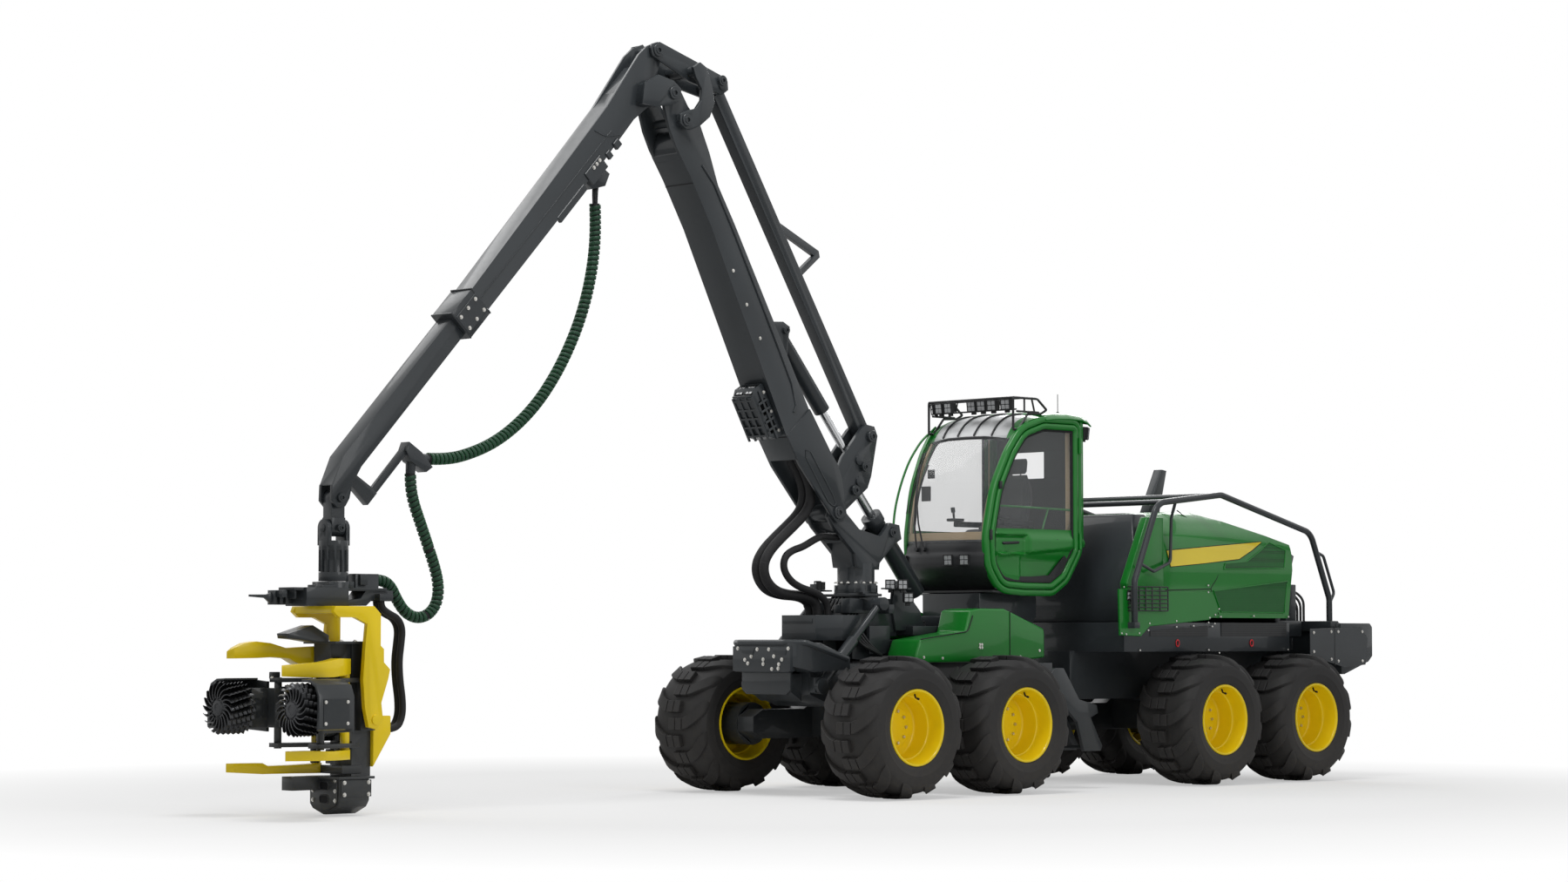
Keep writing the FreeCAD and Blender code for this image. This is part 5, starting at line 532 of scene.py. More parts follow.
DISC_DEPTH = 0.008
for number in range(1, 5):
    for outward, side_name in SIDES:
        node = f"wheel_{number}_{side_name}"
        low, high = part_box(node)
        centre = (Vector(low) + Vector(high)) / 2
        tyre = shown(node + "_tyre", tyre_mesh(centre), node, "tyre_rubber", rubber)
        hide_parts(node)
        shown(node + "_rim", rim_mesh(centre, outward, DISC_DEPTH), node, *YELLOW_STEEL)
        shown(node + "_bolts", wheel_fittings(centre, outward, DISC_DEPTH), node, *ZINC)
        shown(node + "_valve", valve_mesh(centre, outward), node, "hose_rubber", valve_black)

# ------------------------------------------------------------------------------------------------------
# Cab frame: bent steel tube and pressings in glossy green. A D-shaped ring stands round the door and
# round the fixed side window across from it, with posts at the rear and a crowned roof on top.
# ------------------------------------------------------------------------------------------------------
GREEN = (0.006, 0.185, 0.018)
green_gloss = painted("green_gloss", GREEN, 0.34, coat=0.35, dust=0.05, shift=0.06)
GREEN_SHEET = ("green_paint", green_gloss)
gasket = painted("gasket_black", (0.012, 0.012, 0.013), 0.6, dust=0.02)
RUBBER_SEAL = ("hose_rubber", gasket)
trim_black = painted("moulded_black", (0.022, 0.023, 0.025), 0.42, coat=0.1, dust=0.08, peel=0.05)
BLACK_TRIM = ("hose_rubber", trim_black)
BLACK_PANEL = ("graphite_paint", trim_black)
SEAT_PLASTIC = ("seat_fabric", trim_black)
cab_low = Vector(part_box("cab_shell")[0])
SIDE = 0.620
NOSE_SIDE = 0.545
DOOR_OUTLINE = [(0.105, 0.43), (0.105, 1.70), (0.62, 1.70), (0.92, 1.605), (1.085, 1.385), (1.26, 1.035),
                (1.355, 0.555), (1.335, 0.26), (1.20, 0.055), (0.90, 0.035), (0.50, 0.035), (0.30, 0.15)]
DOOR_CORNERS = [0.10, 0.09, 0.25, 0.30, 0.60, 1.0, 0.7, 0.30, 0.20, 0.30, 0.16, 0.24]
BELT = 0.635


def cab_point(u, y, w):
    """A place in the cab: u forward from its rear wall, w up from its floor."""
    return Vector((cab_low.x + u, y, cab_low.z + w))


def in_cab(*places):
    return [cab_point(*place) for place in places]


def side_wall(u):
    """How far the side wall stands out. It draws in towards the nose."""
    return SIDE - (SIDE - NOSE_SIDE) * max(0.0, min(1.0, (u - 0.86) / 0.56)) ** 1.4


def corner_arc(start, corner, end, steps):
    """The points of a curve that leaves one line at start and meets the next at end."""
    shares = [n / steps for n in range(steps + 1)]
    return [start * (1 - t) ** 2 + corner * 2 * t * (1 - t) + end * t ** 2 for t in shares]


def rounded(points, radii, steps=6):
    """A closed outline with each corner rounded by its own radius."""
    out = []
    count = len(points)
    for k in range(count):
        before, corner, after = (Vector(points[(k + d) % count]) for d in (-1, 0, 1))
        to_before, to_after = (before - corner).normalized(), (after - corner).normalized()
        half = to_before.angle(to_after) / 2
        reach = min(radii[k] / math.tan(half), 0.48 * (before - corner).length,
                    0.48 * (after - corner).length)
        out += corner_arc(corner + to_before * reach, corner, corner + to_after * reach, steps)
    return out


def drawn_in(outline, inset):
    """The outline moved inwards along its normals."""
    count = len(outline)
    out = []
    for k in range(count):
        way = (outline[(k + 1) % count] - outline[k - 1]).normalized()
        out.append(outline[k] + Vector((way.y, -way.x)) * inset)
    return out


def span(outline, u):
    """The lowest and highest place of an outline at one u."""
    cuts = []
    for a, b in zip(outline, outline[1:] + outline[:1]):
        if (a.x - u) * (b.x - u) <= 0 and abs(a.x - b.x) > 1e-9:
            cuts.append(a.y + (b.y - a.y) * (u - a.x) / (b.x - a.x))
    return min(cuts), max(cuts)


def ring_mesh(outline, section, side):
    """A section of (inset, stand-out) points swept round an outline on the cab's side wall."""
    form = bmesh.new()
    rings = [[form.verts.new(cab_point(p.x, side * (side_wall(p.x) + proud), p.y))
              for p in drawn_in(outline, inset)] for inset, proud in section]
    skinned(form, rings, round_again=True, capped=False)
    return finished(form, 50)


def sheet_mesh(rows, thickness):
    """A closed sheet: rows of points for its middle face, and a wall of even thickness round it."""
    form = bmesh.new()
    grid = [[form.verts.new(p) for p in row] for row in rows]
    for a, b in zip(grid, grid[1:]):
        for k in range(len(a) - 1):
            form.faces.new((a[k], a[k + 1], b[k + 1], b[k]))
    bmesh.ops.remove_doubles(form, verts=form.verts, dist=0.0002)
    holder = linked("sheet", finished(form))
    wall = holder.modifiers.new("wall", "SOLIDIFY")
    wall.thickness = thickness
    wall.offset = 0.0
    done = worked_out(holder)
    bpy.data.objects.remove(holder)
    return creased(done, 40)


def sheet(name, node, finish, rows, thickness):
    return shown(name, sheet_mesh(rows, thickness), node, *finish)


def fluid(a, b, x):
    """A soft step from 0 at a to 1 at b."""
    t = max(0.0, min(1.0, (x - a) / (b - a)))
    return t * t * (3 - 2 * t)


door_outline = rounded(DOOR_OUTLINE, DOOR_CORNERS)
FRAME_RING = [(-0.060, -0.035), (-0.062, -0.004), (-0.052, 0.010), (-0.030, 0.017), (-0.010, 0.014),
              (0.0, 0.004), (0.002, -0.035)]
DOOR_RING = [(0.006, -0.030), (0.007, 0.008), (0.016, 0.019), (0.036, 0.022), (0.056, 0.014), (0.066, -0.002),
             (0.068, -0.030)]
SEAL_RING = [(0.066, -0.028), (0.066, -0.006), (0.074, -0.002), (0.088, -0.010), (0.090, -0.028)]
frame_ring_left = shown("cab_ring_left", ring_mesh(door_outline, FRAME_RING, 1), "cab_shell", *GREEN_SHEET)
shown("cab_ring_right", ring_mesh(door_outline, FRAME_RING, -1), "cab_shell", *GREEN_SHEET)
shown("cab_window_ring_right", ring_mesh(door_outline, DOOR_RING, -1), "cab_shell", *GREEN_SHEET)
shown("cab_seal_right", ring_mesh(door_outline, SEAL_RING, -1), "cab_shell", *RUBBER_SEAL)
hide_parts("cab_shell")
door_ring = shown("door_ring", ring_mesh(door_outline, DOOR_RING, 1), "door", *GREEN_SHEET)
shown("door_seal", ring_mesh(door_outline, SEAL_RING, 1), "door", *RUBBER_SEAL)
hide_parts("door")


# ------------------------------------------------------------------------------------------------------
# Door foot: one pressed green panel with a hand recess at its front, a ledge that runs back from it and
# a hollow flank below. The same pressing, without the recess, closes the other side of the cab.
# ------------------------------------------------------------------------------------------------------
FOOT_COLUMNS, FOOT_ROWS = 72, 48


def door_foot(side, recess):
    """The pressing's sheet, as columns from the rear to the front and places from the bottom up."""
    inner = drawn_in(door_outline, 0.070)
    low_u, high_u = min(p.x for p in inner) + 0.0005, max(p.x for p in inner) - 0.0005
    rows = []
    for k in range(FOOT_COLUMNS + 1):
        u = low_u + (high_u - low_u) * k / FOOT_COLUMNS
        low, high = span(inner, u)
        high = min(high, BELT)
        if high - low < 0.002:
            continue
        row = []
        for n in range(FOOT_ROWS + 1):
            w = low + (high - low) * n / FOOT_ROWS
            edge = min(1.0, (u - low_u) / 0.05, (high_u - u) / 0.03, max(0.0, (w - low) / 0.05))
            proud = -0.022 + 0.012 * edge
            ledge_low = 0.37 + 0.08 * (0.95 - u)
            ledge = fluid(ledge_low, ledge_low + 0.035, w) * fluid(BELT - 0.02, BELT - 0.12, w)
            proud += 0.050 * ledge * edge
            proud -= 0.030 * fluid(0.36, 0.30, abs(u - 0.62)) * fluid(0.20, 0.12, abs(w - 0.20)) * edge
            if recess:
                inside = (fluid(0.86, 0.89, u) * fluid(1.28, 1.25, u)
                          * fluid(0.385, 0.40, w) * fluid(0.585, 0.565, w))
                proud -= 0.055 * inside * edge
            row.append(cab_point(u, side * (side_wall(u) + proud), w))
        rows.append(row)
    return sheet_mesh(rows, 0.010)


def bars(name, node, finish, runs, sides=10, smooth=True):
    """Round bars, each run a list of points and a radius, with closed ends."""
    form = bmesh.new()
    for points, radius in runs:
        points = [Vector(p) for p in points]
        skinned(form, [circle(form, spot, across, over, radius, sides)
                       for spot, (_, across, over) in zip(points, carried_frames(points))])
    return shown(name, finished(form, 50 if smooth else None), node, *finish)


def bent(points, radius, steps=5):
    """An open line with its corners rounded."""
    points = [Vector(p) for p in points]
    out = [points[0]]
    for before, corner, after in zip(points, points[1:], points[2:]):
        reach = min(radius, 0.45 * (before - corner).length, 0.45 * (after - corner).length)
        start = corner + (before - corner).normalized() * reach
        end = corner + (after - corner).normalized() * reach
        out += corner_arc(start, corner, end, steps)
    return out + [points[-1]]


def cushion_box(form, low, high, ease=0.01):
    """A block with broken edges, added to a form."""
    made = bmesh.ops.create_cube(form, size=1.0)["verts"]
    middle, size = (Vector(low) + Vector(high)) / 2, Vector(high) - Vector(low)
    for vert in made:
        vert.co = Vector((vert.co.x * size.x, vert.co.y * size.y, vert.co.z * size.z)) + middle
    edges = list(dict.fromkeys(e for v in made for e in v.link_edges))
    bmesh.ops.bevel(form, geom=edges, offset=min(ease, 0.3 * min(size)), segments=2, profile=0.6,
                    affect="EDGES")


def blocks(name, node, finish, corners, ease=0.008):
    form = bmesh.new()
    for low, high in corners:
        cushion_box(form, low, high, ease)
    return shown(name, finished(form, 40, outward=False), node, *finish)


shown("door_foot", door_foot(1, True), "door", *GREEN_SHEET)
shown("cab_foot_right", door_foot(-1, False), "cab_shell", *GREEN_SHEET)
handle_y = side_wall(1.07) + 0.004
handle = in_cab((0.97, handle_y - 0.04, 0.50), (0.97, handle_y, 0.50), (1.17, handle_y - 0.012, 0.49),
                (1.17, handle_y - 0.05, 0.49))
bars("door_handle", "door", BLACK_TRIM, [(bent(handle, 0.02), 0.014)])
bars("door_lock", "door", BLACK_TRIM, [
    (in_cab((0.84, side_wall(0.84) + 0.02, 0.43), (0.84, side_wall(0.84) + 0.036, 0.43)), 0.014),
    (in_cab((0.46, side_wall(0.46) + 0.02, 0.53), (0.46, side_wall(0.46) + 0.040, 0.53)), 0.012)])
hinge_u = 0.095
hinges = [(in_cab((hinge_u, SIDE + 0.022, w), (hinge_u, SIDE + 0.022, w + 0.11)), 0.018)
          for w in (0.495, 1.455)]
bars("door_hinge_eyes", "door", GREEN_SHEET, hinges)
pivots = [(in_cab((hinge_u, SIDE + 0.022, w - 0.05), (hinge_u, SIDE + 0.022, w - 0.002)), 0.018)
          for w in (0.495, 1.455)]
bars("cab_hinge_pins", "cab_shell", GREEN_SHEET, pivots)

# ------------------------------------------------------------------------------------------------------
# Panes: clear polycarbonate. The windscreen wraps from ring to ring, the door has its own pane, and a
# tall narrow pane closes each rear corner of the cab.
# ------------------------------------------------------------------------------------------------------
clear_pane, tree, shader, place = new_finish("clear_pane")
CLEAR = ("cab_window", clear_pane)
shader.inputs["Base Color"].default_value = (0.30, 0.32, 0.33, 1)
shader.inputs["Alpha"].default_value = 0.13
shader.inputs["Specular IOR Level"].default_value = 1.0
clouding = added(tree, "ShaderNodeTexNoise", {"Scale": 3.0, "Vector": place})
gloss = added(tree, "ShaderNodeMapRange", {"To Min": 0.02, "To Max": 0.07, "Value": clouding.outputs["Fac"]})
tree.links.new(gloss.outputs["Result"], shader.inputs["Roughness"])


def side_pane(side):
    inner = drawn_in(door_outline, 0.078)
    low_u, high_u = min(p.x for p in inner) + 0.0005, max(p.x for p in inner) - 0.0005
    rows = []
    for k in range(49):
        u = low_u + (high_u - low_u) * k / 48
        low, high = span(inner, u)
        low = max(low, BELT - 0.01)
        if high - low > 0.004:
            rows.append([cab_point(u, side * (side_wall(u) - 0.018), low + (high - low) * n / 6)
                         for n in range(7)])
    return sheet_mesh(rows, 0.008)


ring_front = [(0.46, 1.366), (0.70, 1.345), (0.95, 1.285), (1.20, 1.185), (1.40, 1.075), (1.55, 0.965),
              (1.66, 0.86)]


def along_ring(w):
    """How far forward the ring's front edge stands at a height."""
    for (w0, u0), (w1, u1) in zip(ring_front, ring_front[1:]):
        if w <= w1:
            return u0 + (u1 - u0) * (w - w0) / (w1 - w0)
    return ring_front[-1][1]


def nose(y, w, bulge=0.085):
    """The curved front of the cab, between the two rings."""
    u = along_ring(max(w, 0.46)) + 0.03
    half = side_wall(u) - 0.012
    return cab_point(u + bulge * (1 - min(1.0, abs(y) / half) ** 2.4), y, w)


def nose_rows(low, high, edge, bulge=0.085, across=32, up=18):
    rows = []
    for n in range(up + 1):
        w = low + (high - low) * n / up
        half = side_wall(along_ring(max(w, 0.46)) + 0.03) - edge
        rows.append([nose(half * (2 * k / across - 1), w, bulge) for k in range(across + 1)])
    return rows


door_pane = shown("door_pane", side_pane(1), "door_glass", *CLEAR)
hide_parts("door_glass")
windscreen = sheet("windscreen", "cab_glass", CLEAR, nose_rows(0.50, 1.56, 0.012), 0.008)
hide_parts("cab_glass")
shown("right_pane", side_pane(-1), "cab_glass", *CLEAR)
for side, side_name in SIDES:
    rows = [[cab_point(-0.050 + 0.105 * math.sin(math.pi / 2 * k / 6),
                       side * (SIDE - 0.015 - 0.075 * (1 - math.cos(math.pi / 2 * (6 - k) / 6))), w)
             for k in range(7)] for w in (0.56, 0.9, 1.3, 1.60)]
    sheet(f"corner_pane_{side_name}", "cab_glass", CLEAR, rows, 0.007)
bars("belt_rail_left", "door", GREEN_SHEET, [
    ([cab_point(u, side_wall(u) - 0.035, BELT + 0.20 + 0.02 * u) for u in (0.19, 0.5, 0.9, 1.25)], 0.011),
    (in_cab((0.52, SIDE - 0.035, BELT + 0.20), (0.60, SIDE - 0.035, BELT + 0.005)), 0.010)])

# ------------------------------------------------------------------------------------------------------
# Cab foot and rear: a moulded black bumper that wraps the nose below the windscreen, a pressed floor
# tray, green rear posts with sills, and a dark rear wall with a small window.
# ------------------------------------------------------------------------------------------------------
rows = []
for n in range(25):
    w = 0.005 + 0.515 * n / 24
    row = []
    for k in range(41):
        t = 2 * k / 40 - 1
        tuck = 0.30 * fluid(0.30, 0.0, w) ** 1.3
        shelf = 0.022 * fluid(0.40, 0.37, w) - 0.02 * fluid(0.44, 0.52, w)
        u = along_ring(max(w, 0.46)) + 0.02
        half = side_wall(u) - 0.010
        front = u + 0.105 * (1 - abs(t) ** 2.6) - tuck * (1 - 0.15 * abs(t)) + shelf
        row.append(cab_point(front, half * t, w))
    rows.append(row)
sheet("cab_nose_panel", "cab_shell", BLACK_PANEL, rows, 0.012)
tray = []
for u, w in ((1.30, 0.018), (1.05, 0.0), (0.53, 0.0), (0.36, 0.155), (0.19, 0.315), (0.07, 0.46)):
    tray.append([cab_point(u, (side_wall(u) - 0.012) * (2 * k / 12 - 1), w) for k in range(13)])
sheet("cab_tray", "cab_shell", BLACK_PANEL, tray, 0.02)
for side, side_name in SIDES:
    rows = []
    for u, low in ((0.045, 0.50), (0.10, 0.44), (0.20, 0.33), (0.36, 0.17), (0.53, 0.02), (0.80, 0.005),
                   (1.10, 0.005), (1.26, 0.04)):
        rows.append([cab_point(u, side * (side_wall(u) - 0.018), low + 0.16 * n / 4) for n in range(5)])
    sheet(f"cab_flank_{side_name}", "cab_shell", BLACK_PANEL, rows, 0.018)
POST_WIDTH = 0.074
posts = [in_cab((0.012, low, 0.50), (0.060, low + POST_WIDTH, 1.78))
         for low in (SIDE - 0.004 - POST_WIDTH, -SIDE + 0.004)]
blocks("cab_posts", "cab_shell", GREEN_SHEET, posts, 0.018)
for side, side_name in SIDES:
    rows = []
    for n in range(9):
        t = n / 8
        inward = 0.02 * (1 - math.sin(math.pi * t))
        rows.append([cab_point(-0.065 + 0.20 * k / 8 + 0.02 * t,
                               side * (SIDE + 0.006 - inward - 0.09 * max(0.0, 1 - k / 4) ** 2),
                               0.47 + 0.085 * t) for k in range(9)])
    sheet(f"cab_sill_{side_name}", "cab_shell", GREEN_SHEET, rows, 0.02)
liner_grey = painted("liner_grey", (0.085, 0.085, 0.088), 0.75, dust=0.0, peel=0.05)
WINDOW = ((-0.36, 0.10), (1.18, 1.45))
wall_blocks = [
    ((0.0, -0.56, 0.50), (0.035, 0.56, WINDOW[1][0])), ((0.0, -0.56, WINDOW[1][1]), (0.035, 0.56, 1.76)),
    ((0.0, -0.56, WINDOW[1][0] - 0.01), (0.035, WINDOW[0][0], WINDOW[1][1] + 0.01)),
    ((0.0, WINDOW[0][1], WINDOW[1][0] - 0.01), (0.035, 0.56, WINDOW[1][1] + 0.01))]
wall_blocks = [(cab_point(*low), cab_point(*high)) for low, high in wall_blocks]
blocks("cab_rear_wall", "cab_shell", ("graphite_paint", liner_grey), wall_blocks, 0.004)
trim_beige = painted("liner_beige", (0.62, 0.47, 0.29), 0.6, dust=0.0, shift=0.05)
BEIGE_LINER = ("seat_fabric", trim_beige)
rows = [[nose(side_wall(1.3) * 0.93 * (2 * k / 24 - 1), w, 0.055) - Vector((0.03, 0, 0)) for k in range(25)]
        for w in (0.47, 0.53, 0.585, 0.60)]
sheet("dash_trim", "cab_shell", BEIGE_LINER, rows, 0.012)
for side, side_name in SIDES:
    rows = []
    for n in range(15):
        w = 0.60 + 0.98 * n / 14
        u = along_ring(w) - 0.030
        rows.append([cab_point(u + 0.055 * t, side * (side_wall(u) - 0.045 - 0.03 * t), w)
                     for t in (0.0, 0.5, 1.0)])
    sheet(f"pillar_trim_{side_name}", "cab_shell", BEIGE_LINER, rows, 0.012)
    rows = [[cab_point(0.13 + 0.05 * t, side * (SIDE - 0.05 - 0.05 * t), w) for t in (0.0, 0.5, 1.0)]
            for w in (0.50, 0.9, 1.3, 1.55, 1.66)]
    sheet(f"post_trim_{side_name}", "cab_shell", BEIGE_LINER, rows, 0.012)

# ------------------------------------------------------------------------------------------------------
# Roof: a pressed green skin with a rolled lip, and in front a milky roof window over the operator, held
# by four curved black bars.
# ------------------------------------------------------------------------------------------------------
ROOF_PROFILE = [(-0.075, 1.735), (-0.070, 1.772), (-0.02, 1.805), (0.06, 1.825), (0.25, 1.830), (0.45, 1.822),
                (0.60, 1.806)]
rows = []
for u, w in ROOF_PROFILE:
    row = []
    for k in range(33):
        t = 2 * k / 32 - 1
        drop = 0.05 * abs(t) ** 3 + 0.035 * fluid(0.93, 1.0, abs(t))
        row.append(cab_point(u, (side_wall(u) + 0.022) * t, w - drop * (0.6 if w < 1.75 else 1.0)))
    rows.append(row)
sheet("cab_roof", "cab_shell", GREEN_SHEET, rows, 0.016)
milky, tree, shader, place = new_finish("roof_pane")
shader.inputs["Roughness"].default_value = 0.25
shader.inputs["Alpha"].default_value = 0.75
clouding = added(tree, "ShaderNodeTexNoise", {"Scale": 2.0, "Vector": place})
tone = added(tree, "ShaderNodeValToRGB", {"Fac": clouding.outputs["Fac"]})
tone.color_ramp.elements[0].color = (0.70, 0.71, 0.72, 1)
tone.color_ramp.elements[1].color = (0.86, 0.87, 0.88, 1)
tree.links.new(tone.outputs["Color"], shader.inputs["Base Color"])


def brow(y, t):
    """The curved brow between the windscreen's top and the roof: t runs from 0 at the screen to 1."""
    u = 0.995 * (1 - t) + 0.60 * t + 0.055 * math.sin(math.pi * t)
    w = 1.56 + 0.235 * math.sin(math.pi / 2 * t) ** 0.9
    half = 0.585
    bulge = 0.085 * (1 - t) * (1 - min(1.0, abs(y) / half) ** 2.4)
    return cab_point(u + bulge, y, w - 0.05 * abs(y / half) ** 3)


rows = [[brow(0.50 * (2 * k / 20 - 1), n / 10) for k in range(21)] for n in range(11)]
sheet("roof_window", "cab_glass", ("cab_window", milky), rows, 0.010)
for side, side_name in SIDES:
    rows = [[brow(side * (0.495 + 0.105 * k / 4), n / 10) for k in range(5)] for n in range(11)]
    sheet(f"cab_brow_{side_name}", "cab_shell", GREEN_SHEET, rows, 0.02)
ribs = [([brow(y, n / 10) + Vector((0.008, 0, 0.012)) for n in range(11)], 0.010)
        for y in (-0.33, -0.11, 0.11, 0.33)]
ribs.append(([brow(y, 0.0) + Vector((0.006, 0, -0.01)) for y in (-0.5, -0.25, 0.0, 0.25, 0.5)], 0.016))
bars("roof_window_bars", "cab_shell", BLACK_TRIM, ribs, sides=8)

# ------------------------------------------------------------------------------------------------------
# Work lamps: square cast housings with cooling ribs behind, a rim, and four moulded lenses in front, on
# the roof rack, the cab's nose, the crane's foot and the chassis.
# ------------------------------------------------------------------------------------------------------
lamp_case = painted("lamp_case", (0.016, 0.017, 0.018), 0.45, dust=0.02)
lamp_lens = painted("lamp_lens", (0.36, 0.37, 0.38), 0.12, coat=1.0, dust=0.0, peel=0.6, grain=90.0,
                    shift=0.25)
LAMP_HALF = 0.055


def block_at(form, centre, axes, size, ease):
    """A block with broken edges, turned to three axes."""
    made = bmesh.ops.create_cube(form, size=1.0)["verts"]
    for vert in made:
        local = Vector((vert.co.x * size[0], vert.co.y * size[1], vert.co.z * size[2]))
        vert.co = centre + axes[0] * local.x + axes[1] * local.y + axes[2] * local.z
    edges = list(dict.fromkeys(e for v in made for e in v.link_edges))
    bmesh.ops.bevel(form, geom=edges, offset=ease, segments=1, profile=0.6, affect="EDGES")


def lamps(name, carried_by, spots, half=LAMP_HALF):
    """Lamps at (place, way they face): one mesh for the cases, one for the lenses."""
    cases, lenses = bmesh.new(), bmesh.new()
    for place, facing in spots:
        way = Vector(facing).normalized()
        across = Vector((0, 0, 1)).cross(way).normalized()
        up = way.cross(across)
        axes = (way, across, up)
        block_at(cases, place, axes, (0.045, 2 * half, 2 * half), 0.008)
        for k in range(-2, 3):
            block_at(cases, place - way * 0.038 + across * 0.36 * half * k, axes,
                     (0.045, 0.006, 1.6 * half), 0.001)
        for edge in (-1, 1):
            block_at(cases, place + way * 0.025 + across * half * 0.94 * edge, axes,
                     (0.016, half * 0.14, 2 * half), 0.003)
            block_at(cases, place + way * 0.025 + up * half * 0.94 * edge, axes,
                     (0.016, 2 * half, half * 0.14), 0.003)
        block_at(cases, place - up * (half + 0.014) - way * 0.01, axes, (0.03, half * 0.9, 0.03), 0.003)
        for a in (-1, 1):
            for b in (-1, 1):
                block_at(lenses, place + way * 0.024 + across * half * 0.44 * a + up * half * 0.44 * b, axes,
                         (0.010, half * 0.76, half * 0.76), 0.003)
    for part, form, slot, finish in (("cases", cases, "hose_rubber", lamp_case),
                                     ("lenses", lenses, "cab_window", lamp_lens)):
        shown(f"{name}_{part}", finished(form, 35, outward=False), carried_by, slot, finish)


def plates(name, node, finish, cuts, ease=0.003):
    """Flat plates cut from sheet: each an outline of (x, z) and the two places along Y it lies between."""
    form = bmesh.new()
    for outline, near, far in cuts:
        face = form.faces.new([form.verts.new((x, near, z)) for x, z in outline])
        made = bmesh.ops.extrude_face_region(form, geom=[face])["geom"]
        moved = [v for v in made if isinstance(v, bmesh.types.BMVert)]
        bmesh.ops.translate(form, verts=moved, vec=(0, far - near, 0))
        faces = [f for f in made if isinstance(f, bmesh.types.BMFace)]
        rims = list(dict.fromkeys(e for f in faces + [face] for e in f.edges))
        if ease:
            bmesh.ops.bevel(form, geom=rims, offset=ease, segments=1, profile=0.5, affect="EDGES")
    return shown(name, finished(form, 35), node, *finish)


def paired(outline, near, far):
    """The same plate on both sides, between two distances from the middle."""
    return [(outline, *sorted((side * near, side * far))) for side in (1, -1)]


# ------------------------------------------------------------------------------------------------------
# Roof rack: a light black frame of flat bar over the brow, with holed cheek plates that run back along
# the roof's edges, six lamps between its rails, one at its left corner and one on each rear post.
# ------------------------------------------------------------------------------------------------------
RACK_HALF = 0.575
rack = []
for y in (-RACK_HALF, RACK_HALF):
    cheek = [cab_point(u, y, w) for u, w in ((1.015, 1.62), (1.015, 1.935), (0.66, 1.935), (0.52, 1.83),
                                             (0.60, 1.79), (0.80, 1.78), (0.94, 1.62))]
    rack.append((bent(cheek + [cheek[0]], 0.02), 0.013))
    rack.append((in_cab((0.96, y, 1.80), (0.64, y, 1.80)), 0.012))
    rack.append((in_cab((0.85, y, 1.80), (0.85, y, 1.93)), 0.010))
    rack.append((in_cab((0.70, y, 1.80), (0.74, y, 1.93)), 0.010))
rack.append((in_cab((1.015, -RACK_HALF, 1.935), (1.015, RACK_HALF, 1.935)), 0.012))
rack.append((in_cab((0.80, -RACK_HALF, 1.94), (0.80, RACK_HALF, 1.94)), 0.010))
rack.append((in_cab((0.97, -RACK_HALF, 1.82), (0.97, RACK_HALF, 1.82)), 0.009))
for y in (-0.50, -0.40, -0.18, 0.0, 0.18, 0.40):
    rack.append((in_cab((1.005, y, 1.935), (0.985, y - 0.05, 1.82)), 0.007))
bars("roof_rack", "cab_shell", BLACK_TRIM, rack, sides=6, smooth=False)
roof_spots = [(cab_point(1.03, y, 1.868), (1.0, y * 0.35, -0.12))
              for y in (-0.40, -0.275, 0.045, 0.175, 0.315, 0.50)]
roof_spots += [(cab_point(0.99, -0.52, 1.868), (0.8, -0.6, -0.12)),
               (cab_point(-0.05, 0.585, 1.62), (-0.55, 0.8, -0.1)),
               (cab_point(-0.05, -0.585, 1.62), (-0.55, -0.8, -0.1))]
lamps("roof_lamp", "cab_shell", roof_spots)
nose_spots = [(nose(y, 0.47) + Vector((0.022, 0, -0.145)), (1.0, y * 0.5, -0.05))
              for y in (-0.50, 0.16, 0.35)]
lamps("nose_lamp", "cab_shell", nose_spots)

# ------------------------------------------------------------------------------------------------------
# Wipers, mirror, grab rail and aerial: two long arms on pivots low on the nose that cross on the screen,
# a green tube bowed out past the right pillar, and a whip on the roof.
# ------------------------------------------------------------------------------------------------------
arms = []
for start_y, end_y in ((-0.18, -0.53), (-0.29, -0.49)):
    line = [nose(start_y + (end_y - start_y) * t, 0.44 + 0.86 * t) + Vector((0.035 - 0.012 * t, 0, 0))
            for t in [k / 10 for k in range(11)]]
    arms.append((line, 0.0085))
    blade = [nose(end_y - 0.02, 0.80 + 0.62 * k / 10) + Vector((0.018, 0, 0)) for k in range(11)]
    arms.append((blade, 0.007))
    arms.append(([line[0] - Vector((0.05, 0, 0.01)), line[0] + Vector((0.012, 0, 0))], 0.022))
bars("wipers", "cab_shell", BLACK_TRIM, arms, sides=6)
rail = [cab_point(along_ring(w) + 0.075, y, w) for y, w in ((-0.62, 0.52), (-0.685, 0.60), (-0.70, 0.85),
                                                            (-0.70, 1.10), (-0.695, 1.35), (-0.66, 1.55),
                                                            (-0.60, 1.66), (-0.555, 1.69))]
bars("grab_rail", "cab_shell", GREEN_SHEET, [(bent(rail, 0.12), 0.012)])
bars("aerial", "cab_shell", BLACK_TRIM, [(in_cab((0.10, 0.35, 1.80), (0.10, 0.35, 1.84)), 0.014),
                                         (in_cab((0.10, 0.35, 1.83), (0.10, 0.35, 2.02)), 0.004)])
mirrors = [in_cab((1.17, -0.52, 0.93), (1.185, -0.40, 1.08)),
           in_cab((1.10, -0.50, 1.16), (1.115, -0.41, 1.25))]
blocks("mirrors", "cab_shell", BLACK_TRIM, mirrors, 0.006)
bars("mirror_arms", "cab_shell", BLACK_TRIM, [(bent(in_cab((1.24, -0.545, 0.80), (1.20, -0.52, 1.10),
                                                           (1.10, -0.50, 1.30)), 0.1), 0.008)])
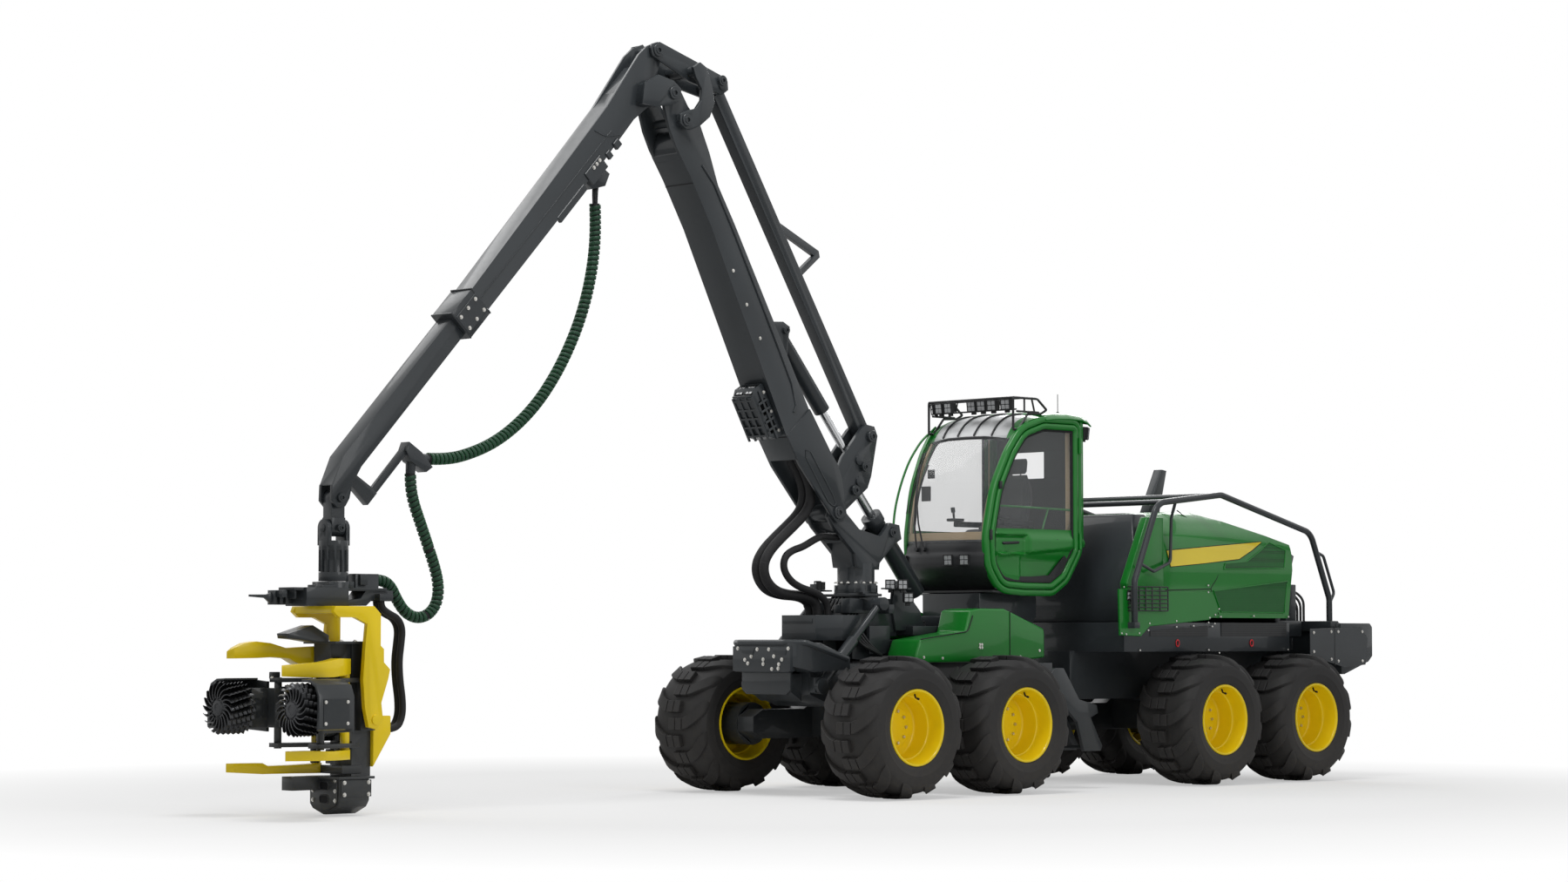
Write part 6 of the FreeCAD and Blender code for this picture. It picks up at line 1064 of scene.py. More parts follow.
blocks("cab_catches", "cab_shell", BLACK_TRIM, [
    in_cab((1.205, side_wall(1.21) + 0.005, 1.02), (1.245, side_wall(1.24) + 0.03, 1.10)),
    in_cab((1.325, side_wall(1.33) + 0.002, 0.52), (1.36, side_wall(1.36) + 0.028, 0.62))], 0.005)

# ------------------------------------------------------------------------------------------------------
# Seat: foam under dark woven fabric, a cushion with bolsters, a tall back and a headrest, between two
# armrests with control pads, on a ribbed bellows.
# ------------------------------------------------------------------------------------------------------
weave, tree, shader, place = new_finish("seat_weave")
FABRIC = ("seat_fabric", weave)
shader.inputs["Roughness"].default_value = 0.9
shader.inputs["Sheen Weight"].default_value = 0.3
threads = added(tree, "ShaderNodeTexWave", {"Scale": 120.0, "Distortion": 1.5, "Vector": place})
tone = added(tree, "ShaderNodeValToRGB", {"Fac": threads.outputs["Fac"]})
tone.color_ramp.elements[0].color = (0.045, 0.045, 0.048, 1)
tone.color_ramp.elements[1].color = (0.085, 0.085, 0.09, 1)
tree.links.new(tone.outputs["Color"], shader.inputs["Base Color"])
bump = added(tree, "ShaderNodeBump", {"Strength": 0.3, "Distance": 0.001, "Height": threads.outputs["Fac"]})
tree.links.new(bump.outputs["Normal"], shader.inputs["Normal"])


def pad_mesh(rows, across, thick, crown):
    """A crowned cushion along a spine of (u, w, half width) rows, with bolsters at its sides."""
    form = bmesh.new()
    rings = []
    count = len(rows)
    for n, (u, w, half) in enumerate(rows):
        before, after = rows[max(n - 1, 0)], rows[min(n + 1, count - 1)]
        way = Vector((after[0] - before[0], 0, after[1] - before[1])).normalized()
        out = Vector((way.z, 0, -way.x)) * across
        end = min(1.0, 4.0 * min(n, count - 1 - n) / (count - 1) + 0.35)
        ring = []
        for k in range(28):
            a = 2 * math.pi * k / 28
            y = half * math.copysign(abs(math.cos(a)) ** 0.45, math.cos(a)) * (0.94 + 0.06 * end)
            lift = thick / 2 * math.copysign(abs(math.sin(a)) ** 0.6, math.sin(a)) * end
            bolster = crown * fluid(0.55, 0.9, abs(y) / half) if math.sin(a) > 0 else 0.0
            channel = -0.006 if math.sin(a) > 0 and abs(abs(y) / half - 0.52) < 0.06 else 0.0
            ring.append(form.verts.new(cab_point(u, y, w) + out * (lift + (bolster + channel) * end)))
        rings.append(ring)
    skinned(form, rings)
    return finished(form, 180)


seat_rows = [(0.42 + 0.50 * k / 12, 0.565 + 0.02 * math.sin(math.pi * k / 12), 0.25 - 0.02 * (k / 12) ** 2)
             for k in range(13)]
seat_cushion = shown("seat_cushion", pad_mesh(seat_rows, -1, 0.12, 0.022), "seat", *FABRIC)
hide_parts("seat")
back_rows = [(0.435 - 0.075 * k / 14 + 0.02 * math.sin(2.4 * math.pi * k / 14), 0.60 + 0.60 * k / 14,
              0.235 - 0.05 * (k / 14) ** 3) for k in range(15)]
seat_back = shown("seat_backrest", pad_mesh(back_rows, 1, 0.10, 0.025), "seat", *FABRIC)
head_rows = [(0.352 - 0.02 * k / 6, 1.215 + 0.15 * k / 6, 0.135) for k in range(7)]
seat_head = shown("seat_headrest", pad_mesh(head_rows, 1, 0.08, 0.008), "seat", *FABRIC)
fittings = [in_cab((0.60, -0.15, 0.05), (0.84, 0.15, 0.20)),
            in_cab((0.62, -0.14, 0.20), (0.82, 0.14, 0.34)),
            in_cab((0.60, -0.15, 0.34), (0.84, 0.15, 0.50))]
for side in (-1, 1):
    y0, y1 = sorted((side * 0.27, side * 0.35))
    fittings.append(in_cab((0.46, y0, 0.675), (0.90, y1, 0.73)))
    fittings.append(in_cab((0.84, y0 - 0.02, 0.73), (0.98, y1 + 0.02, 0.76)))
    fittings.append(in_cab((0.47, y0, 0.54), (0.53, y1, 0.68)))
fittings.append(in_cab((0.10, -0.50, 0.50), (0.30, 0.50, 0.58)))
blocks("seat_fittings", "seat", SEAT_PLASTIC, fittings, 0.012)
sticks = []
for side in (-1, 1):
    sticks.append((in_cab((0.93, side * 0.31, 0.755), (0.94, side * 0.31, 0.83)), 0.012))
    sticks.append((in_cab((0.94, side * 0.31, 0.82), (0.95, side * 0.31, 0.87)), 0.022))
    sticks.append((in_cab((0.34, side * 0.06, 1.16), (0.34, side * 0.06, 1.24)), 0.008))
bars("seat_controls", "seat", SEAT_PLASTIC, sticks)
screen = [in_cab((1.18, 0.28, 0.50), (1.20, 0.50, 0.66)), in_cab((1.12, 0.36, 0.44), (1.18, 0.42, 0.56))]
blocks("cab_screen", "cab_shell", BLACK_TRIM, screen, 0.006)

# ------------------------------------------------------------------------------------------------------
# Engine hood: pressed green sheet in two lengths, with a sharp crease along its flank, a shoulder that
# rolls into the flat top, and a roofline that falls away to the rear. A yellow stripe tapers along it.
# ------------------------------------------------------------------------------------------------------
hood_low, hood_high = (Vector(c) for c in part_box("hood"))
HOOD_LENGTH = hood_high.x - hood_low.x
FLANK_LINE = [(1.050, 1.69), (1.050, 2.00), (1.056, 2.20), (1.020, 2.40), (0.940, 2.55), (0.800, 2.69),
              (0.640, 2.775)]


def flank(z):
    """Half width of the hood at a height."""
    for (y0, z0), (y1, z1) in zip(FLANK_LINE, FLANK_LINE[1:]):
        if z <= z1:
            return y0 + (y1 - y0) * max(0.0, z - z0) / (z1 - z0)
    return FLANK_LINE[-1][0]


def roofline(back):
    """Height of the hood's top, back metres behind its front."""
    return 2.752 + 0.038 * min(1.0, back / 0.85) - 0.32 * max(0.0, (back - 0.85) / (HOOD_LENGTH - 0.85))


def hood_point(back, z, proud=0.0, side=1):
    return Vector((hood_high.x - back, side * (flank(z) + proud), z))


rows = []
STATIONS = 56
for n in range(STATIONS + 1):
    share = n / STATIONS
    half_row = []
    for k in range(25):
        z_wish = 1.69 + (2.79 - 1.69) * k / 24
        top = roofline(share * HOOD_LENGTH)
        z = min(z_wish, top - 0.012)
        lean = 0.10 * (z - 1.69) / 0.77
        back = share * (HOOD_LENGTH - 0.10 + lean)
        tuck = 0.035 * fluid(0.05, 0.0, back)
        half_row.append((hood_high.x - back, flank(z) - tuck, z))
    edge_y = half_row[-1][1]
    for k in range(1, 9):
        y = edge_y * (1 - k / 8)
        crown = half_row[24][2] + 0.012 * min(1.0, k / 2)
        half_row.append((half_row[24][0], y, min(roofline(share * HOOD_LENGTH), crown)))
    row = [Vector(p) for p in half_row] + [Vector((x, -y, z)) for x, y, z in reversed(half_row[:-1])]
    rows.append(row)
hood_skin = sheet("hood_skin", "hood", GREEN_SHEET, rows, 0.012)
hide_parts("hood")
rear_row = [(p.y, p.z) for p in rows[-1]]
form = bmesh.new()
wall = [form.verts.new((rows[-1][k].x + 0.004, y, z)) for k, (y, z) in enumerate(rear_row)]
front_wall = [form.verts.new((hood_high.x - 0.004, p.y, p.z)) for p in rows[0]]
form.faces.new(wall)
form.faces.new(front_wall)
shown("hood_ends", finished(form, outward=False), "hood", *GREEN_SHEET)
stripe_yellow = painted("stripe_yellow", (0.86, 0.66, 0.02), 0.32, coat=0.5, dust=0.02, shift=0.02)
STRIPE = ((0.08, 2.365, 2.205), (0.60, 2.405, 2.245), (1.20, 2.450, 2.300), (1.643, 2.484, 2.482))


def stripe_rows(grow=0.0):
    """Places (back, z) across the tapering stripe, grown by a margin for its dark edge."""
    rows = []
    for (b0, hi0, lo0), (b1, hi1, lo1) in zip(STRIPE, STRIPE[1:]):
        for n in range(12):
            t = n / 12
            rows.append((b0 + (b1 - b0) * t, hi0 + (hi1 - hi0) * t, lo0 + (lo1 - lo0) * t))
    rows.append(STRIPE[-1])
    out = []
    for back, high, low in rows:
        lean = -0.03 * (high - low) / 0.16
        out.append([(back + grow * (1 if back > 1 else -1) + lean * t,
                     low - grow + (high - low + 2 * grow) * t) for t in [k / 8 for k in range(9)]])
    return out


for side, side_name in SIDES:
    yellow_rows = [[hood_point(b, z, 0.011, side) for b, z in row] for row in stripe_rows()]
    sheet(f"hood_stripe_{side_name}", "hood", ("yellow_paint", stripe_yellow), yellow_rows, 0.003)
    dark_rows = [[hood_point(b, z, 0.0085, side) for b, z in row] for row in stripe_rows(0.007)]
    sheet(f"hood_stripe_edge_{side_name}", "hood", RUBBER_SEAL, dark_rows, 0.002)

# ------------------------------------------------------------------------------------------------------
# Hood seams and vents: black rubber in the joints between panels, perforated green vent sheets set in
# raised frames, and dome-headed bolts along the lower edges.
# ------------------------------------------------------------------------------------------------------
def perforated(name, colour, hole_shade, scale):
    """Punched sheet: round holes between the steel, each filled with painted shade."""
    finish = painted(name, colour, 0.5, coat=0.1, dust=0.06)
    tree = finish.node_tree
    paint = tree.nodes["Principled BSDF"].inputs["Base Color"]
    place = added(tree, "ShaderNodeTexCoord").outputs["Object"]
    cells = added(tree, "ShaderNodeTexVoronoi", {"Scale": scale, "Randomness": 0.0, "Vector": place})
    edge = added(tree, "ShaderNodeMapRange",
                 {"From Min": 0.30, "From Max": 0.38, "Value": cells.outputs["Distance"]})
    # The dark hole colour is painted shade for the space behind the sheet; the pattern of holes is real.
    hole_shade_mix = added(tree, "ShaderNodeMix", data_type="RGBA")
    hole_shade_mix.inputs["A"].default_value = hole_shade + (1,)
    tree.links.new(edge.outputs["Result"], hole_shade_mix.inputs["Factor"])
    tree.links.new(paint.links[0].from_socket, hole_shade_mix.inputs["B"])
    tree.links.new(hole_shade_mix.outputs["Result"], paint)
    return finish


# The third colour of each vent sheet is the painted shade in its holes.
vent_green = perforated("vent_green", (0.006, 0.10, 0.016), (0.003, 0.012, 0.005), 62.0)
vent_black = perforated("vent_black", (0.030, 0.032, 0.034), (0.006, 0.006, 0.006), 62.0)
seams = [[(0.69, 2.80), (0.76, 2.62), (0.855, 2.48), (0.88, 2.30), (0.85, 2.12), (0.72, 1.99),
          (0.745, 1.95), (0.85, 1.72)], [(0.02, 1.965), (0.72, 1.985)]]
seam_runs = []
for side in (1, -1):
    for line in seams:
        seam_runs.append((bent([hood_point(b, z, 0.004, side) for b, z in line], 0.1), 0.006))
bars("hood_seams", "hood", RUBBER_SEAL, seam_runs, sides=6)
VENTS = [[(1.774, 2.485), (2.00, 2.405), (1.93, 2.215), (0.93, 2.19), (0.96, 2.25), (1.32, 2.275)],
         [(0.765, 1.965), (1.985, 2.08), (1.93, 1.745), (0.885, 1.75)],
         [(0.02, 1.935), (0.725, 1.94), (0.80, 1.76), (0.645, 1.70), (0.02, 1.70)]]
vent_runs = []
for side, side_name in SIDES:
    for number, outline in enumerate(VENTS):
        form = bmesh.new()
        count = len(outline)
        middle = Vector((sum(b for b, z in outline) / count, sum(z for b, z in outline) / count))
        ring = [form.verts.new(hood_point(b, z, 0.0095, side)) for b, z in outline]
        form.faces.new(ring)
        bmesh.ops.triangulate(form, faces=form.faces)
        bmesh.ops.subdivide_edges(form, edges=form.edges, cuts=7, use_grid_fill=True)
        for vert in form.verts:
            vert.co.y = side * (flank(vert.co.z) + 0.0095)
        bmesh.ops.recalc_face_normals(form, faces=form.faces)
        if sum(f.normal.y * side for f in form.faces) < 0:
            bmesh.ops.reverse_faces(form, faces=form.faces)
        made = bmesh.ops.extrude_face_region(form, geom=list(form.faces))["geom"]
        bmesh.ops.translate(form, verts=[v for v in made if isinstance(v, bmesh.types.BMVert)],
                            vec=(0, -0.004 * side, 0))
        shown(f"hood_vent_{side_name}_{number + 1}", finished(form), "hood", "green_paint", vent_green)
        edge = [hood_point(b, z, 0.010, side) for b, z in outline]
        fine = []
        for a, b in zip(edge, edge[1:] + edge[:1]):
            for n in range(8):
                spot = a.lerp(b, n / 8)
                fine.append(Vector((spot.x, side * (flank(spot.z) + 0.010), spot.z)))
        vent_runs.append((fine + [fine[0], fine[1]], 0.007))
bars("hood_vent_frames", "hood", GREEN_SHEET, vent_runs, sides=6)

# ------------------------------------------------------------------------------------------------------
# Skirt dressing: the green lower cover that laps over the dark skirt, its bolts, two inspection ports
# with red rings, and the punched steel sheets in the skirt.
# ------------------------------------------------------------------------------------------------------
skirt_y = 1.062
front_x = hood_high.x
cover = [(front_x + 0.735, 1.97), (front_x + 0.72, 1.51), (front_x + 0.40, 1.50), (front_x + 0.262, 1.60),
         (front_x - 0.676, 1.668), (front_x - 0.834, 1.75), (front_x - 0.73, 1.955), (front_x + 0.02, 1.955),
         (front_x + 0.05, 1.99)]
plates("lower_cover", "hood", GREEN_SHEET, paired(cover, 1.048, skirt_y + 0.012), 0.005)
form = bmesh.new()
BOLT_PLACES = [(0.70, 1.53), (0.63, 1.52), (0.43, 1.53), (0.27, 1.63), (0.29, 1.56), (-0.15, 1.655),
               (-0.15, 1.595), (-0.42, 1.605), (-0.68, 1.69), (-0.66, 1.64), (-0.77, 1.72), (-0.83, 1.78),
               (-0.72, 1.60), (-0.76, 1.63), (-0.86, 1.70), (-1.40, 1.71), (-1.98, 1.705), (-0.66, 1.36),
               (-0.83, 1.33), (-1.97, 1.36), (0.42, 1.36), (0.66, 1.99), (-0.66, 2.02), (-0.66, 1.95)]
for side in (1, -1):
    for x, z in BOLT_PLACES:
        headed_bolt(form, Vector((front_x + x, side * (skirt_y + 0.010), z)), Vector((0, side, 0)), 0.010,
                    0.009, 8)
shown("cover_bolts", finished(form), "rear_frame", *ZINC)
port_red = painted("port_red", (0.62, 0.012, 0.02), 0.4, coat=0.3, dust=0.02)
form = bmesh.new()
dark = bmesh.new()
for side in (1, -1):
    for back in (0.178, 1.374):
        spot = Vector((front_x - back, side * (skirt_y + 0.004), 1.43))
        section = [(0.024 + 0.006 * math.cos(a), 0.005 * math.sin(a))
                   for a in [2 * math.pi * k / 8 for k in range(8)]]
        turned(form, section, 24, spot, close=True)
        turned(dark, [(0.0005, -0.004), (0.022, -0.004), (0.022, 0.001), (0.0005, 0.001)], 20, spot,
               close=True)
bmesh.ops.scale(form, vec=(1, 1, 1.35), space=Matrix.Translation((0, 0, -1.43)), verts=form.verts)
bmesh.ops.scale(dark, vec=(1, 1, 1.35), space=Matrix.Translation((0, 0, -1.43)), verts=dark.verts)
for piece_name, made, finish in (("port_rings", form, port_red), ("port_plugs", dark, gasket)):
    shown(piece_name, finished(made, 180), "rear_frame", "hose_rubber", finish)
sheets = []
for side in (1, -1):
    near, far = sorted((side * skirt_y, side * (skirt_y + 0.004)))
    sheets.append(([(front_x + 0.25, 1.50), (front_x - 0.66, 1.50), (front_x - 0.66, 1.61),
                    (front_x + 0.25, 1.55)], near, far))
    sheets.append(([(front_x - 0.88, 1.50), (front_x - 1.96, 1.50), (front_x - 1.96, 1.64),
                    (front_x - 0.88, 1.64)], near, far))
plates("skirt_vents", "rear_frame", ("graphite_paint", vent_black), sheets, 0.001)

# ------------------------------------------------------------------------------------------------------
# Felling head: feed rollers with curved steel vanes on motors behind folded guards, yellow cast knives
# and tilt frame, and the saw's column below with two windows. The bolts come with the rows further down.
# ------------------------------------------------------------------------------------------------------
for node in ("tilt_frame", "head_foot"):
    eased(node, *YELLOW_STEEL, width=0.010, segments=3)
for node in ("knives_left", "knives_right"):
    eased(node, *YELLOW_STEEL, width=0.014, segments=3)
eased("lift_rod", "chrome_rod", painted("chrome", (0.62, 0.63, 0.64), 0.14, metallic=1.0, dust=0.0,
                                        peel=0.0), width=0.002)
chrome = bpy.data.materials["chrome"]
eased("jib_cylinder_rod", "chrome_rod", chrome, width=0.002)
vane_steel = painted("vane_steel", (0.050, 0.052, 0.056), 0.30, metallic=0.75, dust=0.05, peel=0.06,
                     shift=0.3)
VANES = 20


def roller_mesh(centre, turn_way):
    """Hub, drum and vanes that curve outwards and lean along the drum, each with five teeth on its edge."""
    form = bmesh.new()
    drum = [(0.000, 0.012), (0.118, 0.012), (0.150, 0.010), (0.150, -0.004), (0.122, -0.010), (0.118, 0.20),
            (0.098, 0.232), (0.072, 0.236), (0.066, 0.246), (0.040, 0.248), (0.034, 0.241), (0.0, 0.241)]
    back = centre.x - 0.125
    skinned(form, [circle(form, Vector((back + along_x, centre.y, centre.z)), LEFT, UP,
                          max(radius, 0.0005), 32) for radius, along_x in drum])
    for n in range(VANES):
        sheets = []
        for face_side in (-1, 1):
            sheet = []
            for i in range(12):
                along_x = 0.008 + 0.236 * i / 11
                tooth = 0.222 if i % 2 == 0 else 0.208
                row = []
                for j in range(6):
                    t = j / 5
                    radius = 0.085 + (tooth - 0.085) * t
                    spread = face_side * (0.0075 - 0.0035 * t) / radius
                    angle = 2 * math.pi * n / VANES + turn_way * (0.42 * t ** 1.7 + 0.30 * i / 11) + spread
                    row.append(form.verts.new((back + along_x, centre.y + radius * math.cos(angle),
                                               centre.z + radius * math.sin(angle))))
                sheet.append(row)
            sheets.append(sheet)
        for sheet in sheets:
            for i in range(11):
                for j in range(5):
                    form.faces.new((sheet[i][j], sheet[i][j + 1], sheet[i + 1][j + 1], sheet[i + 1][j]))
        low, high = sheets
        for i in range(11):
            form.faces.new((low[i][5], high[i][5], high[i + 1][5], low[i + 1][5]))
            form.faces.new((low[i][0], high[i][0], high[i + 1][0], low[i + 1][0]))
        for i in (0, 11):
            for j in range(5):
                form.faces.new((low[i][j], low[i][j + 1], high[i][j + 1], high[i][j]))
    for k in range(8):
        turn = 2 * math.pi * k / 8
        headed_bolt(form, centre + Vector((0.111, 0.085 * math.cos(turn), 0.085 * math.sin(turn))),
                    Vector((1, 0, 0)), 0.010, 0.010)
    return finished(form, 32)


def folded(form, outline, near, far, ease=0.006):
    """A plate form: an outline of (y, z) drawn out along X, with broken edges."""
    face = form.faces.new([form.verts.new((near, y, z)) for y, z in outline])
    made = bmesh.ops.extrude_face_region(form, geom=[face])["geom"]
    bmesh.ops.translate(form, verts=[v for v in made if isinstance(v, bmesh.types.BMVert)],
                        vec=(far - near, 0, 0))
    tops = [f for f in made if isinstance(f, bmesh.types.BMFace)]
    rims = list(dict.fromkeys(e for f in tops + [face] for e in f.edges))
    bmesh.ops.bevel(form, geom=rims, offset=ease, segments=2, profile=0.6, affect="EDGES")


for side, side_name in SIDES:
    place = Vector((6.668, 0.52 * side, 0.90))
    roller = shown(f"feed_roller_{side_name}_vanes", roller_mesh(place, side), f"feed_roller_{side_name}",
                   "bare_steel", vane_steel)
    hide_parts(f"feed_roller_{side_name}")
    form = bmesh.new()
    guard = [(0.752, 0.735), (0.790, 0.745), (0.790, 1.010), (0.745, 1.105), (0.660, 1.144), (0.545, 1.148),
             (0.545, 1.132), (0.650, 1.124), (0.722, 1.084), (0.760, 1.010)]
    folded(form, [(y * side, z) for y, z in guard], 6.36, 6.700, 0.005)
    folded(form, [(y * side, z) for y, z in ((0.40, 0.70), (0.785, 0.72), (0.785, 1.01), (0.742, 1.10),
                                             (0.655, 1.140), (0.40, 1.12))], 6.345, 6.375, 0.004)
    folded(form, [(y * side, z) for y, z in ((0.788, 0.765), (0.797, 0.765), (0.797, 0.99), (0.788, 0.99))],
           6.40, 6.66, 0.003)
    shown(f"roller_guard_{side_name}", finished(form, 30), f"roller_arm_{side_name}", *STEEL)
    form = bmesh.new()
    turned(form, [(0.0005, -0.02), (0.145, -0.02), (0.155, -0.012), (0.155, 0.03), (0.148, 0.034),
                  (0.148, 0.05), (0.155, 0.054), (0.155, 0.10), (0.135, 0.12), (0.06, 0.13),
                  (0.0005, 0.13)], 28, Vector((0, 0, 0)))
    turn = Matrix.Translation((6.40, 0.52 * side, 0.90)) @ Matrix.Rotation(math.radians(-90), 4, "Z")
    bmesh.ops.transform(form, matrix=turn, verts=form.verts)
    shown(f"roller_motor_case_{side_name}", finished(form, 30), f"roller_arm_{side_name}", *STEEL)

# ------------------------------------------------------------------------------------------------------
# Head castings: a cover with two rounded windows on the saw's column, a stiffened top frame with a
# tooth, and hydraulic blocks and rams between the arms.
# ------------------------------------------------------------------------------------------------------
# Painted shade: a near-black finish for the shade inside the saw column's windows.
painted_window_shade = painted("painted_window_shade", (0.006, 0.006, 0.007), 0.7, dust=0.0)
form = bmesh.new()
folded(form, [(-0.180, 0.315), (-0.180, 0.120), (-0.150, 0.085), (-0.03, 0.045), (0.03, 0.045),
              (0.150, 0.085), (0.180, 0.120), (0.180, 0.315)], 6.057, 6.067, 0.003)
for low, high in (((5.74, 0.209, 0.16), (6.05, 0.219, 0.30)), ((5.74, -0.219, 0.16), (6.05, -0.209, 0.30)),
                  ((5.80, -0.16, 0.35), (6.00, 0.16, 0.42)), ((6.06, 0.085, 0.44), (6.12, 0.130, 0.56)),
                  ((6.06, -0.130, 0.44), (6.12, -0.085, 0.56)), ((5.90, 0.11, 0.62), (6.04, 0.16, 0.90)),
                  ((5.90, -0.16, 0.62), (6.04, -0.11, 0.90)),
                  ((6.30, 0.31, 1.142), (6.38, 0.36, 1.20)), ((6.30, -0.36, 1.142), (6.38, -0.31, 1.20))):
    cushion_box(form, low, high, 0.006)
shown("head_covers", finished(form, 30), "head_frame", *STEEL)
# The two windows are flat plates flush on the cover, painted near-black for the shade inside the column.
windows, rims = bmesh.new(), []
for z in (0.252, 0.140):
    corner = [(a * 0.062, z + b * 0.034) for a, b in ((-1, -0.5), (-1, 0.5), (-0.75, 1), (0.75, 1),
                                                      (1, 0.5), (1, -0.5), (0.75, -1), (-0.75, -1))]
    folded(windows, corner, 6.060, 6.0675, 0.0015)
    loop = [Vector((6.0675, y, zz)) for y, zz in corner]
    rims.append((bent(loop + [loop[0], loop[1]], 0.012), 0.005))
shown("saw_window_shade", finished(windows), "head_frame", "hose_rubber", painted_window_shade)
bars("saw_window_rims", "head_frame", STEEL, rims, sides=6)
rams = []
for side in (1, -1):
    rams.append(([(6.00, 0.10 * side, 1.06), (6.30, 0.24 * side, 1.06)], 0.030))
    rams.append(([(6.16, 0.17 * side, 1.06), (6.33, 0.27 * side, 1.06)], 0.018))
    rams.append(([(6.00, 0.06 * side, 0.70), (6.24, 0.22 * side, 0.70)], 0.034))
    rams.append(([(6.02, 0.03 * side, 0.98), (6.10, 0.03 * side, 0.98)], 0.045))
bars("head_rams", "head_frame", STEEL, rams, sides=14)
top_bits = [((6.02, -0.13, 1.865), (6.16, -0.03, 1.93)), ((6.02, 0.03, 1.865), (6.20, 0.13, 1.925)),
                  ((5.70, -0.10, 1.93), (5.78, 0.10, 2.02)), ((6.24, -0.09, 1.86), (6.30, 0.09, 1.90)),
                  ((6.34, -0.10, 1.80), (6.37, 0.10, 1.89)), ((6.42, -0.08, 1.81), (6.44, 0.08, 1.89)),
                  ((6.50, -0.06, 1.82), (6.55, 0.06, 1.88)), ((5.60, -0.06, 1.94), (5.68, 0.02, 2.00)),
                  ((5.86, -0.12, 1.905), (6.12, 0.12, 1.955))]
blocks("head_top_blocks", "head_top", ("cast_block", charcoal), top_bits, 0.006)
top_runs = [([(6.05, 0.07 - 0.035 * k, 1.895), (6.33, 0.07 - 0.035 * k, 1.875)], 0.011) for k in range(5)]
bars("head_top_lines", "head_top", BLACK_TRIM, top_runs, sides=8)

# ------------------------------------------------------------------------------------------------------
# Bolts: zinc-plated hexagon heads on washers wherever plates and covers are held. One tree stands a head
# on every point along the way the point's surface looks, each turned by its own random amount.
# ------------------------------------------------------------------------------------------------------
bolt_tree = bpy.data.node_groups.new("bolt_field", "GeometryNodeTree")
bolt_tree.interface.new_socket("Geometry", in_out="INPUT", socket_type="NodeSocketGeometry")
bolt_inputs = {}
for label, kind in (("Head radius", "NodeSocketFloat"), ("Head height", "NodeSocketFloat"),
                    ("Washer radius", "NodeSocketFloat"), ("Sides", "NodeSocketInt"),
                    ("Seed", "NodeSocketInt"), ("Finish", "NodeSocketMaterial")):
    bolt_inputs[label] = bolt_tree.interface.new_socket(label, in_out="INPUT", socket_type=kind).identifier
bolt_tree.interface.new_socket("Geometry", in_out="OUTPUT", socket_type="NodeSocketGeometry")
ask = added(bolt_tree, "NodeGroupInput").outputs
half_up = added(bolt_tree, "ShaderNodeMath", {0: ask["Head height"], 1: 0.5}, operation="MULTIPLY")
rise = added(bolt_tree, "ShaderNodeCombineXYZ", {"Z": half_up.outputs["Value"]})
head = added(bolt_tree, "GeometryNodeMeshCylinder",
             {"Radius": ask["Head radius"], "Vertices": ask["Sides"], "Depth": ask["Head height"]})
lift = added(bolt_tree, "GeometryNodeTransform",
             {"Translation": rise.outputs["Vector"], "Geometry": head.outputs["Mesh"]})
washer = added(bolt_tree, "GeometryNodeMeshCylinder",
               {"Radius": ask["Washer radius"], "Vertices": 14, "Depth": 0.008})
both = added(bolt_tree, "GeometryNodeJoinGeometry", {"Geometry": lift.outputs["Geometry"]})
bolt_tree.links.new(washer.outputs["Mesh"], both.inputs["Geometry"])
way = added(bolt_tree, "GeometryNodeInputNamedAttribute", data_type="FLOAT_VECTOR")
way.inputs["Name"].default_value = "way"
aim = added(bolt_tree, "FunctionNodeAlignRotationToVector", {"Vector": way.outputs["Attribute"]}, axis="Z")
spin = added(bolt_tree, "FunctionNodeRandomValue", data_type="FLOAT")
spin.inputs[3].default_value = math.pi / 3
bolt_tree.links.new(ask["Seed"], spin.inputs["Seed"])
spin_way = added(bolt_tree, "ShaderNodeCombineXYZ", {"Z": spin.outputs[1]})
own_turn = added(bolt_tree, "FunctionNodeEulerToRotation", {"Euler": spin_way.outputs["Vector"]})
turned_head = added(bolt_tree, "FunctionNodeRotateRotation",
                    {"Rotation": aim.outputs["Rotation"], "Rotate By": own_turn.outputs["Rotation"]},
                    rotation_space="LOCAL")
stand = added(bolt_tree, "GeometryNodeInstanceOnPoints",
              {"Points": ask["Geometry"], "Instance": both.outputs["Geometry"],
               "Rotation": turned_head.outputs["Rotation"]})
real = added(bolt_tree, "GeometryNodeRealizeInstances", {"Geometry": stand.outputs["Instances"]})
coloured = added(bolt_tree, "GeometryNodeSetMaterial",
                 {"Geometry": real.outputs["Geometry"], "Material": ask["Finish"]})
added(bolt_tree, "NodeGroupOutput", {"Geometry": coloured.outputs["Geometry"]})


def bolted(name, node, spots, radius=0.012, height=0.012, washer_radius=0.017, finish=None,
           slot="chrome_rod", sides=6):
    """One mesh of bolt heads for a body, at (place, way it faces)."""
    spots = [(Vector(place), Vector(facing).normalized()) for place, facing in spots]
    points = bpy.data.meshes.new(name + "_points")
    points.from_pydata([tuple(place) for place, _ in spots], [], [])
    ways = points.attributes.new("way", "FLOAT_VECTOR", "POINT")
    for n, (_, facing) in enumerate(spots):
        ways.data[n].vector = facing
    holder = linked(name + "_field", points)
    field = holder.modifiers.new("field", "NODES")
    field.node_group = bolt_tree
    for label, value in (("Head radius", radius), ("Head height", height), ("Washer radius", washer_radius),
                         ("Sides", sides), ("Seed", 11), ("Finish", finish or bolt_zinc)):
        field[bolt_inputs[label]] = value
    holder.update_tag()
    mesh = worked_out(holder)
    holder.modifiers.clear()
    bpy.data.objects.remove(holder)
    return shown(name, mesh, node, slot, finish or bolt_zinc)


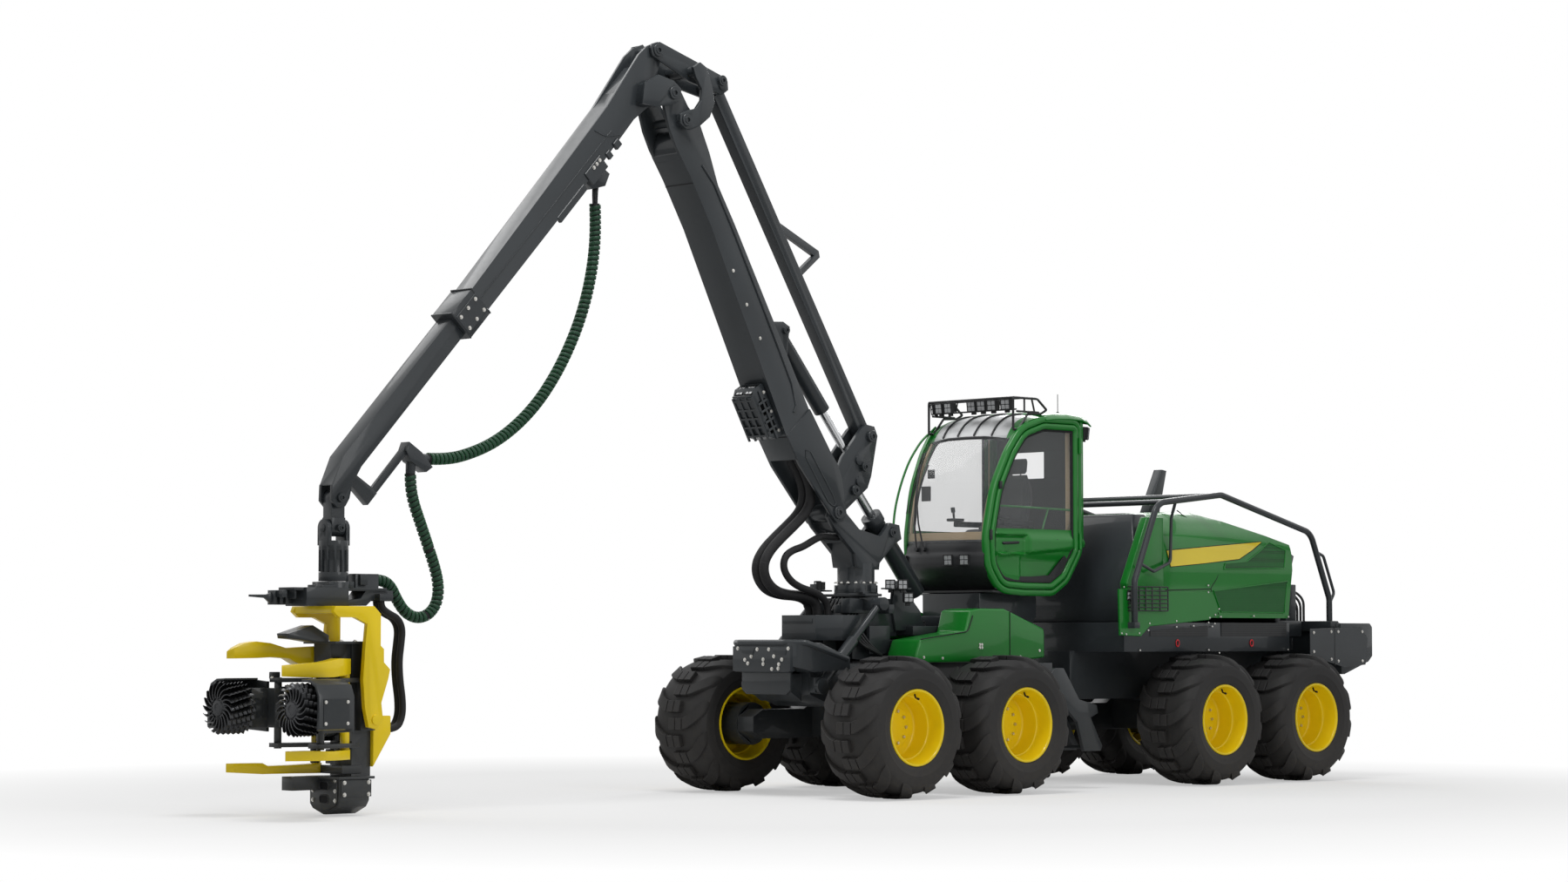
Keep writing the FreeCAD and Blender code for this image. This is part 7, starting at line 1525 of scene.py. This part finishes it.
def ringed(centre, facing, radius, count, phase=0.0):
    """Bolt places on a circle round an axis."""
    facing = Vector(facing).normalized()
    across = facing.orthogonal().normalized()
    over = facing.cross(across)
    turns = [2 * math.pi * k / count + phase for k in range(count)]
    return [(Vector(centre) + (across * math.cos(turn) + over * math.sin(turn)) * radius, facing)
            for turn in turns]


# ------------------------------------------------------------------------------------------------------
# Crane pins: turned steel caps on both ends of each pin, a raised collar round a recessed middle with a
# socket, painted with the plates.
# ------------------------------------------------------------------------------------------------------
def pin_caps(name, node, pins):
    """Caps at (x, z, half width that they stand on, radius)."""
    form = bmesh.new()
    for x, z, stand_on, radius in pins:
        for side in (1, -1):
            outline = [(0.0005, -0.004), (radius, -0.004), (radius, 0.012), (radius * 0.94, 0.017),
                       (radius * 0.60, 0.017), (radius * 0.56, 0.024), (radius * 0.36, 0.024),
                       (radius * 0.32, 0.010), (0.0005, 0.010)]
            turned(form, [(r, side * y) for r, y in outline], 24, Vector((x, side * stand_on, z)))
    return shown(name, finished(form, 32), node, *STEEL)


def reach(node, x, z, size=0.05):
    """Half width of a node's solid at a place, from its own mesh."""
    widths = [v.co.y for v in frame["nodes"][node].data.vertices if abs(v.co.x - x) < size
              and abs(v.co.z - z) < size]
    return max(widths) if widths else 0.1


for node, pins in (
    ("pillar", [(0.214, 2.676, 0.060), (-0.565, 2.502, 0.045)]),
    ("rocker", [(-0.312, 3.427, 0.058), (-0.215, 3.13, 0.045), (-0.085, 2.90, 0.050), (0.214, 2.676, 0.062)]),
    ("main_boom", [(2.350, 6.467, 0.060), (0.845, 4.387, 0.040)]),
    ("bell_crank", [(2.484, 6.854, 0.058), (1.70, 6.66, 0.050)]), ("curved_link", [(2.231, 6.225, 0.058)]),
    ("tip_link", [(5.988, 2.659, 0.038), (5.988, 2.404, 0.036)])):
    pin_caps(node + "_caps", node, [(x, z, reach(node, x, z), radius) for x, z, radius in pins])

# ------------------------------------------------------------------------------------------------------
# Boom and jib dressing: a slatted guard round two lamps on the boom's front, a rounded plug in the boom's
# head, pressed ribs on its flanks, the jib's bolted collar and fold line, and the long bar's clamp.
# ------------------------------------------------------------------------------------------------------
BOOM_FOOT, JIB_ROOT = Vector((0.2143, 0, 2.676)), Vector((2.350, 0, 6.467))
boom_way = (JIB_ROOT - BOOM_FOOT).normalized()
jib_way = Vector((0.679441, 0, -0.73373))


def on_boom(u, y, v):
    return BOOM_FOOT + boom_way * u + Vector((-boom_way.z, 0, boom_way.x)) * v + Vector((0, y, 0))


def on_jib(u, y, v):
    return JIB_ROOT + jib_way * u + Vector((-jib_way.z, 0, jib_way.x)) * v + Vector((0, y, 0))


def girder_blocks(name, node, finish, corners, to_place, ease=0.006):
    """Blocks in a girder's own directions: (low, high) in length, width and depth."""
    form = bmesh.new()
    axes = (to_place(1, 0, 0) - to_place(0, 0, 0), LEFT, to_place(0, 0, 1) - to_place(0, 0, 0))
    for low, high in corners:
        low, high = Vector(low), Vector(high)
        block_at(form, to_place(*(low + high) / 2), axes, high - low, ease)
    return shown(name, finished(form, 30), node, *finish)


slats = [((u, side * 0.146 - 0.007, -0.39), (u + 0.022, side * 0.146 + 0.007, -0.26))
         for side in (1, -1) for u in (1.065, 1.145, 1.255, 1.335)]
slats += [((0.965, side * 0.148 - 0.006, z - 0.012), (1.46, side * 0.148 + 0.006, z + 0.012))
          for side in (1, -1) for z in (-0.32,)]
slats += [((1.40 + 0.05 * k, -0.12, -0.425), (1.415 + 0.05 * k, 0.12, -0.412)) for k in range(2)]
slats += [((0.99, y - 0.012, -0.425), (1.44, y + 0.012, -0.408)) for y in (-0.13, -0.045, 0.045, 0.13)]
slats += [((1.03 + 0.09 * k, -0.13, -0.424), (1.05 + 0.09 * k, 0.13, -0.410)) for k in range(4)]
girder_blocks("boom_guard_bars", "main_boom", STEEL, slats, on_boom, 0.003)
guard_way = (boom_way * 0.9 - Vector((-boom_way.z, 0, boom_way.x)) * 0.45)
lamps("boom_lamp", "main_boom", [(on_boom(1.46, y, -0.335), guard_way) for y in (-0.065, 0.065)], 0.05)

plug = []
for side_angle in range(9):
    a = math.radians(-100 + 200 * side_angle / 8)
    plug.append((3.80 + 0.20 * math.cos(a), 0.16 * math.sin(a) - 0.02))
form = bmesh.new()
face = form.faces.new([form.verts.new(on_boom(u, -0.155, v)) for u, v in plug])
made = bmesh.ops.extrude_face_region(form, geom=[face])["geom"]
bmesh.ops.translate(form, verts=[v for v in made if isinstance(v, bmesh.types.BMVert)], vec=(0, 0.31, 0))
shown("boom_plug", finished(form, 40), "main_boom", *STEEL)

ribs = []
for side in (1, -1):
    flank_y = 0.192 * side
    outer = [(3.62, 0.02), (3.40, 0.075), (2.9, 0.085), (2.2, 0.078), (1.7, 0.070), (1.35, 0.06),
             (1.14, 0.01), (1.10, -0.05)]
    ribs.append(([on_boom(u, flank_y, v) for u, v in outer], 0.010))
    ribs.append(([on_boom(u, side * 0.2065, v) for u, v in (
        (0.10, -0.045), (0.16, -0.075), (0.66, -0.13), (0.72, -0.10), (0.68, -0.05), (0.20, 0.01),
        (0.10, 0.01), (0.08, -0.02), (0.10, -0.045))], 0.007))
bars("boom_ribs", "main_boom", STEEL, ribs, sides=8)
bars("boom_seams", "main_boom", RUBBER_SEAL, [
    ([on_boom(3.52, -0.188, -0.162), on_boom(3.52, 0.188, -0.162)], 0.005),
    ([on_boom(0.935, -0.185, -0.246), on_boom(0.935, 0.185, -0.246)], 0.005)], sides=6)

jib_runs = []
for side in (1, -1):
    jib_runs.append(([on_jib(0.75, side * 0.1185, 0.215), on_jib(2.97, side * 0.1185, 0.215)], 0.0045))
    jib_runs.append((bent([on_jib(0.90, side * 0.1175, 0.35), on_jib(0.84, side * 0.1175, 0.22),
                           on_jib(0.70, side * 0.1175, 0.12)], 0.1), 0.006))
bars("jib_fold_lines", "jib_arm", STEEL, jib_runs, sides=6)
plates_on_jib = []
for side in (1, -1):
    plates_on_jib.append(((1.02, side * 0.122 - 0.008, 0.02), (1.28, side * 0.122 + 0.008, 0.16)))
    plates_on_jib.append(((2.99, side * 0.144 - 0.008, 0.10), (3.30, side * 0.144 + 0.008, 0.30)))
plates_on_jib += [((2.982, -0.146, 0.055), (2.998, 0.146, 0.36)),
                  ((3.296, -0.146, 0.055), (3.312, 0.146, 0.36)),
                  ((1.05, -0.05, -0.06), (1.22, 0.05, 0.09)), ((1.35, 0.085, 0.04), (1.80, 0.122, 0.105)),
                  ((0.75, 0.095, 0.05), (0.83, 0.135, 0.125)), ((0.90, 0.095, 0.045), (0.96, 0.130, 0.12))]
girder_blocks("jib_plates", "jib_arm", STEEL, plates_on_jib, on_jib, 0.005)

hose_top = Vector((3.1073, 0, 5.400))
fittings, silver = [], []
for k in range(3):
    y = -0.028 + 0.028 * k
    root = on_jib(1.15, y, -0.045)
    fittings.append((bent([root, Vector((hose_top.x + 0.004 * (k - 1), y, hose_top.z + 0.10)),
                           Vector((hose_top.x, y * 0.6, hose_top.z - 0.03))], 0.06), 0.0125))
    silver.append(([root + Vector((0.0, 0, 0.02)),
                    root.lerp(Vector((hose_top.x, y, hose_top.z + 0.10)), 0.5)], 0.017))
bars("jib_hose_tails", "jib_arm", BLACK_TRIM, fittings)
bars("jib_hose_ferrules", "jib_arm", ZINC, silver)

# ------------------------------------------------------------------------------------------------------
# Chassis front: the bumper's bolted plate with pressed recesses, the hose box with screws, working lamps
# at the crane's foot, green covers with a pressed fold marked by a black line of painted shade and a dark
# joint, and the dark stepped deck in front of the cab.
# ------------------------------------------------------------------------------------------------------
BUMPER_X = 1.0323
form = bmesh.new()
folded(form, [(-0.385, 1.405), (-0.385, 1.175), (-0.345, 1.165), (0.350, 1.165), (0.395, 1.175),
              (0.395, 1.405)], BUMPER_X - 0.06, BUMPER_X + 0.010, 0.006)
folded(form, [(-0.315, 1.18), (0.345, 1.18), (0.345, 1.00), (0.285, 0.955), (-0.255, 0.955),
              (-0.315, 1.00)], 0.962, 0.990, 0.006)
for low, high in ((-0.275, -0.075), (0.165, 0.365)):
    folded(form, [(low, 1.392), (low + 0.02, 1.338), (high - 0.03, 1.322), (high - 0.005, 1.392)],
           BUMPER_X + 0.008, BUMPER_X + 0.015, 0.003)
shown("bumper_plates", finished(form, 30), "front_bumper", *STEEL)
bumper_spots = [((BUMPER_X + 0.009, y, z), (1, 0, 0)) for y, z in (
    (-0.314, 1.385), (-0.048, 1.377), (0.110, 1.377), (0.372, 1.385), (-0.130, 1.310), (0.178, 1.312),
    (-0.217, 1.278), (0.034, 1.282), (0.286, 1.283), (-0.176, 1.245), (0.034, 1.240), (0.245, 1.238),
    (0.151, 1.194), (0.237, 1.199))]
bolted("bumper_bolts", "front_bumper", bumper_spots, 0.0125, 0.012, 0.019)
lamps("base_lamp", "slew_base", [
    (Vector((-0.36, 0.33, 1.995)), (0.75, 0.66, 0)), (Vector((-0.44, 0.415, 1.995)), (0.6, 0.8, 0)),
    (Vector((0.02, -0.27, 1.985)), (0.85, -0.5, 0)), (Vector((-0.50, 0.43, 1.87)), (0.5, 0.85, 0))], 0.048)
base_blocks = [((-0.62, 0.26, 1.95), (-0.30, 0.36, 1.965)), ((-0.10, -0.34, 1.93), (0.06, -0.20, 1.945)),
                  ((-0.20, 0.18, 1.72), (0.16, 0.30, 1.86)), ((-0.06, -0.29, 1.70), (0.18, -0.12, 1.82)),
                  ((0.02, 0.08, 1.72), (0.16, 0.17, 1.80)), ((0.545, -0.21, 1.62), (0.552, 0.19, 1.67)),
                  ((-0.34, 0.30, 1.33), (-0.06, 0.345, 1.60)), ((-0.34, -0.345, 1.33), (-0.06, -0.30, 1.60))]
blocks("base_blocks", "slew_base", STEEL, base_blocks, 0.007)
base_pipes = [(bent([(-0.02 + 0.04 * k, 0.24, 1.76), (0.08 + 0.04 * k, 0.30, 1.62),
                     (-0.05 + 0.04 * k, 0.36, 1.42), (-0.2, 0.37, 1.32)], 0.08), 0.013) for k in range(4)]
base_pipes += [(bent([(0.10, 0.05 - 0.05 * k, 1.74), (0.02, 0.05 - 0.05 * k, 1.86),
                      (-0.08, 0.03 - 0.04 * k, 1.90)], 0.06), 0.014) for k in range(4)]
bars("base_pipes", "slew_base", BLACK_TRIM, base_pipes)
eased("front_hood", *GREEN_SHEET, width=0.022, segments=4)
# On each side a black line along the pressed fold is painted shade in the crease; the upright line is a dark
# joint between covers.
fold_shade_and_seam = []
for side in (1, -1):
    y = side * 0.793
    fold_shade_and_seam.append((bent([(-0.30, y, 1.47), (-0.95, y, 1.545), (-1.02, y, 1.70)], 0.04), 0.006))
    fold_shade_and_seam.append(([(-1.55, y, 1.30), (-1.55, y, 1.74)], 0.004))
bars("front_hood_fold_shade_and_seam", "front_hood", RUBBER_SEAL, fold_shade_and_seam, sides=6)
deck = [((-1.45, -0.38, 1.505), (-0.62, 0.38, 1.60)), ((-1.50, -0.30, 1.60), (-1.10, 0.30, 1.70))]
blocks("deck_boxes", "front_frame", STEEL, deck, 0.015)
grip = [(-0.70, 0.25, 1.59), (-0.70, 0.25, 1.64), (-0.92, 0.25, 1.64), (-0.92, 0.25, 1.59)]
bars("deck_grips", "front_frame", BLACK_TRIM, [(bent(grip, 0.02), 0.009)])

# ------------------------------------------------------------------------------------------------------
# Rear corner: green corner strips beside the dark shroud, guarded lamps on the lower cover, a rack and
# couplings at the tail, pressed panels and a latch on the tail box.
# ------------------------------------------------------------------------------------------------------
eased("hood_bezels", *GREEN_SHEET, width=0.012, segments=3)
lamps("side_lamp", "hood", [(Vector((-3.02, 1.075, 1.905)), (0.45, 0.9, -0.1)),
                            (Vector((-3.02, -1.075, 1.905)), (0.45, -0.9, -0.1))], 0.045)
cage = []
for side in (1, -1):
    y0, y1 = 1.072 * side, 1.125 * side
    for z in (1.995, 1.955, 1.91, 1.87, 1.83, 1.79, 1.755):
        cage.append((bent([(-2.985, y0, z), (-2.985, y1, z), (-3.545, y1, z), (-3.545, y0, z)], 0.01),
                     0.0065))
    for x in (-2.985, -3.10, -3.20, -3.30, -3.42, -3.545):
        cage.append(([(x, y1, 1.995), (x, y1, 1.755)], 0.0075))
bars("lamp_cages", "hood", BLACK_TRIM, cage, sides=6)
tail = [((-5.98, 0.70, 1.65), (-5.80, 0.86, 2.05)), ((-6.05, 0.62, 1.65), (-5.95, 0.80, 1.72)),
                  ((-5.95, -0.86, 1.65), (-5.80, -0.70, 1.98))]
blocks("tail_blocks", "tail_box", STEEL, tail, 0.012)
couplings = []
for k in range(4):
    x = -6.02 - 0.055 * k
    couplings.append((bent([(x, 0.80, 1.66), (x, 0.80, 1.80 + 0.03 * k), (x + 0.04, 0.72, 1.92 + 0.02 * k),
                            (-5.86, 0.66, 1.95)], 0.06), 0.014))
bars("tail_couplings", "tail_box", BLACK_TRIM, couplings)
panel = [(-5.70, 1.58), (-6.58, 1.60), (-6.70, 1.48), (-6.66, 1.20), (-6.30, 1.17), (-5.70, 1.30)]
plates("tail_panels", "tail_box", STEEL, paired(panel, 1.249, 1.256), 0.004)
tail_seams = [([(-6.12, y, 1.19), (-6.12, y, 1.60)], 0.005) for y in (1.254, -1.254)]
bars("tail_seams", "tail_box", RUBBER_SEAL, tail_seams, sides=6)
tail_spots = [((x, side * 1.256, z), (0, side, 0)) for side in (1, -1) for x, z in (
    (-5.76, 1.54), (-5.76, 1.34), (-6.06, 1.55), (-6.18, 1.55), (-6.06, 1.26), (-6.18, 1.24), (-6.60, 1.55),
    (-6.60, 1.24))]
bolted("tail_bolts", "tail_box", tail_spots, 0.011, 0.010, 0.016)

# ------------------------------------------------------------------------------------------------------
# Rows of bolts on the crane, the head, the mid joint's plates and the cab's foot.
# ------------------------------------------------------------------------------------------------------
collar_spots = [(on_jib(u, side * 0.152, v), (0, side, 0)) for side in (1, -1) for u in (3.03, 3.145, 3.26)
                for v in (0.135, 0.265)]
collar_spots += [(on_jib(1.06 + 0.05 * k, side * 0.130, 0.13), (0, side, 0)) for side in (1, -1)
                 for k in range(3)]
bolted("jib_bolts", "jib_arm", collar_spots, 0.012, 0.012, 0.018)
boom_spots = [(on_boom(u, side * 0.141, -0.262), (0, side, 0)) for side in (1, -1)
              for u in (1.02, 1.22, 1.42)]
boom_spots += [(on_boom(1.9 + 0.35 * k, side * 0.190, -0.10), (0, side, 0)) for side in (1, -1)
               for k in range(3)]
for side in (1, -1):
    boom_spots += ringed(on_boom(0, side * 0.2065, 0), (0, side, 0), 0.034, 3)
bolted("boom_bolts", "main_boom", boom_spots, 0.011, 0.011, 0.017)
bolted("rotator_bolts", "rotator", ringed((5.988, 0, 2.005), (0, 0, 1), 0.105, 10), 0.010, 0.010, 0.015)
bolted("pillar_bolts", "pillar", ringed((-0.223, 0, 2.012), (0, 0, 1), 0.195, 16), 0.012, 0.012, 0.018)
head_spots = [((6.0675, y, z), (1, 0, 0)) for y in (-0.155, 0.155) for z in (0.295, 0.21, 0.13)]
head_spots += [((x, side * 0.219, z), (0, side, 0)) for side in (1, -1) for x in (5.77, 6.02)
               for z in (0.18, 0.28)]
head_spots += [((x, y, 1.457), (0, 0, 1)) for x in (5.76, 5.90, 6.04) for y in (-0.19, 0.19)]
head_spots += [((6.388, side * 0.30, 1.152), (0, 0, 1)) for side in (1, -1)]
bolted("head_bolts", "head_frame", head_spots, 0.012, 0.012, 0.018)
for side, side_name in SIDES:
    spots = [((x, side * 0.797, z), (0, side, 0)) for x in (6.42, 6.64) for z in (0.79, 0.965)]
    spots += ringed((6.372, 0.52 * side, 0.90), (1, 0, 0), 0.175, 6, 0.3)
    bolted(f"guard_bolts_{side_name}", f"roller_arm_{side_name}", spots, 0.010, 0.010, 0.015)
frame_spots = [((x, side * 0.402, z), (0, side, 0)) for side in (1, -1)
               for x in (-2.30, -2.15, -1.95, -1.60, -1.30) for z in (1.10, 1.36)]
bolted("front_frame_bolts", "front_frame", frame_spots, 0.013, 0.013, 0.020)
cover_spots = [((x, side * 0.792, z), (0, side, 0)) for side in (1, -1) for x, z in (
    (-0.34, 1.30), (-0.60, 1.29), (-1.35, 1.30), (-1.70, 1.30), (-1.98, 1.36), (-1.12, 1.42), (-1.15, 1.42),
    (-1.12, 1.39), (-1.15, 1.39))]
bolted("front_hood_bolts", "front_hood", cover_spots, 0.009, 0.009, 0.014)

# ------------------------------------------------------------------------------------------------------
# Studio: a pale floor that fades into the backdrop, soft area lamps and the camera
# ------------------------------------------------------------------------------------------------------
EYE = Vector((23.2846, 23.4481, 1.4848))
EYE_AZIMUTH = math.radians(136.1247)
EYE_ELEVATION = math.radians(-3.2771)
EYE_LENS = 78.96

camera = linked("camera", bpy.data.cameras.new("camera"))
camera.data.sensor_width = 36.0
camera.data.lens = EYE_LENS
camera.data.clip_end = 400.0
back = Vector((math.sin(EYE_AZIMUTH) * math.cos(EYE_ELEVATION),
               -math.cos(EYE_AZIMUTH) * math.cos(EYE_ELEVATION), math.sin(EYE_ELEVATION)))
camera.location = EYE
camera.rotation_mode = "QUATERNION"
camera.rotation_quaternion = (-back).to_track_quat("-Z", "Y")
bpy.context.scene.camera = camera

FLOOR_REACH = 150.0
FLOOR_DROP = -0.002
floor_mesh = bpy.data.meshes.new("studio_floor")
floor_mesh.from_pydata([(a * FLOOR_REACH, b * FLOOR_REACH, FLOOR_DROP)
                        for a, b in ((-1, -1), (1, -1), (1, 1), (-1, 1))], [], [(0, 1, 2, 3)])
floor = linked("studio_floor", floor_mesh)


def seen_directly(tree):
    """1 for rays from the camera and rays that have passed through a pane, and the node that says so."""
    path = added(tree, "ShaderNodeLightPath").outputs
    rays = {0: path["Is Camera Ray"], 1: path["Is Transmission Ray"]}
    return added(tree, "ShaderNodeMath", rays, operation="MAXIMUM").outputs["Value"], path


matt = bpy.data.materials.new("studio_floor")
matt.use_nodes = True
tree = matt.node_tree
tree.nodes.clear()
lit = added(tree, "ShaderNodeBsdfDiffuse", {"Color": (0.90, 0.90, 0.90, 1)})
glow = added(tree, "ShaderNodeEmission", {"Color": (1, 1, 1, 1)})
seen, _ = seen_directly(tree)
place = added(tree, "ShaderNodeTexCoord").outputs["Object"]
far = added(tree, "ShaderNodeVectorMath", {0: place}, operation="LENGTH")
FADE_START, FADE_END = 6.0, 11.0
fade = added(tree, "ShaderNodeMapRange", {"From Min": FADE_START, "From Max": FADE_END, "To Min": 0.45,
                                          "To Max": 1.0, "Value": far.outputs["Value"]})
share = added(tree, "ShaderNodeMath", {0: seen, 1: fade.outputs["Result"]}, operation="MULTIPLY")
mixer = added(tree, "ShaderNodeMixShader",
              {"Fac": share.outputs["Value"], 1: lit.outputs["BSDF"], 2: glow.outputs["Emission"]})
added(tree, "ShaderNodeOutputMaterial", {"Surface": mixer.outputs["Shader"]})
floor_mesh.materials.append(matt)

sky = bpy.data.worlds.new("studio")
bpy.context.scene.world = sky
sky.use_nodes = True
tree = sky.node_tree
seen, path = seen_directly(tree)
also = added(tree, "ShaderNodeMath", {0: seen, 1: path["Is Glossy Ray"]}, operation="MAXIMUM")
level = added(tree, "ShaderNodeMapRange", {"To Min": 0.28, "To Max": 1.0, "Value": also.outputs["Value"]})
tree.links.new(level.outputs["Result"], tree.nodes["Background"].inputs["Strength"])
tree.nodes["Background"].inputs["Color"].default_value = (1, 1, 1, 1)

for name, place, aim, size, power in (
        ("key", (4.0, 3.0, 15.0), (0.0, 0.0, 1.5), 6.0, 900.0),
        ("side", (3.0, 16.0, 8.0), (-1.0, 0.0, 1.5), 7.0, 420.0),
        ("far_top", (2.0, -13.0, 16.2), (3.5, 0.0, 5.0), 10.0, 520.0),
        ("rear", (-14.0, -8.0, 10.0), (-2.0, 0.0, 2.0), 6.0, 600.0)):
    lamp = linked(name, bpy.data.lights.new(name, "AREA"))
    lamp.data.shape = "DISK"
    lamp.data.size = size
    lamp.data.energy = power
    lamp.location = place
    lamp.rotation_mode = "QUATERNION"
    lamp.rotation_quaternion = (Vector(aim) - Vector(place)).to_track_quat("-Z", "Y")

bpy.context.scene.view_settings.view_transform = "Standard"
